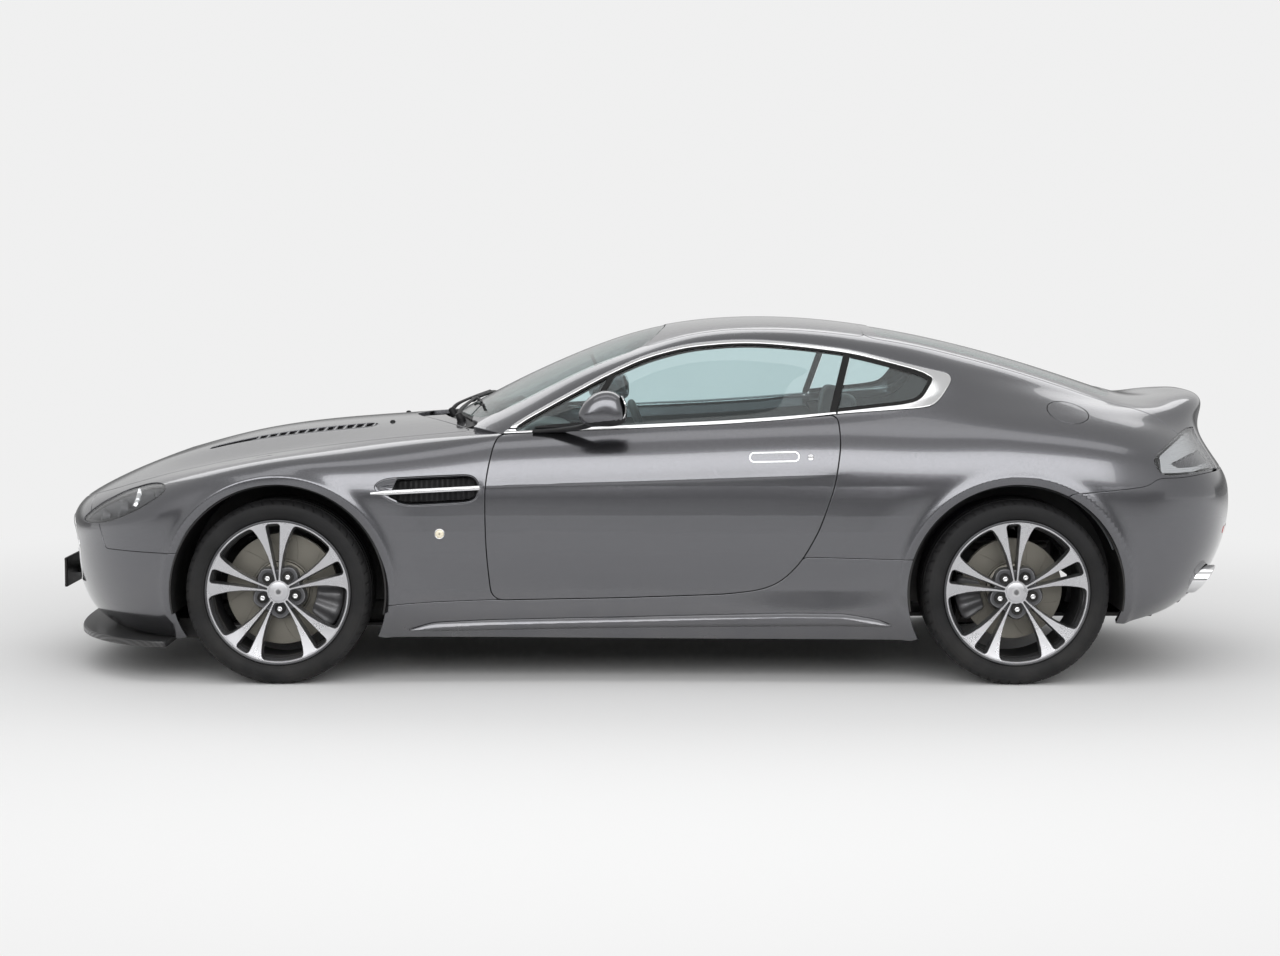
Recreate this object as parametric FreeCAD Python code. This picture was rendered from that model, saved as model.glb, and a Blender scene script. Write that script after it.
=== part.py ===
import FreeCAD, Part
import math
import os

os.makedirs("parts", exist_ok=True)

# Grand-touring coupe, millimetres. Nose towards -X, its left side at -Y, +Z up,
# origin on the ground under the middle of the whole object.

# ---------------------------------------------------------------- sizes
BODY_LENGTH = 4350.0        # nose tip to tail, without the plate holder
BODY_WIDTH = 1865.0         # over the rear arches, without the mirrors
BODY_HEIGHT = 1285.0        # ground to the crown of the roof

PLAIN_AXLE_FRONT = -1290.0   # before the body length is scaled
PLAIN_AXLE_REAR = 1310.0
TRACK_FRONT = 1570.0
TRACK_REAR = 1560.0
TYRE_RADIUS = 327.0         # as it stands, a little under the free radius
TYRE_WIDTH_FRONT = 255.0
TYRE_WIDTH_REAR = 295.0
RIM_BEAD_RADIUS = 241.0
RIM_FLANGE_RADIUS = 256.0
RIM_WALL = 9.0
RIM_FIT = 0.2
HUB_RADIUS = 78.0
SPOKE_PAIRS = 5
SPOKE_WIDTH = 26.0
SPOKE_HALF_ANGLE = 10.0
DISC_RADIUS_FRONT = 199.0
DISC_RADIUS_REAR = 180.0
DISC_THICK = 32.0
DISC_CLEAR = 5.0

ARCH_CLEAR = 56.0           # arch edge to tyre
ARCH_LIP_GAP = 0.3          # liner to arch edge
LINER_WALL = 6.0
FRONT_LINER_INNER = 476.0   # the linings' closed inboard side, from the middle line
REAR_LINER_INNER = 616.0
LINER_OUTER = 905.0

SHUT_GAP = 6.0              # between moving panels and their neighbours
SEAM_GAP = 0.3              # between fixed panels
FENDER_WALL = 6.0
BONNET_WALL = 22.0
BUMPER_WALL = 12.0
ROOF_WALL = 36.0
HATCH_WALL = 38.0
JAMB_DEPTH = 18.0           # the door's inner part has more room round it
JAMB_STEP = 10.0
SIDE_WALL = 105.0           # whole body side below the windows
PILLAR_WALL = 46.0
DOOR_WALL = 100.0
GLASS_WALL = 5.0
GLASS_DEPTH = 6.0           # glass lies this far under the painted skin
SILL_WALL = 60.0
LAMP_DEPTH = 70.0
FLAP_RADIUS = 76.0
FLAP_WALL = 8.0

DOOR_HINGE_X = -455.0
DOOR_HINGE_Y = 848.0
DOOR_HINGE_Z = 600.0
DOOR_HINGE_HEIGHTS = (420.0, 690.0)
HINGE_TILT = 2.0            # degrees, so that a door rises as it opens
HINGE_POCKET = 60.0
HINGE_ARM = 14.0
PIN_RADIUS = 6.0
PIN_CLEAR = 0.3
BONNET_HINGE_X = -600.0
BONNET_HINGE_Z = 872.0
BONNET_HINGE_Y = 600.0
BONNET_LUG = 10.0
HATCH_SPLIT_X = 800.0
HATCH_HINGE_X = 806.0
HATCH_HINGE_Y = 140.0
HATCH_HINGE_DEPTH = 5.0     # the hinge line lies this far under the roof's crown
HATCH_PIN_RADIUS = 3.5
HATCH_PIN_REACH = 16.0
HATCH_PLATE = 8.0

STEERING_X = 20.0
STEERING_Y = -360.0
STEERING_Z = 800.0
STEERING_RADIUS = 180.0
STEERING_TILT = 22.0
SEAT_Y = 360.0
SEAT_WIDTH = 500.0

PLATE_HOLE_RADIUS = 3.0
PLATE_HOLE_SPACING = 300.0
SPINDLE_RADIUS = 24.0
DISC_PLACE = 18.0           # disc's middle, inboard from the wheel's middle
KING_HALF = 120.0
CROSS_TOP = 230.0
FRONT_ARM_INNER = 440.0
REAR_ARM_INNER = 560.0
TOWER_WALL = 40.0
TOWER_INSET = 36.0          # the towers' inner face, inboard from the arms' inner ends
TOWER_REACH = 30.0          # the towers reach this far past the arms
TOWER_LAP = 63.0            # height of the chassis rail beside a tower's foot
REAR_SHAFT_END = 650.0
EXHAUST_RADIUS = 48.0
EXHAUST_Y = 640.0
EXHAUST_Z = 345.0

NOSE_ROUND = 2.3
TAIL_ROUND = 3.0

KX = BODY_LENGTH / 4350.0
KY = BODY_WIDTH / 1865.0
KZ = BODY_HEIGHT / 1285.0
AXLE_FRONT = PLAIN_AXLE_FRONT * KX
AXLE_REAR = PLAIN_AXLE_REAR * KX
AXLE_Z = TYRE_RADIUS
ARCH_RADIUS = TYRE_RADIUS + ARCH_CLEAR

# ---------------------------------------------------------------- body form
# One line per rail that runs along the body, from the sill up to the centre line:
# (name, x at the nose, x at the tail, [(x, half width)], [(x, height)])
SIDE_RAILS = [
    ("sill_edge", -2035, 2010,
     [(-1290, 862), (-560, 846), (300, 846), (1310, 872)],
     [(-2035, 165), (-1650, 150), (-1290, 158), (0, 158), (900, 155), (1310, 160), (1700, 205),
      (2010, 262)]),
    ("sill_low", -2095, 2070,
     [(-1290, 908), (-560, 874), (300, 872), (1310, 922)],
     [(-2095, 205), (-1650, 215), (-1290, 228), (900, 228), (1310, 235), (1700, 262), (2070, 300)]),
    ("sill_top", -2135, 2125,
     [(-1290, 925), (-900, 898), (-560, 872), (0, 866), (400, 868), (700, 880), (1000, 914),
      (1310, 932)],
     [(-2135, 290), (-1290, 340), (0, 335), (1310, 345), (2125, 380)]),
    ("door_low", -2158, 2165,
     [(-1290, 934), (-900, 906), (-560, 882), (0, 876), (400, 878), (700, 892), (1000, 924),
      (1310, 941)],
     [(-2158, 390), (-1290, 470), (0, 465), (1310, 470), (2165, 470)]),
    ("door_mid", -2168, 2185,
     [(-1290, 940), (-900, 914), (-560, 894), (0, 888), (400, 890), (700, 904), (1000, 933),
      (1310, 948)],
     [(-2168, 480), (-1800, 540), (-1290, 600), (0, 600), (1310, 610), (2185, 560)]),
    ("crease", -2163, 2185,
     [(-1290, 938), (-900, 922), (-560, 904), (0, 899), (400, 901), (700, 912), (1000, 938),
      (1310, 951)],
     [(-2163, 548), (-2000, 560), (-1700, 640), (-1290, 716), (-900, 705), (-560, 703), (0, 719),
      (500, 738), (1000, 748), (1310, 745), (1800, 700), (2185, 650)]),
]
FRONT_RAILS = [
    ("fender_side", -2130, None,
     [(-1290, 902), (-900, 892), (-560, 884)],
     [(-2130, 597), (-2000, 620), (-1720, 688), (-1290, 782), (-900, 790), (-560, 800)]),
    ("fender_top", -2080, None,
     [(-1290, 815), (-900, 822), (-560, 830)],
     [(-2080, 632), (-1900, 668), (-1720, 716), (-1290, 806), (-900, 842), (-560, 868)]),
    ("bonnet_edge", -2015, None,
     [(-1290, 690), (-900, 705), (-560, 715)],
     [(-2015, 667), (-1720, 728), (-1290, 806), (-900, 860), (-560, 893)]),
    ("bonnet_outer", -1945, None,
     [(-1290, 540), (-900, 560), (-560, 570)],
     [(-1945, 700), (-1720, 750), (-1290, 830), (-900, 876), (-560, 905)]),
    ("bonnet_mid", -1880, None,
     [(-1290, 370), (-900, 380), (-560, 390)],
     [(-1880, 727), (-1720, 776), (-1290, 858), (-900, 896), (-560, 920)]),
    ("bonnet_inner", -1800, None,
     [(-1290, 190), (-560, 190)],
     [(-1800, 758), (-1500, 838), (-1290, 874), (-900, 906), (-560, 930)]),
    ("bonnet_centre", -1700, None,
     [(-1290, 0), (-560, 0)],
     [(-1700, 793), (-1500, 845), (-1290, 878), (-900, 910), (-560, 934)]),
]
CABIN_RAILS = [
    ("shoulder", None, 2172,
     [(-640, 884), (0, 880), (400, 882), (700, 888), (1000, 908), (1310, 925)],
     [(-640, 800), (-560, 802), (0, 818), (700, 846), (1000, 852), (1310, 842), (1800, 790),
      (2172, 705)]),
    ("belt_low", None, 2135,
     [(-640, 830), (0, 832), (400, 834), (700, 834), (1000, 850), (1310, 880)],
     [(-640, 860), (-560, 864), (0, 882), (400, 898), (700, 914), (1000, 915), (1310, 895),
      (1800, 838), (2135, 760)]),
    ("belt", None, 2100,
     [(-640, 796), (-500, 796), (0, 806), (400, 806), (700, 800), (1000, 800), (1310, 820)],
     [(-640, 868), (-500, 877), (0, 900), (400, 918), (700, 940), (1000, 962), (1310, 942),
      (1800, 885), (2100, 815)]),
    ("glass_low", None, 2078,
     [(-640, 780), (-500, 784), (0, 782), (400, 780), (700, 776), (1000, 752), (1310, 755)],
     [(-640, 878), (-500, 887), (0, 930), (400, 948), (700, 970), (1000, 1005), (1310, 983),
      (1700, 930), (2078, 868)]),
    ("glass_mid", None, 2090,
     [(-640, 760), (-500, 774), (0, 706), (400, 690), (700, 690), (1000, 700), (1310, 690)],
     [(-640, 884), (-500, 895), (-330, 945), (0, 1055), (400, 1090), (700, 1072), (1000, 1062),
      (1310, 1025), (1700, 958), (2090, 920)]),
    ("glass_top", None, 2112,
     [(-640, 735), (-500, 762), (-330, 722), (-150, 672), (0, 645), (300, 622), (570, 618),
      (870, 630), (1090, 640), (1310, 620)],
     [(-640, 892), (-500, 905), (-330, 990), (-150, 1083), (0, 1148), (150, 1186), (310, 1203),
      (420, 1204), (570, 1196), (750, 1175), (870, 1150), (1000, 1122), (1310, 1062), (1700, 975),
      (2112, 968)]),
    ("roof_edge", None, 2090,
     [(-640, 660), (-500, 652), (-250, 610), (0, 560), (300, 535), (700, 530), (1000, 540),
      (1310, 540)],
     [(-640, 905), (-500, 966), (-250, 1088), (0, 1184), (150, 1228), (310, 1250), (450, 1254),
      (640, 1244), (820, 1222), (980, 1196), (1120, 1163), (1310, 1112), (1613, 1020), (1850, 972),
      (1990, 998), (2090, 1003)]),
    ("roof_mid", None, 2030,
     [(-640, 360), (0, 320), (700, 310), (1310, 310)],
     [(-640, 948), (-500, 1020), (-250, 1136), (0, 1222), (200, 1262), (400, 1274), (640, 1266),
      (900, 1233), (1200, 1170), (1500, 1085), (1700, 1020), (1850, 985), (1950, 995),
      (2030, 1013)]),
    ("roof_centre", None, 1960,
     [(-640, 0), (1310, 0)],
     [(-640, 968), (-507, 1038), (-322, 1124), (-150, 1193), (0, 1239), (200, 1272), (400, 1285),
      (600, 1280), (850, 1252), (1090, 1207), (1340, 1144), (1600, 1063), (1770, 1006), (1870, 985),
      (1960, 998)]),
]

# Shut lines, seen from the side, as (x, z)
DOOR_FRONT = [(-505, 880), (-524, 862), (-542, 796), (-558, 703), (-559, 591), (-556, 478),
              (-548, 387), (-537, 297)]
DOOR_BOTTOM = [(-82, 305), (283, 318), (404, 332), (470, 356), (520, 398), (562, 450)]
DOOR_REAR = [(600, 520), (619, 559), (669, 703), (689, 840), (688, 897), (682, 950)]
BELT = [(503, 930), (268, 914), (-62, 899)]
WINDOW_REAR = [(1010, 977), (1057, 998), (1101, 1069), (1096, 1087)]
WINDOW_TOP = [(988, 1113), (869, 1143), (749, 1173), (570, 1196), (421, 1209), (308, 1209),
              (149, 1194), (0, 1155), (-149, 1087), (-328, 991), (-448, 925)]
POST_LINE = [(682, 950), (749, 1173)]
BUMPER_FRONT_LINE = [(-1600, 0), (-1600, 461), (-1936, 461), (-1969, 557), (-2010, 566),
                     (-2030, 650), (-2400, 650), (-2400, 0)]
BUMPER_REAR_LINE = [(1480, 0), (1480, 676), (1608, 685), (1706, 694), (1771, 702), (1810, 728),
                    (1900, 726), (2021, 735), (2400, 735), (2400, 0)]
HEADLAMP_LINE = [(-2010, 564), (-1958, 620), (-1866, 665), (-1774, 693), (-1729, 697), (-1713, 682),
                 (-1729, 661), (-1785, 620), (-1867, 583), (-1923, 562), (-1969, 557)]
TAIL_LAMP_LINE = [(1791, 798), (1806, 760), (1829, 738), (1900, 735), (2021, 745), (2180, 745),
                  (2180, 850), (2080, 880), (1968, 885), (1870, 845)]

# Shut lines, seen from above, as (x, half width)
BONNET_PLAN = [(-2124, 0), (-2115, 120), (-2090, 250), (-2030, 400), (-1930, 520), (-1800, 600),
               (-1600, 655), (-1290, 685), (-900, 700), (-660, 702), (-620, 690), (-660, 600),
               (-780, 330), (-850, 140), (-872, 0)]
SCREEN_PLAN = [(-712, 0), (-690, 200), (-650, 420), (-590, 640), (-500, 640), (-250, 598),
               (-10, 548), (40, 400), (70, 200), (80, 0)]
ROOF_PLAN = [(86, 0), (76, 200), (46, 400), (-4, 552), (100, 545), (300, 528), (HATCH_SPLIT_X, 524),
             (HATCH_SPLIT_X, 0)]
HATCH_PLAN = [(HATCH_SPLIT_X, 0), (HATCH_SPLIT_X, 524), (1300, 540), (1560, 565), (1760, 600),
              (1900, 640), (2010, 650), (2300, 650), (2300, 0)]
REAR_GLASS_PLAN = [(850, 0), (850, 470), (1300, 480), (1600, 505), (1690, 500), (1735, 300),
                   (1745, 0)]
GRILLE_FRONT = [(330, 548), (450, 515), (492, 450), (440, 335), (330, 300)]


# ---------------------------------------------------------------- helpers
def point(x, y, z):
    """A place on the body at its present size."""
    return FreeCAD.Vector(x * KX, y * KY, z * KZ)


def curve(keys):
    """Natural cubic curve through (x, value) pairs."""
    n = len(keys)
    xs = [k[0] for k in keys]
    ys = [k[1] for k in keys]
    bend = [0.0] * n
    if n > 2:
        diagonal = [2.0 * (xs[i + 1] - xs[i - 1]) for i in range(1, n - 1)]
        right = [6.0 * ((ys[i + 1] - ys[i]) / (xs[i + 1] - xs[i])
                        - (ys[i] - ys[i - 1]) / (xs[i] - xs[i - 1])) for i in range(1, n - 1)]
        for i in range(1, n - 2):
            step = xs[i + 1] - xs[i]
            ratio = step / diagonal[i - 1]
            diagonal[i] -= ratio * step
            right[i] -= ratio * right[i - 1]
        for i in range(n - 3, -1, -1):
            after = bend[i + 2] * (xs[i + 2] - xs[i + 1]) if i < n - 3 else 0.0
            bend[i + 1] = (right[i] - after) / diagonal[i]

    def value(x):
        i = 0
        while i < n - 2 and x > xs[i + 1]:
            i += 1
        step = xs[i + 1] - xs[i]
        a = (xs[i + 1] - x) / step
        b = 1.0 - a
        cubic = (a ** 3 - a) * bend[i] + (b ** 3 - b) * bend[i + 1]
        return a * ys[i] + b * ys[i + 1] + cubic * step * step / 6.0

    return value


def ready(rails):
    return [(nose, tail, curve(widths), curve(heights)) for _, nose, tail, widths, heights in rails]


FRONT_FORM = ready(SIDE_RAILS + FRONT_RAILS)
CABIN_FORM = ready(SIDE_RAILS + CABIN_RAILS)
FRONT_X = PLAIN_AXLE_FRONT
REAR_X = PLAIN_AXLE_REAR


def along(x):
    """Station number of a place between the axles: 1 at the front one, 2 at the rear one."""
    return 1.0 + (x - FRONT_X) / (REAR_X - FRONT_X)


def rail_point(rail, t):
    """A rail's place at station t; 0 to 1 fans round the nose and 2 to 3 round the tail."""
    nose, tail, width, height = rail
    x = FRONT_X + (t - 1.0) * (REAR_X - FRONT_X)
    y = None
    if t < 1.0 and nose is not None:
        angle = t * math.pi / 2.0
        x = FRONT_X - (FRONT_X - nose) * math.cos(angle) ** (2.0 / NOSE_ROUND)
        y = width(FRONT_X) * math.sin(angle) ** (2.0 / NOSE_ROUND)
    if t > 2.0 and tail is not None:
        angle = max(0.0, 3.0 - t) * math.pi / 2.0
        x = REAR_X + (tail - REAR_X) * max(0.0, math.cos(angle)) ** (2.0 / TAIL_ROUND)
        y = width(REAR_X) * math.sin(angle) ** (2.0 / TAIL_ROUND)
    if y is None:
        y = width(x)
    return (x, y, height(x))


def skin_point(form, t, v):
    """Body surface at station t and height number v, 0 at the sill and 1 at the centre line."""
    rows = [rail_point(rail, t) for rail in form]
    n = len(rows)
    first = tuple(2.0 * a - b for a, b in zip(rows[0], rows[1]))
    last = (rows[-2][0], -rows[-2][1], rows[-2][2])
    rows = [first] + rows + [last]
    place = v * (n - 1)
    i = min(int(place), n - 2)
    f = place - i
    weights = ((1 - f) ** 3 / 6.0, (3 * f ** 3 - 6 * f ** 2 + 4) / 6.0,
               (-3 * f ** 3 + 3 * f ** 2 + 3 * f + 1) / 6.0, f ** 3 / 6.0)
    return tuple(sum(w * rows[i + k][c] for k, w in enumerate(weights)) for c in range(3))


def skin_normal(form, t, v):
    """Outward direction of the surface, for the left side, where y is negative."""
    on_middle = t <= 0.0 or t >= 3.0 or v >= 1.0
    t = min(max(t, 0.03), 2.97)
    v = min(max(v, 0.004), 0.99)
    t0 = t - 0.02
    t1 = t + 0.02
    v0 = v - 0.004
    v1 = v + 0.004
    a = [q - p for p, q in zip(skin_point(form, t0, v), skin_point(form, t1, v))]
    b = [q - p for p, q in zip(skin_point(form, t, v0), skin_point(form, t, v1))]
    normal = FreeCAD.Vector(a[1] * b[2] - a[2] * b[1], a[2] * b[0] - a[0] * b[2],
                            a[0] * b[1] - a[1] * b[0])
    if on_middle:
        normal.y = 0.0
    normal.normalize()
    return FreeCAD.Vector(-normal.x, normal.y, -normal.z)


def solid_of(faces):
    """Closed solid from flat faces given as lists of corners."""
    made = []
    for corners in faces:
        made.append(Part.Face(Part.makePolygon(list(corners) + [corners[0]])))
    shell = Part.makeShell(made)
    shell.sewShape()
    solid = Part.Solid(shell)
    if solid.Volume < 0.0:
        solid.reverse()
    return solid


def slab(form, stations, rows, depth_out, depth_in, sides):
    """Sheet of the body between two depths under the skin. Depths are one number, or one for
    each row. sides is (-1,) for the left half, (1,) for the right or (-1, 1) for both."""
    places = {}
    outer = []
    inner = []
    middle = set()
    triangles = []
    for side in sides:
        index = []
        for t in stations:
            line = []
            for r, v in enumerate(rows):
                x, y, z = skin_point(form, t, v)
                if t <= 0.0 or t >= 3.0 or v >= 1.0:
                    y = 0.0
                normal = skin_normal(form, t, v)
                out = depth_out[r] if isinstance(depth_out, list) else depth_out
                deep = depth_in[r] if isinstance(depth_in, list) else depth_in
                base = point(x, side * y, z)
                away = FreeCAD.Vector(normal.x, side * abs(normal.y), normal.z)
                if normal.y > 0.0:
                    away.y = -away.y
                key = (round(base.x, 3), round(base.y, 3), round(base.z, 3))
                if key not in places:
                    places[key] = len(outer)
                    outer.append(base - away * out)
                    inner.append(base - away * deep)
                    if y == 0.0:
                        middle.add(places[key])
                line.append(places[key])
            index.append(line)
        for i in range(len(stations) - 1):
            for j in range(len(rows) - 1):
                a, b = index[i][j], index[i][j + 1]
                c, d = index[i + 1][j + 1], index[i + 1][j]
                for tri in ((a, b, c), (a, c, d)):
                    if len(set(tri)) == 3 and not (len(sides) == 2 and middle.issuperset(tri)):
                        triangles.append(tri if side < 0 else tri[::-1])
    edges = {}
    for tri in triangles:
        for k in range(3):
            pair = (tri[k], tri[(k + 1) % 3])
            name = (min(pair), max(pair))
            edges.setdefault(name, []).append(pair)
    faces = []
    for tri in triangles:
        faces.append([outer[k] for k in tri])
        faces.append([inner[k] for k in reversed(tri)])
    for uses in edges.values():
        if len(uses) == 1:
            p, q = uses[0]
            faces.append([outer[p], inner[p], outer[q]])
            faces.append([outer[q], inner[p], inner[q]])
    return solid_of(faces)


def grown(corners, distance):
    """A closed outline moved outwards by a distance, or inwards where it is negative."""
    area = 0.0
    n = len(corners)
    for i in range(n):
        x0, y0 = corners[i]
        x1, y1 = corners[(i + 1) % n]
        area += x0 * y1 - x1 * y0
    turn = 1.0 if area > 0 else -1.0
    moved = []
    for i in range(n):
        x0, y0 = corners[i - 1]
        x1, y1 = corners[i]
        x2, y2 = corners[(i + 1) % n]
        la = math.hypot(x1 - x0, y1 - y0)
        lb = math.hypot(x2 - x1, y2 - y1)
        na = (turn * (y1 - y0) / la, -turn * (x1 - x0) / la)
        nb = (turn * (y2 - y1) / lb, -turn * (x2 - x1) / lb)
        share = 1.0 + na[0] * nb[0] + na[1] * nb[1]
        share = max(share, 0.4)
        moved.append((x1 + distance * (na[0] + nb[0]) / share, y1 + distance * (na[1] + nb[1]) / share))
    return moved


def side_prism(corners, y0, y1, grow=0.0):
    """Outline seen from the side, stretched from y0 to y1."""
    flat = grown([(x * KX, z * KZ) for x, z in corners], grow)
    ring = [FreeCAD.Vector(x, y0 * KY, z) for x, z in flat]
    return Part.Face(Part.makePolygon(ring + [ring[0]])).extrude(FreeCAD.Vector(0, (y1 - y0) * KY, 0))


def plan_prism(corners, z0, z1, grow=0.0):
    """Half outline seen from above, mirrored to both sides and stretched from z0 to z1."""
    half = [(x * KX, y * KY) for x, y in corners]
    ring = half + [(x, -y) for x, y in reversed(half) if y > 0.0]
    ring = grown(ring, grow)
    ring = [FreeCAD.Vector(x, y, z0 * KZ) for x, y in ring]
    return Part.Face(Part.makePolygon(ring + [ring[0]])).extrude(FreeCAD.Vector(0, 0, (z1 - z0) * KZ))


def front_prism(corners, x0, x1, grow=0.0):
    """Half outline seen from ahead, mirrored to both sides and stretched from x0 to x1."""
    half = [(y * KY, z * KZ) for y, z in corners]
    ring = half + [(-y, z) for y, z in reversed(half) if y > 0.0]
    ring = grown(ring, grow)
    ring = [FreeCAD.Vector(x0 * KX, y, z) for y, z in ring]
    return Part.Face(Part.makePolygon(ring + [ring[0]])).extrude(FreeCAD.Vector((x1 - x0) * KX, 0, 0))


def box(x0, x1, y0, y1, z0, z1):
    """Block between two corners, in body places."""
    a = point(min(x0, x1), min(y0, y1), min(z0, z1))
    b = point(max(x0, x1), max(y0, y1), max(z0, z1))
    return Part.makeBox(b.x - a.x, b.y - a.y, b.z - a.z, a)


def rod(start, end, radius):
    """Round bar between two places."""
    way = end - start
    return Part.makeCylinder(radius, way.Length, start, way)


def cylinder_y(x, z, radius, y0, y1):
    """Round bar across the car, in true millimetres."""
    return Part.makeCylinder(radius, y1 - y0, FreeCAD.Vector(x, y0, z), FreeCAD.Vector(0, 1, 0))


def mirrored(shape):
    return shape.mirror(FreeCAD.Vector(0, 0, 0), FreeCAD.Vector(0, 1, 0))


def largest(shape, count=1):
    """The biggest solids of a cut shape, without slivers."""
    found = sorted(shape.Solids, key=lambda s: -s.Volume)[:count]
    return found[0] if count == 1 else Part.makeCompound(found)


def pair(shape):
    """A left piece with its mirror image on the right."""
    return Part.makeCompound([shape, mirrored(shape)])


made = {}


def keep(name, shape):
    made[name] = shape
    shape.exportStep("parts/" + name + ".step")


# ---------------------------------------------------------------- shared cutters
arch_front = cylinder_y(AXLE_FRONT, AXLE_Z, ARCH_RADIUS, -1200.0 * KY, 0.0)
arch_rear = cylinder_y(AXLE_REAR, AXLE_Z, ARCH_RADIUS, -1200.0 * KY, 0.0)
door_line = DOOR_FRONT + DOOR_BOTTOM + DOOR_REAR + BELT
window_line = [DOOR_FRONT[0]] + BELT[::-1] + [DOOR_REAR[-1]] + WINDOW_REAR + WINDOW_TOP
belt_shift = (SHUT_GAP - SEAM_GAP) / 2.0
belt_raised = [(x, z + belt_shift) for x, z in [DOOR_REAR[-1]] + BELT + [DOOR_FRONT[0]]]
belt_lowered = [(x, z - belt_shift) for x, z in [DOOR_FRONT[0]] + BELT[::-1] + [POST_LINE[0]]]
door_cut_line = DOOR_FRONT[1:] + DOOR_BOTTOM + DOOR_REAR[:-1] + belt_raised
door_window_line = [DOOR_FRONT[0]] + BELT[::-1] + POST_LINE + WINDOW_TOP[3:]
door_glass_line = belt_lowered + [POST_LINE[1]] + WINDOW_TOP[3:]
quarter_window_line = [POST_LINE[0]] + WINDOW_REAR + WINDOW_TOP[:2] + [POST_LINE[1]]
sill_line = [(-900, 280), (-737, 291)] + [DOOR_FRONT[-1]] + DOOR_BOTTOM + [(952, 444), (952, 100),
                                                                         (-900, 100)]

FRONT_ROWS = len(FRONT_FORM) - 1.0
CABIN_ROWS = len(CABIN_FORM) - 1.0
nose_stations = [0.0, 0.14, 0.28, 0.42, 0.56, 0.7, 0.85]
front_side_stations = [1.0, 1.08, 1.16, 1.22, along(-560)]
front_rows_all = [k / FRONT_ROWS for k in range(13)]
bonnet_rows = [k / (2.0 * FRONT_ROWS) for k in range(10, 25)]
cabin_mid = [along(x) for x in (-640, -500, -330, -150, 0, 200, 400, 570, 700, 850, 1000, 1150)]
tail_stations = [2.0, 2.15, 2.3, 2.45, 2.6, 2.75, 2.88, 3.0]

# ---------------------------------------------------------------- front panels
nose_skin = slab(FRONT_FORM, nose_stations + [1.0], [0.5 / FRONT_ROWS] + front_rows_all[1:10], 0.0,
                 BUMPER_WALL, (-1, 1))
bonnet_cut = plan_prism(BONNET_PLAN, 400, 1300, SHUT_GAP / 2.0)
lamp_left = side_prism(HEADLAMP_LINE, -950, -380)
lamp_hole = side_prism(HEADLAMP_LINE, -950, -380, SEAM_GAP)
bumper_zone = side_prism(BUMPER_FRONT_LINE, -1000, 1000, -SEAM_GAP / 2.0)
front_bumper = nose_skin.common(bumper_zone).cut(bonnet_cut)
front_bumper = front_bumper.cut(cylinder_y(AXLE_FRONT, AXLE_Z, ARCH_RADIUS, -1200 * KY, 1200 * KY))
front_bumper = front_bumper.cut(lamp_hole).cut(mirrored(lamp_hole))
front_bumper = front_bumper.cut(front_prism(GRILLE_FRONT, -2400, -1990))
low_intake = front_prism([(560, 262), (620, 235), (600, 205)], -2400, -1960)
front_bumper = front_bumper.cut(low_intake)
keep("front_bumper", largest(front_bumper))

bonnet_skin = slab(FRONT_FORM, nose_stations + front_side_stations, bonnet_rows, 0.0, BONNET_WALL,
                   (-1, 1))
bonnet = bonnet_skin.common(plan_prism(BONNET_PLAN, 400, 1300, -SHUT_GAP / 2.0))
bonnet = largest(bonnet)
for side in (-1, 1):
    lug = box(-690, -590, side * BONNET_HINGE_Y - BONNET_LUG / 2, side * BONNET_HINGE_Y + BONNET_LUG / 2,
              BONNET_HINGE_Z - 10, BONNET_HINGE_Z + 12)
    lug = lug.cut(slab(FRONT_FORM, [along(x) for x in (-760, -560)], bonnet_rows, -60.0, 4.0, (-1, 1)))
    bonnet = bonnet.fuse(lug)
bonnet = bonnet.cut(cylinder_y(BONNET_HINGE_X * KX, BONNET_HINGE_Z * KZ, PIN_RADIUS + PIN_CLEAR,
                               -700.0 * KY, 700.0 * KY))
keep("bonnet", largest(bonnet))

fender_skin = slab(FRONT_FORM, [0.28, 0.42, 0.56, 0.7, 0.85] + front_side_stations,
                   [0.5 / FRONT_ROWS] + front_rows_all[1:11], 0.0, FENDER_WALL, (-1,))
fender = fender_skin.cut(side_prism(BUMPER_FRONT_LINE, -1000, 1000, SEAM_GAP / 2.0))
fender = fender.cut(bonnet_cut).cut(arch_front).cut(lamp_hole)
fender = fender.cut(side_prism(door_line, -1000, 0, SHUT_GAP / 2.0))
fender = fender.cut(side_prism(sill_line, -1000, 0, SEAM_GAP / 2.0))
fender = fender.cut(box(-700, -500, -660, 0, 400, 1300))
fender = largest(fender.cut(box(-700, -590, -706, 0, 400, 1300)))
keep("front_fenders", pair(fender))

lamp_skin = slab(FRONT_FORM, [0.14, 0.28, 0.42, 0.56, 0.7, 0.85],
                 [k / FRONT_ROWS for k in range(4, 10)], 2.0, LAMP_DEPTH, (-1,))
keep("headlamps", pair(largest(lamp_skin.common(lamp_left).cut(
    plan_prism(BONNET_PLAN, 400, 1300, SHUT_GAP + BONNET_WALL)))))

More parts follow.
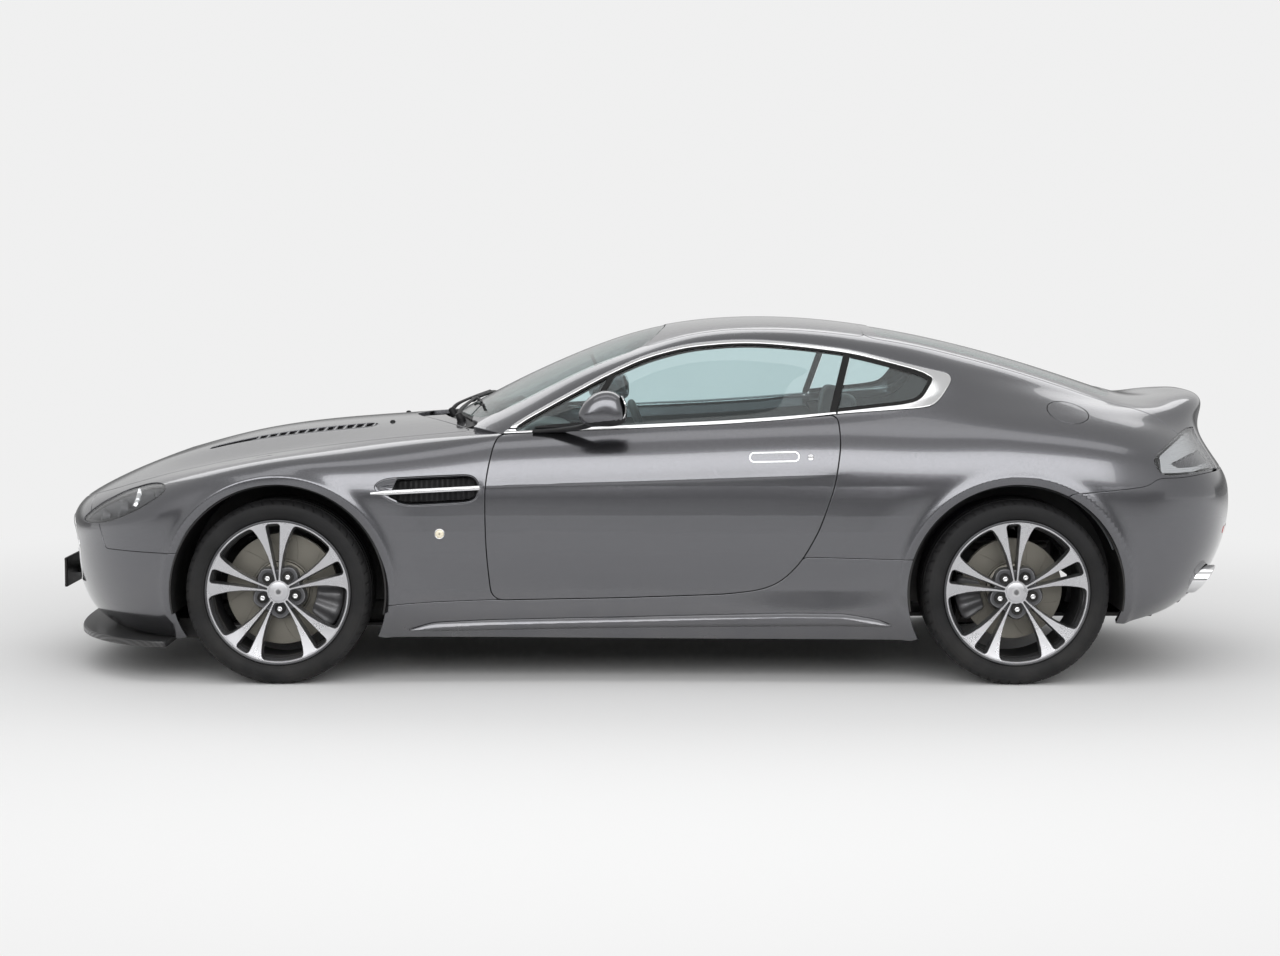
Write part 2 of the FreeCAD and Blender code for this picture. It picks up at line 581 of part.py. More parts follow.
# ---------------------------------------------------------------- cabin sides
side_rows = [0.5 / CABIN_ROWS] + [k / CABIN_ROWS for k in range(1, 13)] + [12.6 / CABIN_ROWS]
side_depth = [SIDE_WALL] * 8 + [SIDE_WALL * 0.8, PILLAR_WALL * 1.3] + [PILLAR_WALL] * 4
side_skin = slab(CABIN_FORM, [along(-560)] + cabin_mid[1:] + tail_stations[:6], side_rows, 0.0,
                 side_depth, (-1,))
door_hole = side_prism(door_line, -1000, 0, SHUT_GAP / 2.0)
body_side = side_skin.cut(door_hole)
jamb = slab(CABIN_FORM, cabin_mid[:11], side_rows[1:12], JAMB_DEPTH, SIDE_WALL + 60.0, (-1,))
body_side = body_side.cut(jamb.common(side_prism(door_line, -1000, 0, SHUT_GAP / 2.0 + JAMB_STEP)))
body_side = body_side.cut(side_prism(window_line, -1000, 0))
body_side = body_side.cut(side_prism(sill_line, -1000, 0, SEAM_GAP / 2.0))
body_side = body_side.cut(side_prism([(-900, 0), (-900, 868), (-500, 868), (-500, 0)], -1000, 0))
body_side = body_side.cut(arch_rear)
body_side = body_side.cut(side_prism(BUMPER_REAR_LINE, -1000, 1000, SEAM_GAP / 2.0))
tail_lamp_hole = side_prism(TAIL_LAMP_LINE, -1000, -480, SEAM_GAP)
body_side = body_side.cut(tail_lamp_hole)
body_side = body_side.cut(plan_prism(HATCH_PLAN, 400, 1400, SHUT_GAP / 2.0))
body_side = body_side.cut(plan_prism(ROOF_PLAN, 400, 1400, SEAM_GAP))
body_side = body_side.cut(plan_prism(SCREEN_PLAN, 400, 1400, SEAM_GAP))

flap_t = 2.083
flap_v = 9.3 / CABIN_ROWS
flap_spot = skin_point(CABIN_FORM, flap_t, flap_v)
flap_normal = skin_normal(CABIN_FORM, flap_t, flap_v)
if flap_normal.y > 0:
    flap_normal = flap_normal * -1.0
flap_centre = point(flap_spot[0], -flap_spot[1], flap_spot[2])
keep("body_side_right", largest(mirrored(body_side)))
pocket = Part.makeCylinder(FLAP_RADIUS + SHUT_GAP / 2.0, 60.0, flap_centre - flap_normal * 30.0,
                           flap_normal)
flap_ahead = FreeCAD.Vector(-1, 0, 0) + flap_normal * flap_normal.x
flap_ahead.normalize()
boss_place = flap_centre + flap_ahead * (FLAP_RADIUS - 20.0)
boss = Part.makeCylinder(9.0, 80.0, boss_place - flap_normal * 60.0, flap_normal)
boss = boss.common(slab(CABIN_FORM, [2.0, 2.08, 2.15, 2.3], [k / CABIN_ROWS for k in range(7, 13)],
                        FLAP_WALL + SEAM_GAP, 70.0, (-1,)))
body_side_left = largest(body_side.cut(pocket.cut(boss)))
keep("body_side_left", body_side_left)
flap_skin = slab(CABIN_FORM, [1.94, 2.0, 2.08, 2.15, 2.3], [k / CABIN_ROWS for k in range(7, 13)], 0.0,
                 FLAP_WALL, (-1,))
flap_disc = Part.makeCylinder(FLAP_RADIUS - SHUT_GAP / 2.0, 120.0, flap_centre - flap_normal * 60.0,
                              flap_normal)
keep("fuel_flap", largest(flap_skin.common(flap_disc)))

# ---------------------------------------------------------------- doors and side glass
door_rows = [k / CABIN_ROWS for k in range(1, 10)] + [9.6 / CABIN_ROWS]
door_skin = slab(CABIN_FORM, cabin_mid[:10], door_rows, 0.0, DOOR_WALL, (-1,))
door = largest(door_skin.common(side_prism(door_cut_line, -1000, 0, -SHUT_GAP / 2.0)))
door_rim = slab(CABIN_FORM, cabin_mid[:10], door_rows, JAMB_DEPTH, DOOR_WALL + 60.0, (-1,))
door_rim = door_rim.cut(side_prism(door_line, -1000, 0, -SHUT_GAP / 2.0 - JAMB_STEP))
door = largest(door.cut(door_rim))
hinge_foot = point(DOOR_HINGE_X, -DOOR_HINGE_Y, DOOR_HINGE_Z)
hinge_way = FreeCAD.Vector(0, math.sin(math.radians(HINGE_TILT)), math.cos(math.radians(HINGE_TILT)))
for height in DOOR_HINGE_HEIGHTS:
    middle = hinge_foot + hinge_way * ((height - DOOR_HINGE_Z) * KZ)
    pocket = Part.makeBox(400.0, 400.0, HINGE_POCKET, FreeCAD.Vector(middle.x - 400.0 + HINGE_ARM,
                          middle.y - HINGE_ARM, middle.z - HINGE_POCKET / 2.0))
    door = door.cut(pocket)
    door = door.cut(rod(middle - hinge_way * (HINGE_POCKET / 2.0 + 14.0),
                        middle + hinge_way * (HINGE_POCKET / 2.0 + 14.0), PIN_RADIUS + PIN_CLEAR))
door = largest(door)
keep("door_left", door)
keep("door_right", mirrored(door))
glass_rows = [k / CABIN_ROWS for k in (7, 8, 9, 10, 11, 12)]
glass_skin = slab(CABIN_FORM, cabin_mid, glass_rows, GLASS_DEPTH, GLASS_DEPTH + GLASS_WALL, (-1,))
door_glass = glass_skin.common(side_prism(door_glass_line, -1000, 0, -SHUT_GAP / 2.0))
door_glass = largest(door_glass.cut(door))
keep("door_glass_left", door_glass)
keep("door_glass_right", mirrored(door_glass))
quarter_glass = glass_skin.common(side_prism(quarter_window_line, -1000, 0, -SEAM_GAP))
quarter_glass = quarter_glass.cut(side_prism(door_window_line, -1000, 0, SHUT_GAP / 2.0))
keep("quarter_glass", pair(largest(quarter_glass)))

# ---------------------------------------------------------------- sills
sill_skin = slab(CABIN_FORM, [along(x) for x in (-1000, -640, -330, 0, 400, 700, 1000)],
                 [0.0, 0.5 / CABIN_ROWS, 1.0 / CABIN_ROWS, 2.0 / CABIN_ROWS, 3.0 / CABIN_ROWS], 0.0,
                 SILL_WALL, (-1,))
sill = sill_skin.common(side_prism(sill_line, -1000, 0, -SEAM_GAP / 2.0))
sill = sill.cut(side_prism(door_line, -1000, 0, SHUT_GAP / 2.0))
sill = sill.cut(arch_front).cut(arch_rear)
keep("sill_skirts", pair(largest(sill)))

# ---------------------------------------------------------------- roof, screens, hatch
top_rows = [12.0 / CABIN_ROWS, 12.5 / CABIN_ROWS, 13.0 / CABIN_ROWS, 13.5 / CABIN_ROWS, 1.0]
roof_rows = [11.5 / CABIN_ROWS] + top_rows
roof_skin = slab(CABIN_FORM, [along(x) for x in (-150, 0, 100, 200, 400, 570, 700, 850)], roof_rows,
                 0.0, ROOF_WALL, (-1, 1))
roof = largest(roof_skin.common(plan_prism(ROOF_PLAN, 900, 1400)))
roof_crown = skin_point(CABIN_FORM, along(HATCH_SPLIT_X), 1.0)
hatch_hinge = point(HATCH_HINGE_X, 0, roof_crown[2]) - FreeCAD.Vector(0, 0, HATCH_HINGE_DEPTH)
under_skin = slab(CABIN_FORM, [along(x) for x in (640, 700, 850, 950)], roof_rows, 1.0, 90.0, (-1, 1))
for side in (-1, 1):
    middle = side * HATCH_HINGE_Y * KY
    plate = Part.makeBox(80.0, HATCH_PLATE, 40.0, FreeCAD.Vector(hatch_hinge.x - 74.0,
                         middle - HATCH_PLATE / 2.0, hatch_hinge.z - 24.0))
    plate = plate.common(under_skin)
    pin = cylinder_y(hatch_hinge.x, hatch_hinge.z, HATCH_PIN_RADIUS, middle - HATCH_PIN_REACH + 1.0,
                     middle + HATCH_PIN_REACH - 1.0)
    roof = roof.fuse(plate).fuse(pin)
keep("roof_panel", largest(roof))
screen_skin = slab(CABIN_FORM, [along(x) for x in (-760, -640, -500, -330, -150, 0, 120)], roof_rows,
                   4.0, 4.0 + GLASS_WALL, (-1, 1))
keep("windscreen", largest(screen_skin.common(plan_prism(SCREEN_PLAN, 600, 1400))))

hatch_rows = [k / (2.0 * CABIN_ROWS) for k in range(12, 29)]
hatch_skin = slab(CABIN_FORM, [along(x) for x in (700, 850, 1000, 1150)] + tail_stations, hatch_rows,
                  0.0, HATCH_WALL, (-1, 1))
hatch = hatch_skin.common(plan_prism(HATCH_PLAN, 400, 1400, -SHUT_GAP / 2.0))
hatch = hatch.cut(box(1500, 2400, -1000, 1000, 0, 738))
lamp_sweep = side_prism(TAIL_LAMP_LINE, -1000, -480, SHUT_GAP)
hatch = hatch.cut(lamp_sweep).cut(mirrored(lamp_sweep))
rear_glass_zone = plan_prism(REAR_GLASS_PLAN, 700, 1400)
hatch = hatch.cut(rear_glass_zone)
hatch = hatch.cut(box(1700, 2400, -1000, -474, 0, 872)).cut(box(1700, 2400, 474, 1000, 0, 872))
for side in (-1, 1):
    middle = side * HATCH_HINGE_Y * KY
    near = middle - HATCH_PLATE / 2.0 - PIN_CLEAR - 1.0
    notch = Part.makeBox(60.0, HATCH_PLATE + 2.0 * PIN_CLEAR + 2.0, 100.0,
                         FreeCAD.Vector(hatch_hinge.x - 46.0, near, hatch_hinge.z - 50.0))
    hatch = hatch.cut(notch)
    hatch = hatch.cut(cylinder_y(hatch_hinge.x, hatch_hinge.z, HATCH_PIN_RADIUS + PIN_CLEAR,
                                 middle - HATCH_PIN_REACH, middle + HATCH_PIN_REACH))
keep("hatch", largest(hatch))
rear_glass_skin = slab(CABIN_FORM, [along(x) for x in (700, 850, 1000, 1150)] + [2.0, 2.3, 2.6, 3.0],
                       hatch_rows[8:], 3.0, 3.0 + GLASS_WALL, (-1, 1))
keep("hatch_glass", largest(rear_glass_skin.common(plan_prism(REAR_GLASS_PLAN, 700, 1400, -SEAM_GAP))))

# ---------------------------------------------------------------- tail
tail_rows = [0.5 / CABIN_ROWS] + [k / CABIN_ROWS for k in range(1, 8)]
tail_skin = slab(CABIN_FORM, [along(1250)] + tail_stations, tail_rows, 0.0, BUMPER_WALL, (-1, 1))
rear_bumper = tail_skin.common(side_prism(BUMPER_REAR_LINE, -1000, 1000, -SEAM_GAP / 2.0))
rear_bumper = rear_bumper.cut(cylinder_y(AXLE_REAR, AXLE_Z, ARCH_RADIUS, -1200 * KY, 1200 * KY))
for side in (-1, 1):
    rear_bumper = rear_bumper.cut(rod(point(1850, side * EXHAUST_Y, EXHAUST_Z),
                                      point(2300, side * EXHAUST_Y, EXHAUST_Z), EXHAUST_RADIUS + 6.0))
keep("rear_bumper", largest(rear_bumper))
lamp_rear_skin = slab(CABIN_FORM, tail_stations[1:], [k / CABIN_ROWS for k in range(5, 11)], 2.0,
                      LAMP_DEPTH, (-1,))
tail_lamp = lamp_rear_skin.common(side_prism(TAIL_LAMP_LINE, -1000, -480))
tail_lamp = tail_lamp.cut(plan_prism(HATCH_PLAN, 890, 1400, SHUT_GAP))
keep("tail_lamps", pair(largest(tail_lamp)))

# ---------------------------------------------------------------- front end trim
grille = slab(FRONT_FORM, nose_stations[:5], [k / FRONT_ROWS for k in (2, 3, 4, 5, 6, 7)], 14.0, 34.0,
              (-1, 1))
grille = grille.common(front_prism(GRILLE_FRONT, -2400, -1990, -SEAM_GAP))
grille_rim = slab(FRONT_FORM, nose_stations[:5], [k / FRONT_ROWS for k in (2, 3, 4, 5, 6, 7)], 2.0,
                  34.0, (-1, 1))
grille_rim = grille_rim.common(front_prism(GRILLE_FRONT, -2400, -1990, -SEAM_GAP))
grille_rim = grille_rim.cut(front_prism(GRILLE_FRONT, -2400, -1990, -12.0))
vanes = grille.cut(box(-2400, -1900, -1000, 1000, 0, 318))
for level in (318, 364, 410, 456, 502):
    vanes = vanes.cut(box(-2400, -1900, -1000, 1000, level + 10, level + 46))
for solid in vanes.Solids:
    grille_rim = grille_rim.fuse(solid)
post = grille.common(box(-2400, -1900, -8, 8, 290, 560))
grille_rim = grille_rim.fuse(post)
keep("grille", largest(grille_rim))

splitter_plan = [(-2125, 0), (-2118, 200), (-2085, 430), (-2010, 620), (-1900, 770), (-1790, 850),
                 (-1682, 868), (-1682, 700), (-1700, 500), (-1720, 0)]
splitter = plan_prism(splitter_plan, 128, 150)
splitter = splitter.cut(cylinder_y(AXLE_FRONT, AXLE_Z, ARCH_RADIUS + 6.0, -1200 * KY, 1200 * KY))
riser = plan_prism(grown([(-2040, 0), (-2030, 300), (-1960, 520), (-1850, 720), (-1720, 830),
                          (-1700, 600), (-1760, 0)], 8.0), 149, 215)
riser = riser.cut(slab(FRONT_FORM, nose_stations + [1.0], [0.0] + front_rows_all[1:5], -60.0,
                       BUMPER_WALL + SEAM_GAP, (-1, 1)))
riser = riser.cut(cylinder_y(AXLE_FRONT, AXLE_Z, ARCH_RADIUS + 6.0, -1200 * KY, 1200 * KY))
keep("splitter", largest(splitter.fuse(largest(riser))))

plate_front = -made["rear_bumper"].BoundBox.XMax
plate = Part.makeBox(14.0, 524.0 * KY, 112.0, FreeCAD.Vector(plate_front, -262.0 * KY, 268.0 * KZ))
plate_arm = box(-2172, -2080, -120, 120, 300, 330)
plate_arm = plate_arm.cut(slab(FRONT_FORM, nose_stations[:5], [k / FRONT_ROWS for k in range(0, 8)],
                               2.0 - SEAM_GAP, 260.0, (-1, 1)))
plate_arm = largest(plate_arm)
plate = plate.fuse(plate_arm)
for side in (-1, 1):
    plate = plate.cut(Part.makeCylinder(PLATE_HOLE_RADIUS, 200.0,
                                        FreeCAD.Vector(-2250.0, side * PLATE_HOLE_SPACING / 2.0,
                                                       350.0 * KZ), FreeCAD.Vector(1, 0, 0)))
keep("plate_holder", largest(plate))

cowl_skin = slab(FRONT_FORM, [along(x) for x in (-960, -900, -760, -640, -560)],
                 [k / (2.0 * FRONT_ROWS) for k in range(14, 25)], BONNET_WALL + 6.0, BONNET_WALL + 15.0,
                 (-1, 1))
cowl_zone = plan_prism([(-890, 0), (-868, 140), (-780, 330), (-672, 545), (-655, 575), (-625, 575),
                        (-650, 420), (-690, 200), (-712, 0)], 600, 1400)
cowl = largest(cowl_skin.common(cowl_zone))
lip = slab(CABIN_FORM, [along(x) for x in (-760, -700, -640, -560)], roof_rows,
           4.0 + GLASS_WALL + SEAM_GAP, 64.0, (-1, 1))
lip = lip.common(plan_prism([(-716, 0), (-694, 200), (-654, 420), (-630, 540), (-606, 540), (-630, 420),
                             (-670, 200), (-692, 0)], 600, 1400))
cowl = cowl.fuse(largest(lip))
keep("cowl_panel", largest(cowl))

# ---------------------------------------------------------------- mirrors
mirror_line = [(-235, 948), (-222, 990), (-173, 1036), (-115, 1043), (-72, 1014), (-57, 965),
               (-62, 922), (-110, 912), (-202, 914)]
mirror = side_prism(mirror_line, -1010, -868)
mirror = mirror.makeFillet(22.0, mirror.Faces[-1].Edges)
foot = side_prism([(-330, 874), (-190, 880), (-150, 925), (-215, 925)], -900, -760)
foot = foot.cut(slab(CABIN_FORM, cabin_mid[:10], [k / CABIN_ROWS for k in range(5, 13)], -SEAM_GAP,
                     DOOR_WALL, (-1,)))
mirror = largest(mirror.fuse(largest(foot)))
keep("mirror_left", mirror)
keep("mirror_right", mirrored(mirror))

# ---------------------------------------------------------------- floor and bulkheads
shell_inside = slab(CABIN_FORM, [along(-640)] + cabin_mid[1:] + tail_stations[:7],
                    [0.0] + side_rows[1:], -60.0, [d + SEAM_GAP for d in side_depth], (-1,))
sill_keepout = slab(CABIN_FORM, [along(x) for x in (-1000, -640, -330, 0, 400, 700, 1000)],
                    [0.0, 0.5 / CABIN_ROWS, 1.0 / CABIN_ROWS, 2.0 / CABIN_ROWS, 3.0 / CABIN_ROWS],
                    -60.0, SILL_WALL + SEAM_GAP, (-1,))
liner_room = cylinder_y(AXLE_REAR, AXLE_Z, ARCH_RADIUS, -1200.0 * KY, (SEAM_GAP - REAR_LINER_INNER) * KY)
floor = box(-620, 900, -700, 0, 150, 176)
floor = floor.fuse(box(-880, 930, -860, -690, 160, 286))
floor = floor.cut(arch_front).cut(arch_rear).cut(sill_keepout).cut(sill)
tray_z = 150.0 + SEAM_GAP
front_tower = (FRONT_ARM_INNER - TOWER_INSET - SEAM_GAP) / KY
rear_tower = (REAR_ARM_INNER - TOWER_INSET - SEAM_GAP) / KY
tower_foot = (AXLE_Z - KING_HALF - TOWER_REACH) / KZ
floor = floor.fuse(box(-1695, -600, -front_tower, 0, tray_z, 162))
floor = floor.fuse(box(-1695, -600, -front_tower, 50.0 - front_tower, tray_z, tower_foot + TOWER_LAP))
floor = floor.fuse(box(-1340, -1240, -front_tower, 0, 160, CROSS_TOP))
floor = floor.fuse(box(-640, -600, -700, 0, 150, 840))
floor = floor.fuse(box(-660, -562, -700, 0, 780, 838))
floor = floor.fuse(box(880, 1930, -rear_tower, 0, 190, 206))
floor = floor.fuse(box(1120, 1500, -rear_tower, 30.0 - rear_tower, 190, tower_foot + TOWER_LAP))
floor = floor.fuse(box(860, 900, -700, 0, 150, 560).cut(liner_room))
side_wall_box = box(862, 898, -860, -690, 430, 560)
floor = floor.fuse(side_wall_box.cut(shell_inside).cut(arch_rear))
floor = floor.fuse(box(880, 1930, -560, 0, 548, 562))
floor = floor.fuse(box(1905, 1930, -520, 0, 190, 640))
pillar = box(-530, -425, -718, -670, 160, 760)
floor = floor.fuse(pillar)
floor = floor.fuse(box(-610, -500, -718, -670, 160, 760))
for height in DOOR_HINGE_HEIGHTS:
    middle = hinge_foot + hinge_way * ((height - DOOR_HINGE_Z) * KZ)
    arm_end = middle.y - HINGE_ARM * 0.45
    floor = floor.fuse(Part.makeBox(HINGE_ARM * 1.1, -700.0 * KY - arm_end, HINGE_POCKET - 24.0,
                                    FreeCAD.Vector(middle.x - HINGE_ARM * 0.55, arm_end,
                                                   middle.z - (HINGE_POCKET - 24.0) / 2.0)))
    floor = floor.fuse(rod(middle - hinge_way * (HINGE_POCKET / 2.0 + 10.0),
                           middle + hinge_way * (HINGE_POCKET / 2.0 + 10.0), PIN_RADIUS))
ear = box(-610, -590, -620, -609, 780, BONNET_HINGE_Z + 9)
floor = floor.fuse(ear)
floor = floor.fuse(cylinder_y(BONNET_HINGE_X * KX, BONNET_HINGE_Z * KZ, PIN_RADIUS, -619.0 * KY,
                              -592.0 * KY))
underbody = floor.fuse(mirrored(floor))
keep("underbody", largest(underbody))

# ---------------------------------------------------------------- arch liners
def liner(x, y_in, y_out):
    """Half-round lining of one wheel arch, closed on its inboard side."""
    outer = cylinder_y(x, AXLE_Z, ARCH_RADIUS - ARCH_LIP_GAP, -y_out * KY, -y_in * KY)
    inner = cylinder_y(x, AXLE_Z, ARCH_RADIUS - ARCH_LIP_GAP - LINER_WALL, -y_out * KY - 1.0,
                       -y_in * KY - LINER_WALL)
    shell = outer.cut(inner)
    shell = shell.cut(Part.makeBox(1200.0, 1200.0, 600.0, FreeCAD.Vector(x - 600.0, -1200.0 * KY - 1.0,
                                                                     AXLE_Z - 110.0 - 600.0)))
    window = cylinder_y(x, AXLE_Z, 225.0, -y_in * KY - 40.0, -y_in * KY + 20.0)
    return shell.cut(window)


front_liner = liner(AXLE_FRONT, FRONT_LINER_INNER, LINER_OUTER)
front_liner = front_liner.cut(box(-2400, 0, -1000, 0, 0, 250))
bonnet_room = slab(FRONT_FORM, front_side_stations, bonnet_rows, -300.0, BONNET_WALL + SHUT_GAP, (-1,))
front_liner = front_liner.cut(bonnet_room)
rear_liner = liner(AXLE_REAR, REAR_LINER_INNER, LINER_OUTER)
rear_liner = rear_liner.cut(box(0, 2400, -1000, 0, 0, 260))
liners = [largest(front_liner), largest(rear_liner)]
keep("arch_liners_front", pair(liners[0]))
keep("arch_liners_rear", pair(liners[1]))

# ---------------------------------------------------------------- wheels
def ring_of(profile, x, y, z):
    """Solid turned about the wheel's own axis; the profile is (radius, offset along Y)."""
    ring = [FreeCAD.Vector(r, w, 0) for r, w in profile]
    face = Part.Face(Part.makePolygon(ring + [ring[0]]))
    turned = face.revolve(FreeCAD.Vector(0, 0, 0), FreeCAD.Vector(0, 1, 0), 360.0)
    turned.translate(FreeCAD.Vector(x, y, z))
    return turned


def tyre(width, x, y):
    """Tyre with a flat tread, rounded shoulders and bulged walls, seated on the rim."""
    half = width / 2.0
    seat = half - 14.0
    bead = RIM_BEAD_RADIUS + RIM_FIT
    wall = TYRE_RADIUS - RIM_FLANGE_RADIUS
    profile = [(bead, -seat), (RIM_FLANGE_RADIUS + RIM_FIT, -seat), (RIM_FLANGE_RADIUS + 4, -seat - 6),
               (RIM_FLANGE_RADIUS + wall * 0.45, -half), (RIM_FLANGE_RADIUS + wall * 0.72, -half + 3),
               (TYRE_RADIUS - 6, -half + 14), (TYRE_RADIUS, -half + 28)]
    profile = profile + [(r, -w) for r, w in reversed(profile)]
    return ring_of(profile, x, y, AXLE_Z)


def wheel(width, x, y, disc_radius, disc_at):
    """Cast wheel with paired spokes, its hub and the brake disc bolted behind it. The face looks
    towards -Y; disc_at is the disc's middle, measured inboard from the wheel's middle."""
    half = width / 2.0
    seat = half - 14.0 + RIM_FIT
    bead = RIM_BEAD_RADIUS
    barrel = bead - RIM_WALL
    profile = [(barrel, -seat - 8), (RIM_FLANGE_RADIUS, -seat - 8), (RIM_FLANGE_RADIUS, -seat),
               (bead, -seat), (bead, seat), (RIM_FLANGE_RADIUS, seat), (RIM_FLANGE_RADIUS, seat + 8),
               (barrel, seat + 8)]
    rim = ring_of(profile, 0, 0, 0)
    face = -seat - 2.0
    hub = Part.makeCylinder(HUB_RADIUS, 46.0, FreeCAD.Vector(0, face + 26.0, 0),
                            FreeCAD.Vector(0, 1, 0))
    rim = rim.fuse(hub)
    reach = barrel + RIM_WALL / 2.0 - HUB_RADIUS + 20.0
    for k in range(SPOKE_PAIRS):
        for lean in (-SPOKE_HALF_ANGLE, SPOKE_HALF_ANGLE):
            spoke = Part.makeBox(SPOKE_WIDTH, 36.0, reach,
                                 FreeCAD.Vector(-SPOKE_WIDTH / 2.0, face + 8.0, HUB_RADIUS - 20.0))
            spoke.rotate(FreeCAD.Vector(0, 0, 0), FreeCAD.Vector(0, 1, 0), 72.0 * k + lean)
            rim = rim.fuse(spoke)
    disc_front = disc_at - DISC_THICK / 2.0
    hat = Part.makeCylinder(HUB_RADIUS - 4.0, disc_front + DISC_THICK - (face + 60.0),
                            FreeCAD.Vector(0, face + 60.0, 0), FreeCAD.Vector(0, 1, 0))
    disc = Part.makeCylinder(disc_radius, DISC_THICK, FreeCAD.Vector(0, disc_front, 0),
                             FreeCAD.Vector(0, 1, 0))
    rim = rim.fuse(hat).fuse(disc)
    bore = Part.makeCylinder(SPINDLE_RADIUS + PIN_CLEAR, 400.0, FreeCAD.Vector(0, face + 40.0, 0),
                             FreeCAD.Vector(0, 1, 0))
    rim = rim.cut(bore)
    rim.translate(FreeCAD.Vector(x, y, AXLE_Z))
    return rim


for axle, x, y, width, disc_radius in (
        ("front", AXLE_FRONT, -TRACK_FRONT / 2.0, TYRE_WIDTH_FRONT, DISC_RADIUS_FRONT),
        ("rear", AXLE_REAR, -TRACK_REAR / 2.0, TYRE_WIDTH_REAR, DISC_RADIUS_REAR)):
    left_rim = wheel(width, x, y, disc_radius, DISC_PLACE)
    left_tyre = tyre(width, x, y)
    keep("rim_" + axle + "_left", left_rim)
    keep("tyre_" + axle + "_left", left_tyre)
    keep("rim_" + axle + "_right", mirrored(left_rim))
    keep("tyre_" + axle + "_right", mirrored(left_tyre))


# ---------------------------------------------------------------- knuckles, arms and axle
def upright(x, y, disc_radius, caliper_side):
    """Hub carrier with its spindle and the brake caliper that straddles the disc."""
    inboard = y + DISC_PLACE + DISC_THICK / 2.0 + DISC_CLEAR
    body = Part.makeBox(80.0, 56.0, 2.0 * KING_HALF, FreeCAD.Vector(x - 40.0, inboard, AXLE_Z - KING_HALF))
    spindle = Part.makeCylinder(SPINDLE_RADIUS, inboard + 10.0 - (y - 60.0),
                                FreeCAD.Vector(x, y - 60.0, AXLE_Z), FreeCAD.Vector(0, 1, 0))
    body = body.fuse(spindle)
    start = disc_radius * 0.62
    deep = disc_radius + 18.0 - start
    block = Part.makeBox(deep, DISC_THICK + 2.0 * DISC_CLEAR + 60.0, 150.0,
                         FreeCAD.Vector(x + start, y + DISC_PLACE - DISC_THICK / 2.0 - DISC_CLEAR - 30.0,
                                        AXLE_Z - 75.0))
    slot = cylinder_y(x, AXLE_Z, disc_radius + DISC_CLEAR, y + DISC_PLACE - DISC_THICK / 2.0 - DISC_CLEAR,
                      y + DISC_PLACE + DISC_THICK / 2.0 + DISC_CLEAR)
    block = block.cut(slot)
    bracket = Part.makeBox(start + 20.0, 24.0, 60.0, FreeCAD.Vector(x, inboard + 6.0, AXLE_Z - 30.0))
    block = block.fuse(bracket)
    if caliper_side < 0:
        block = block.mirror(FreeCAD.Vector(x, 0, 0), FreeCAD.Vector(1, 0, 0))
    return largest(body.fuse(block))


front_upright = upright(AXLE_FRONT, -TRACK_FRONT / 2.0, DISC_RADIUS_FRONT, 1)
keep("knuckle_front_left", front_upright)
keep("knuckle_front_right", mirrored(front_upright))
rear_upright = upright(AXLE_REAR, -TRACK_REAR / 2.0, DISC_RADIUS_REAR, -1)
keep("hub_carriers_rear", pair(rear_upright))


def arm(x, y, inner_y, level, top):
    """One wishbone: a boss under or over the upright and two legs to the chassis."""
    inboard = y + DISC_PLACE + DISC_THICK / 2.0 + DISC_CLEAR + 28.0
    z = level + SEAM_GAP if top else level - SEAM_GAP - 24.0
    boss = Part.makeCylinder(20.0, 24.0, FreeCAD.Vector(x, inboard, z))
    for spread in (-1, 1):
        start = FreeCAD.Vector(x, inboard, z + 12.0)
        end = FreeCAD.Vector(x + spread * 150.0, inner_y, z + 12.0)
        boss = boss.fuse(rod(start, end, 11.0))
    return boss


arms = []
for x, track, inner in ((AXLE_FRONT, TRACK_FRONT, FRONT_ARM_INNER), (AXLE_REAR, TRACK_REAR,
                                                                     REAR_ARM_INNER)):
    arms.append(arm(x, -track / 2.0, -inner, AXLE_Z + KING_HALF, True))
    arms.append(arm(x, -track / 2.0, -inner, AXLE_Z - KING_HALF, False))
tower = []
for x, inner in ((AXLE_FRONT, FRONT_ARM_INNER), (AXLE_REAR, REAR_ARM_INNER)):
    block = Part.makeBox(340.0, TOWER_WALL, 2.0 * (KING_HALF + TOWER_REACH),
                         FreeCAD.Vector(x - 170.0, -inner + TOWER_INSET - TOWER_WALL,
                                        AXLE_Z - KING_HALF - TOWER_REACH))
    block = block.cut(Part.makeBox(200.0, 60.0, 2.0 * KING_HALF - 30.0,
                                   FreeCAD.Vector(x - 100.0, -inner - 10.0, AXLE_Z - KING_HALF + 15.0)))
    tower.append(block)
front_arms = arms[0].fuse(arms[1]).fuse(tower[0])
rear_arms = arms[2].fuse(arms[3]).fuse(tower[1])
keep("suspension_arms", Part.makeCompound([front_arms, rear_arms, mirrored(front_arms),
                                           mirrored(rear_arms)]))
case = Part.makeBox(320.0, 300.0, 240.0, FreeCAD.Vector(AXLE_REAR - 180.0, -150.0, 206.3 * KZ))
shafts = cylinder_y(AXLE_REAR, AXLE_Z, 22.0, -REAR_SHAFT_END, REAR_SHAFT_END)
keep("rear_axle", case.fuse(shafts))

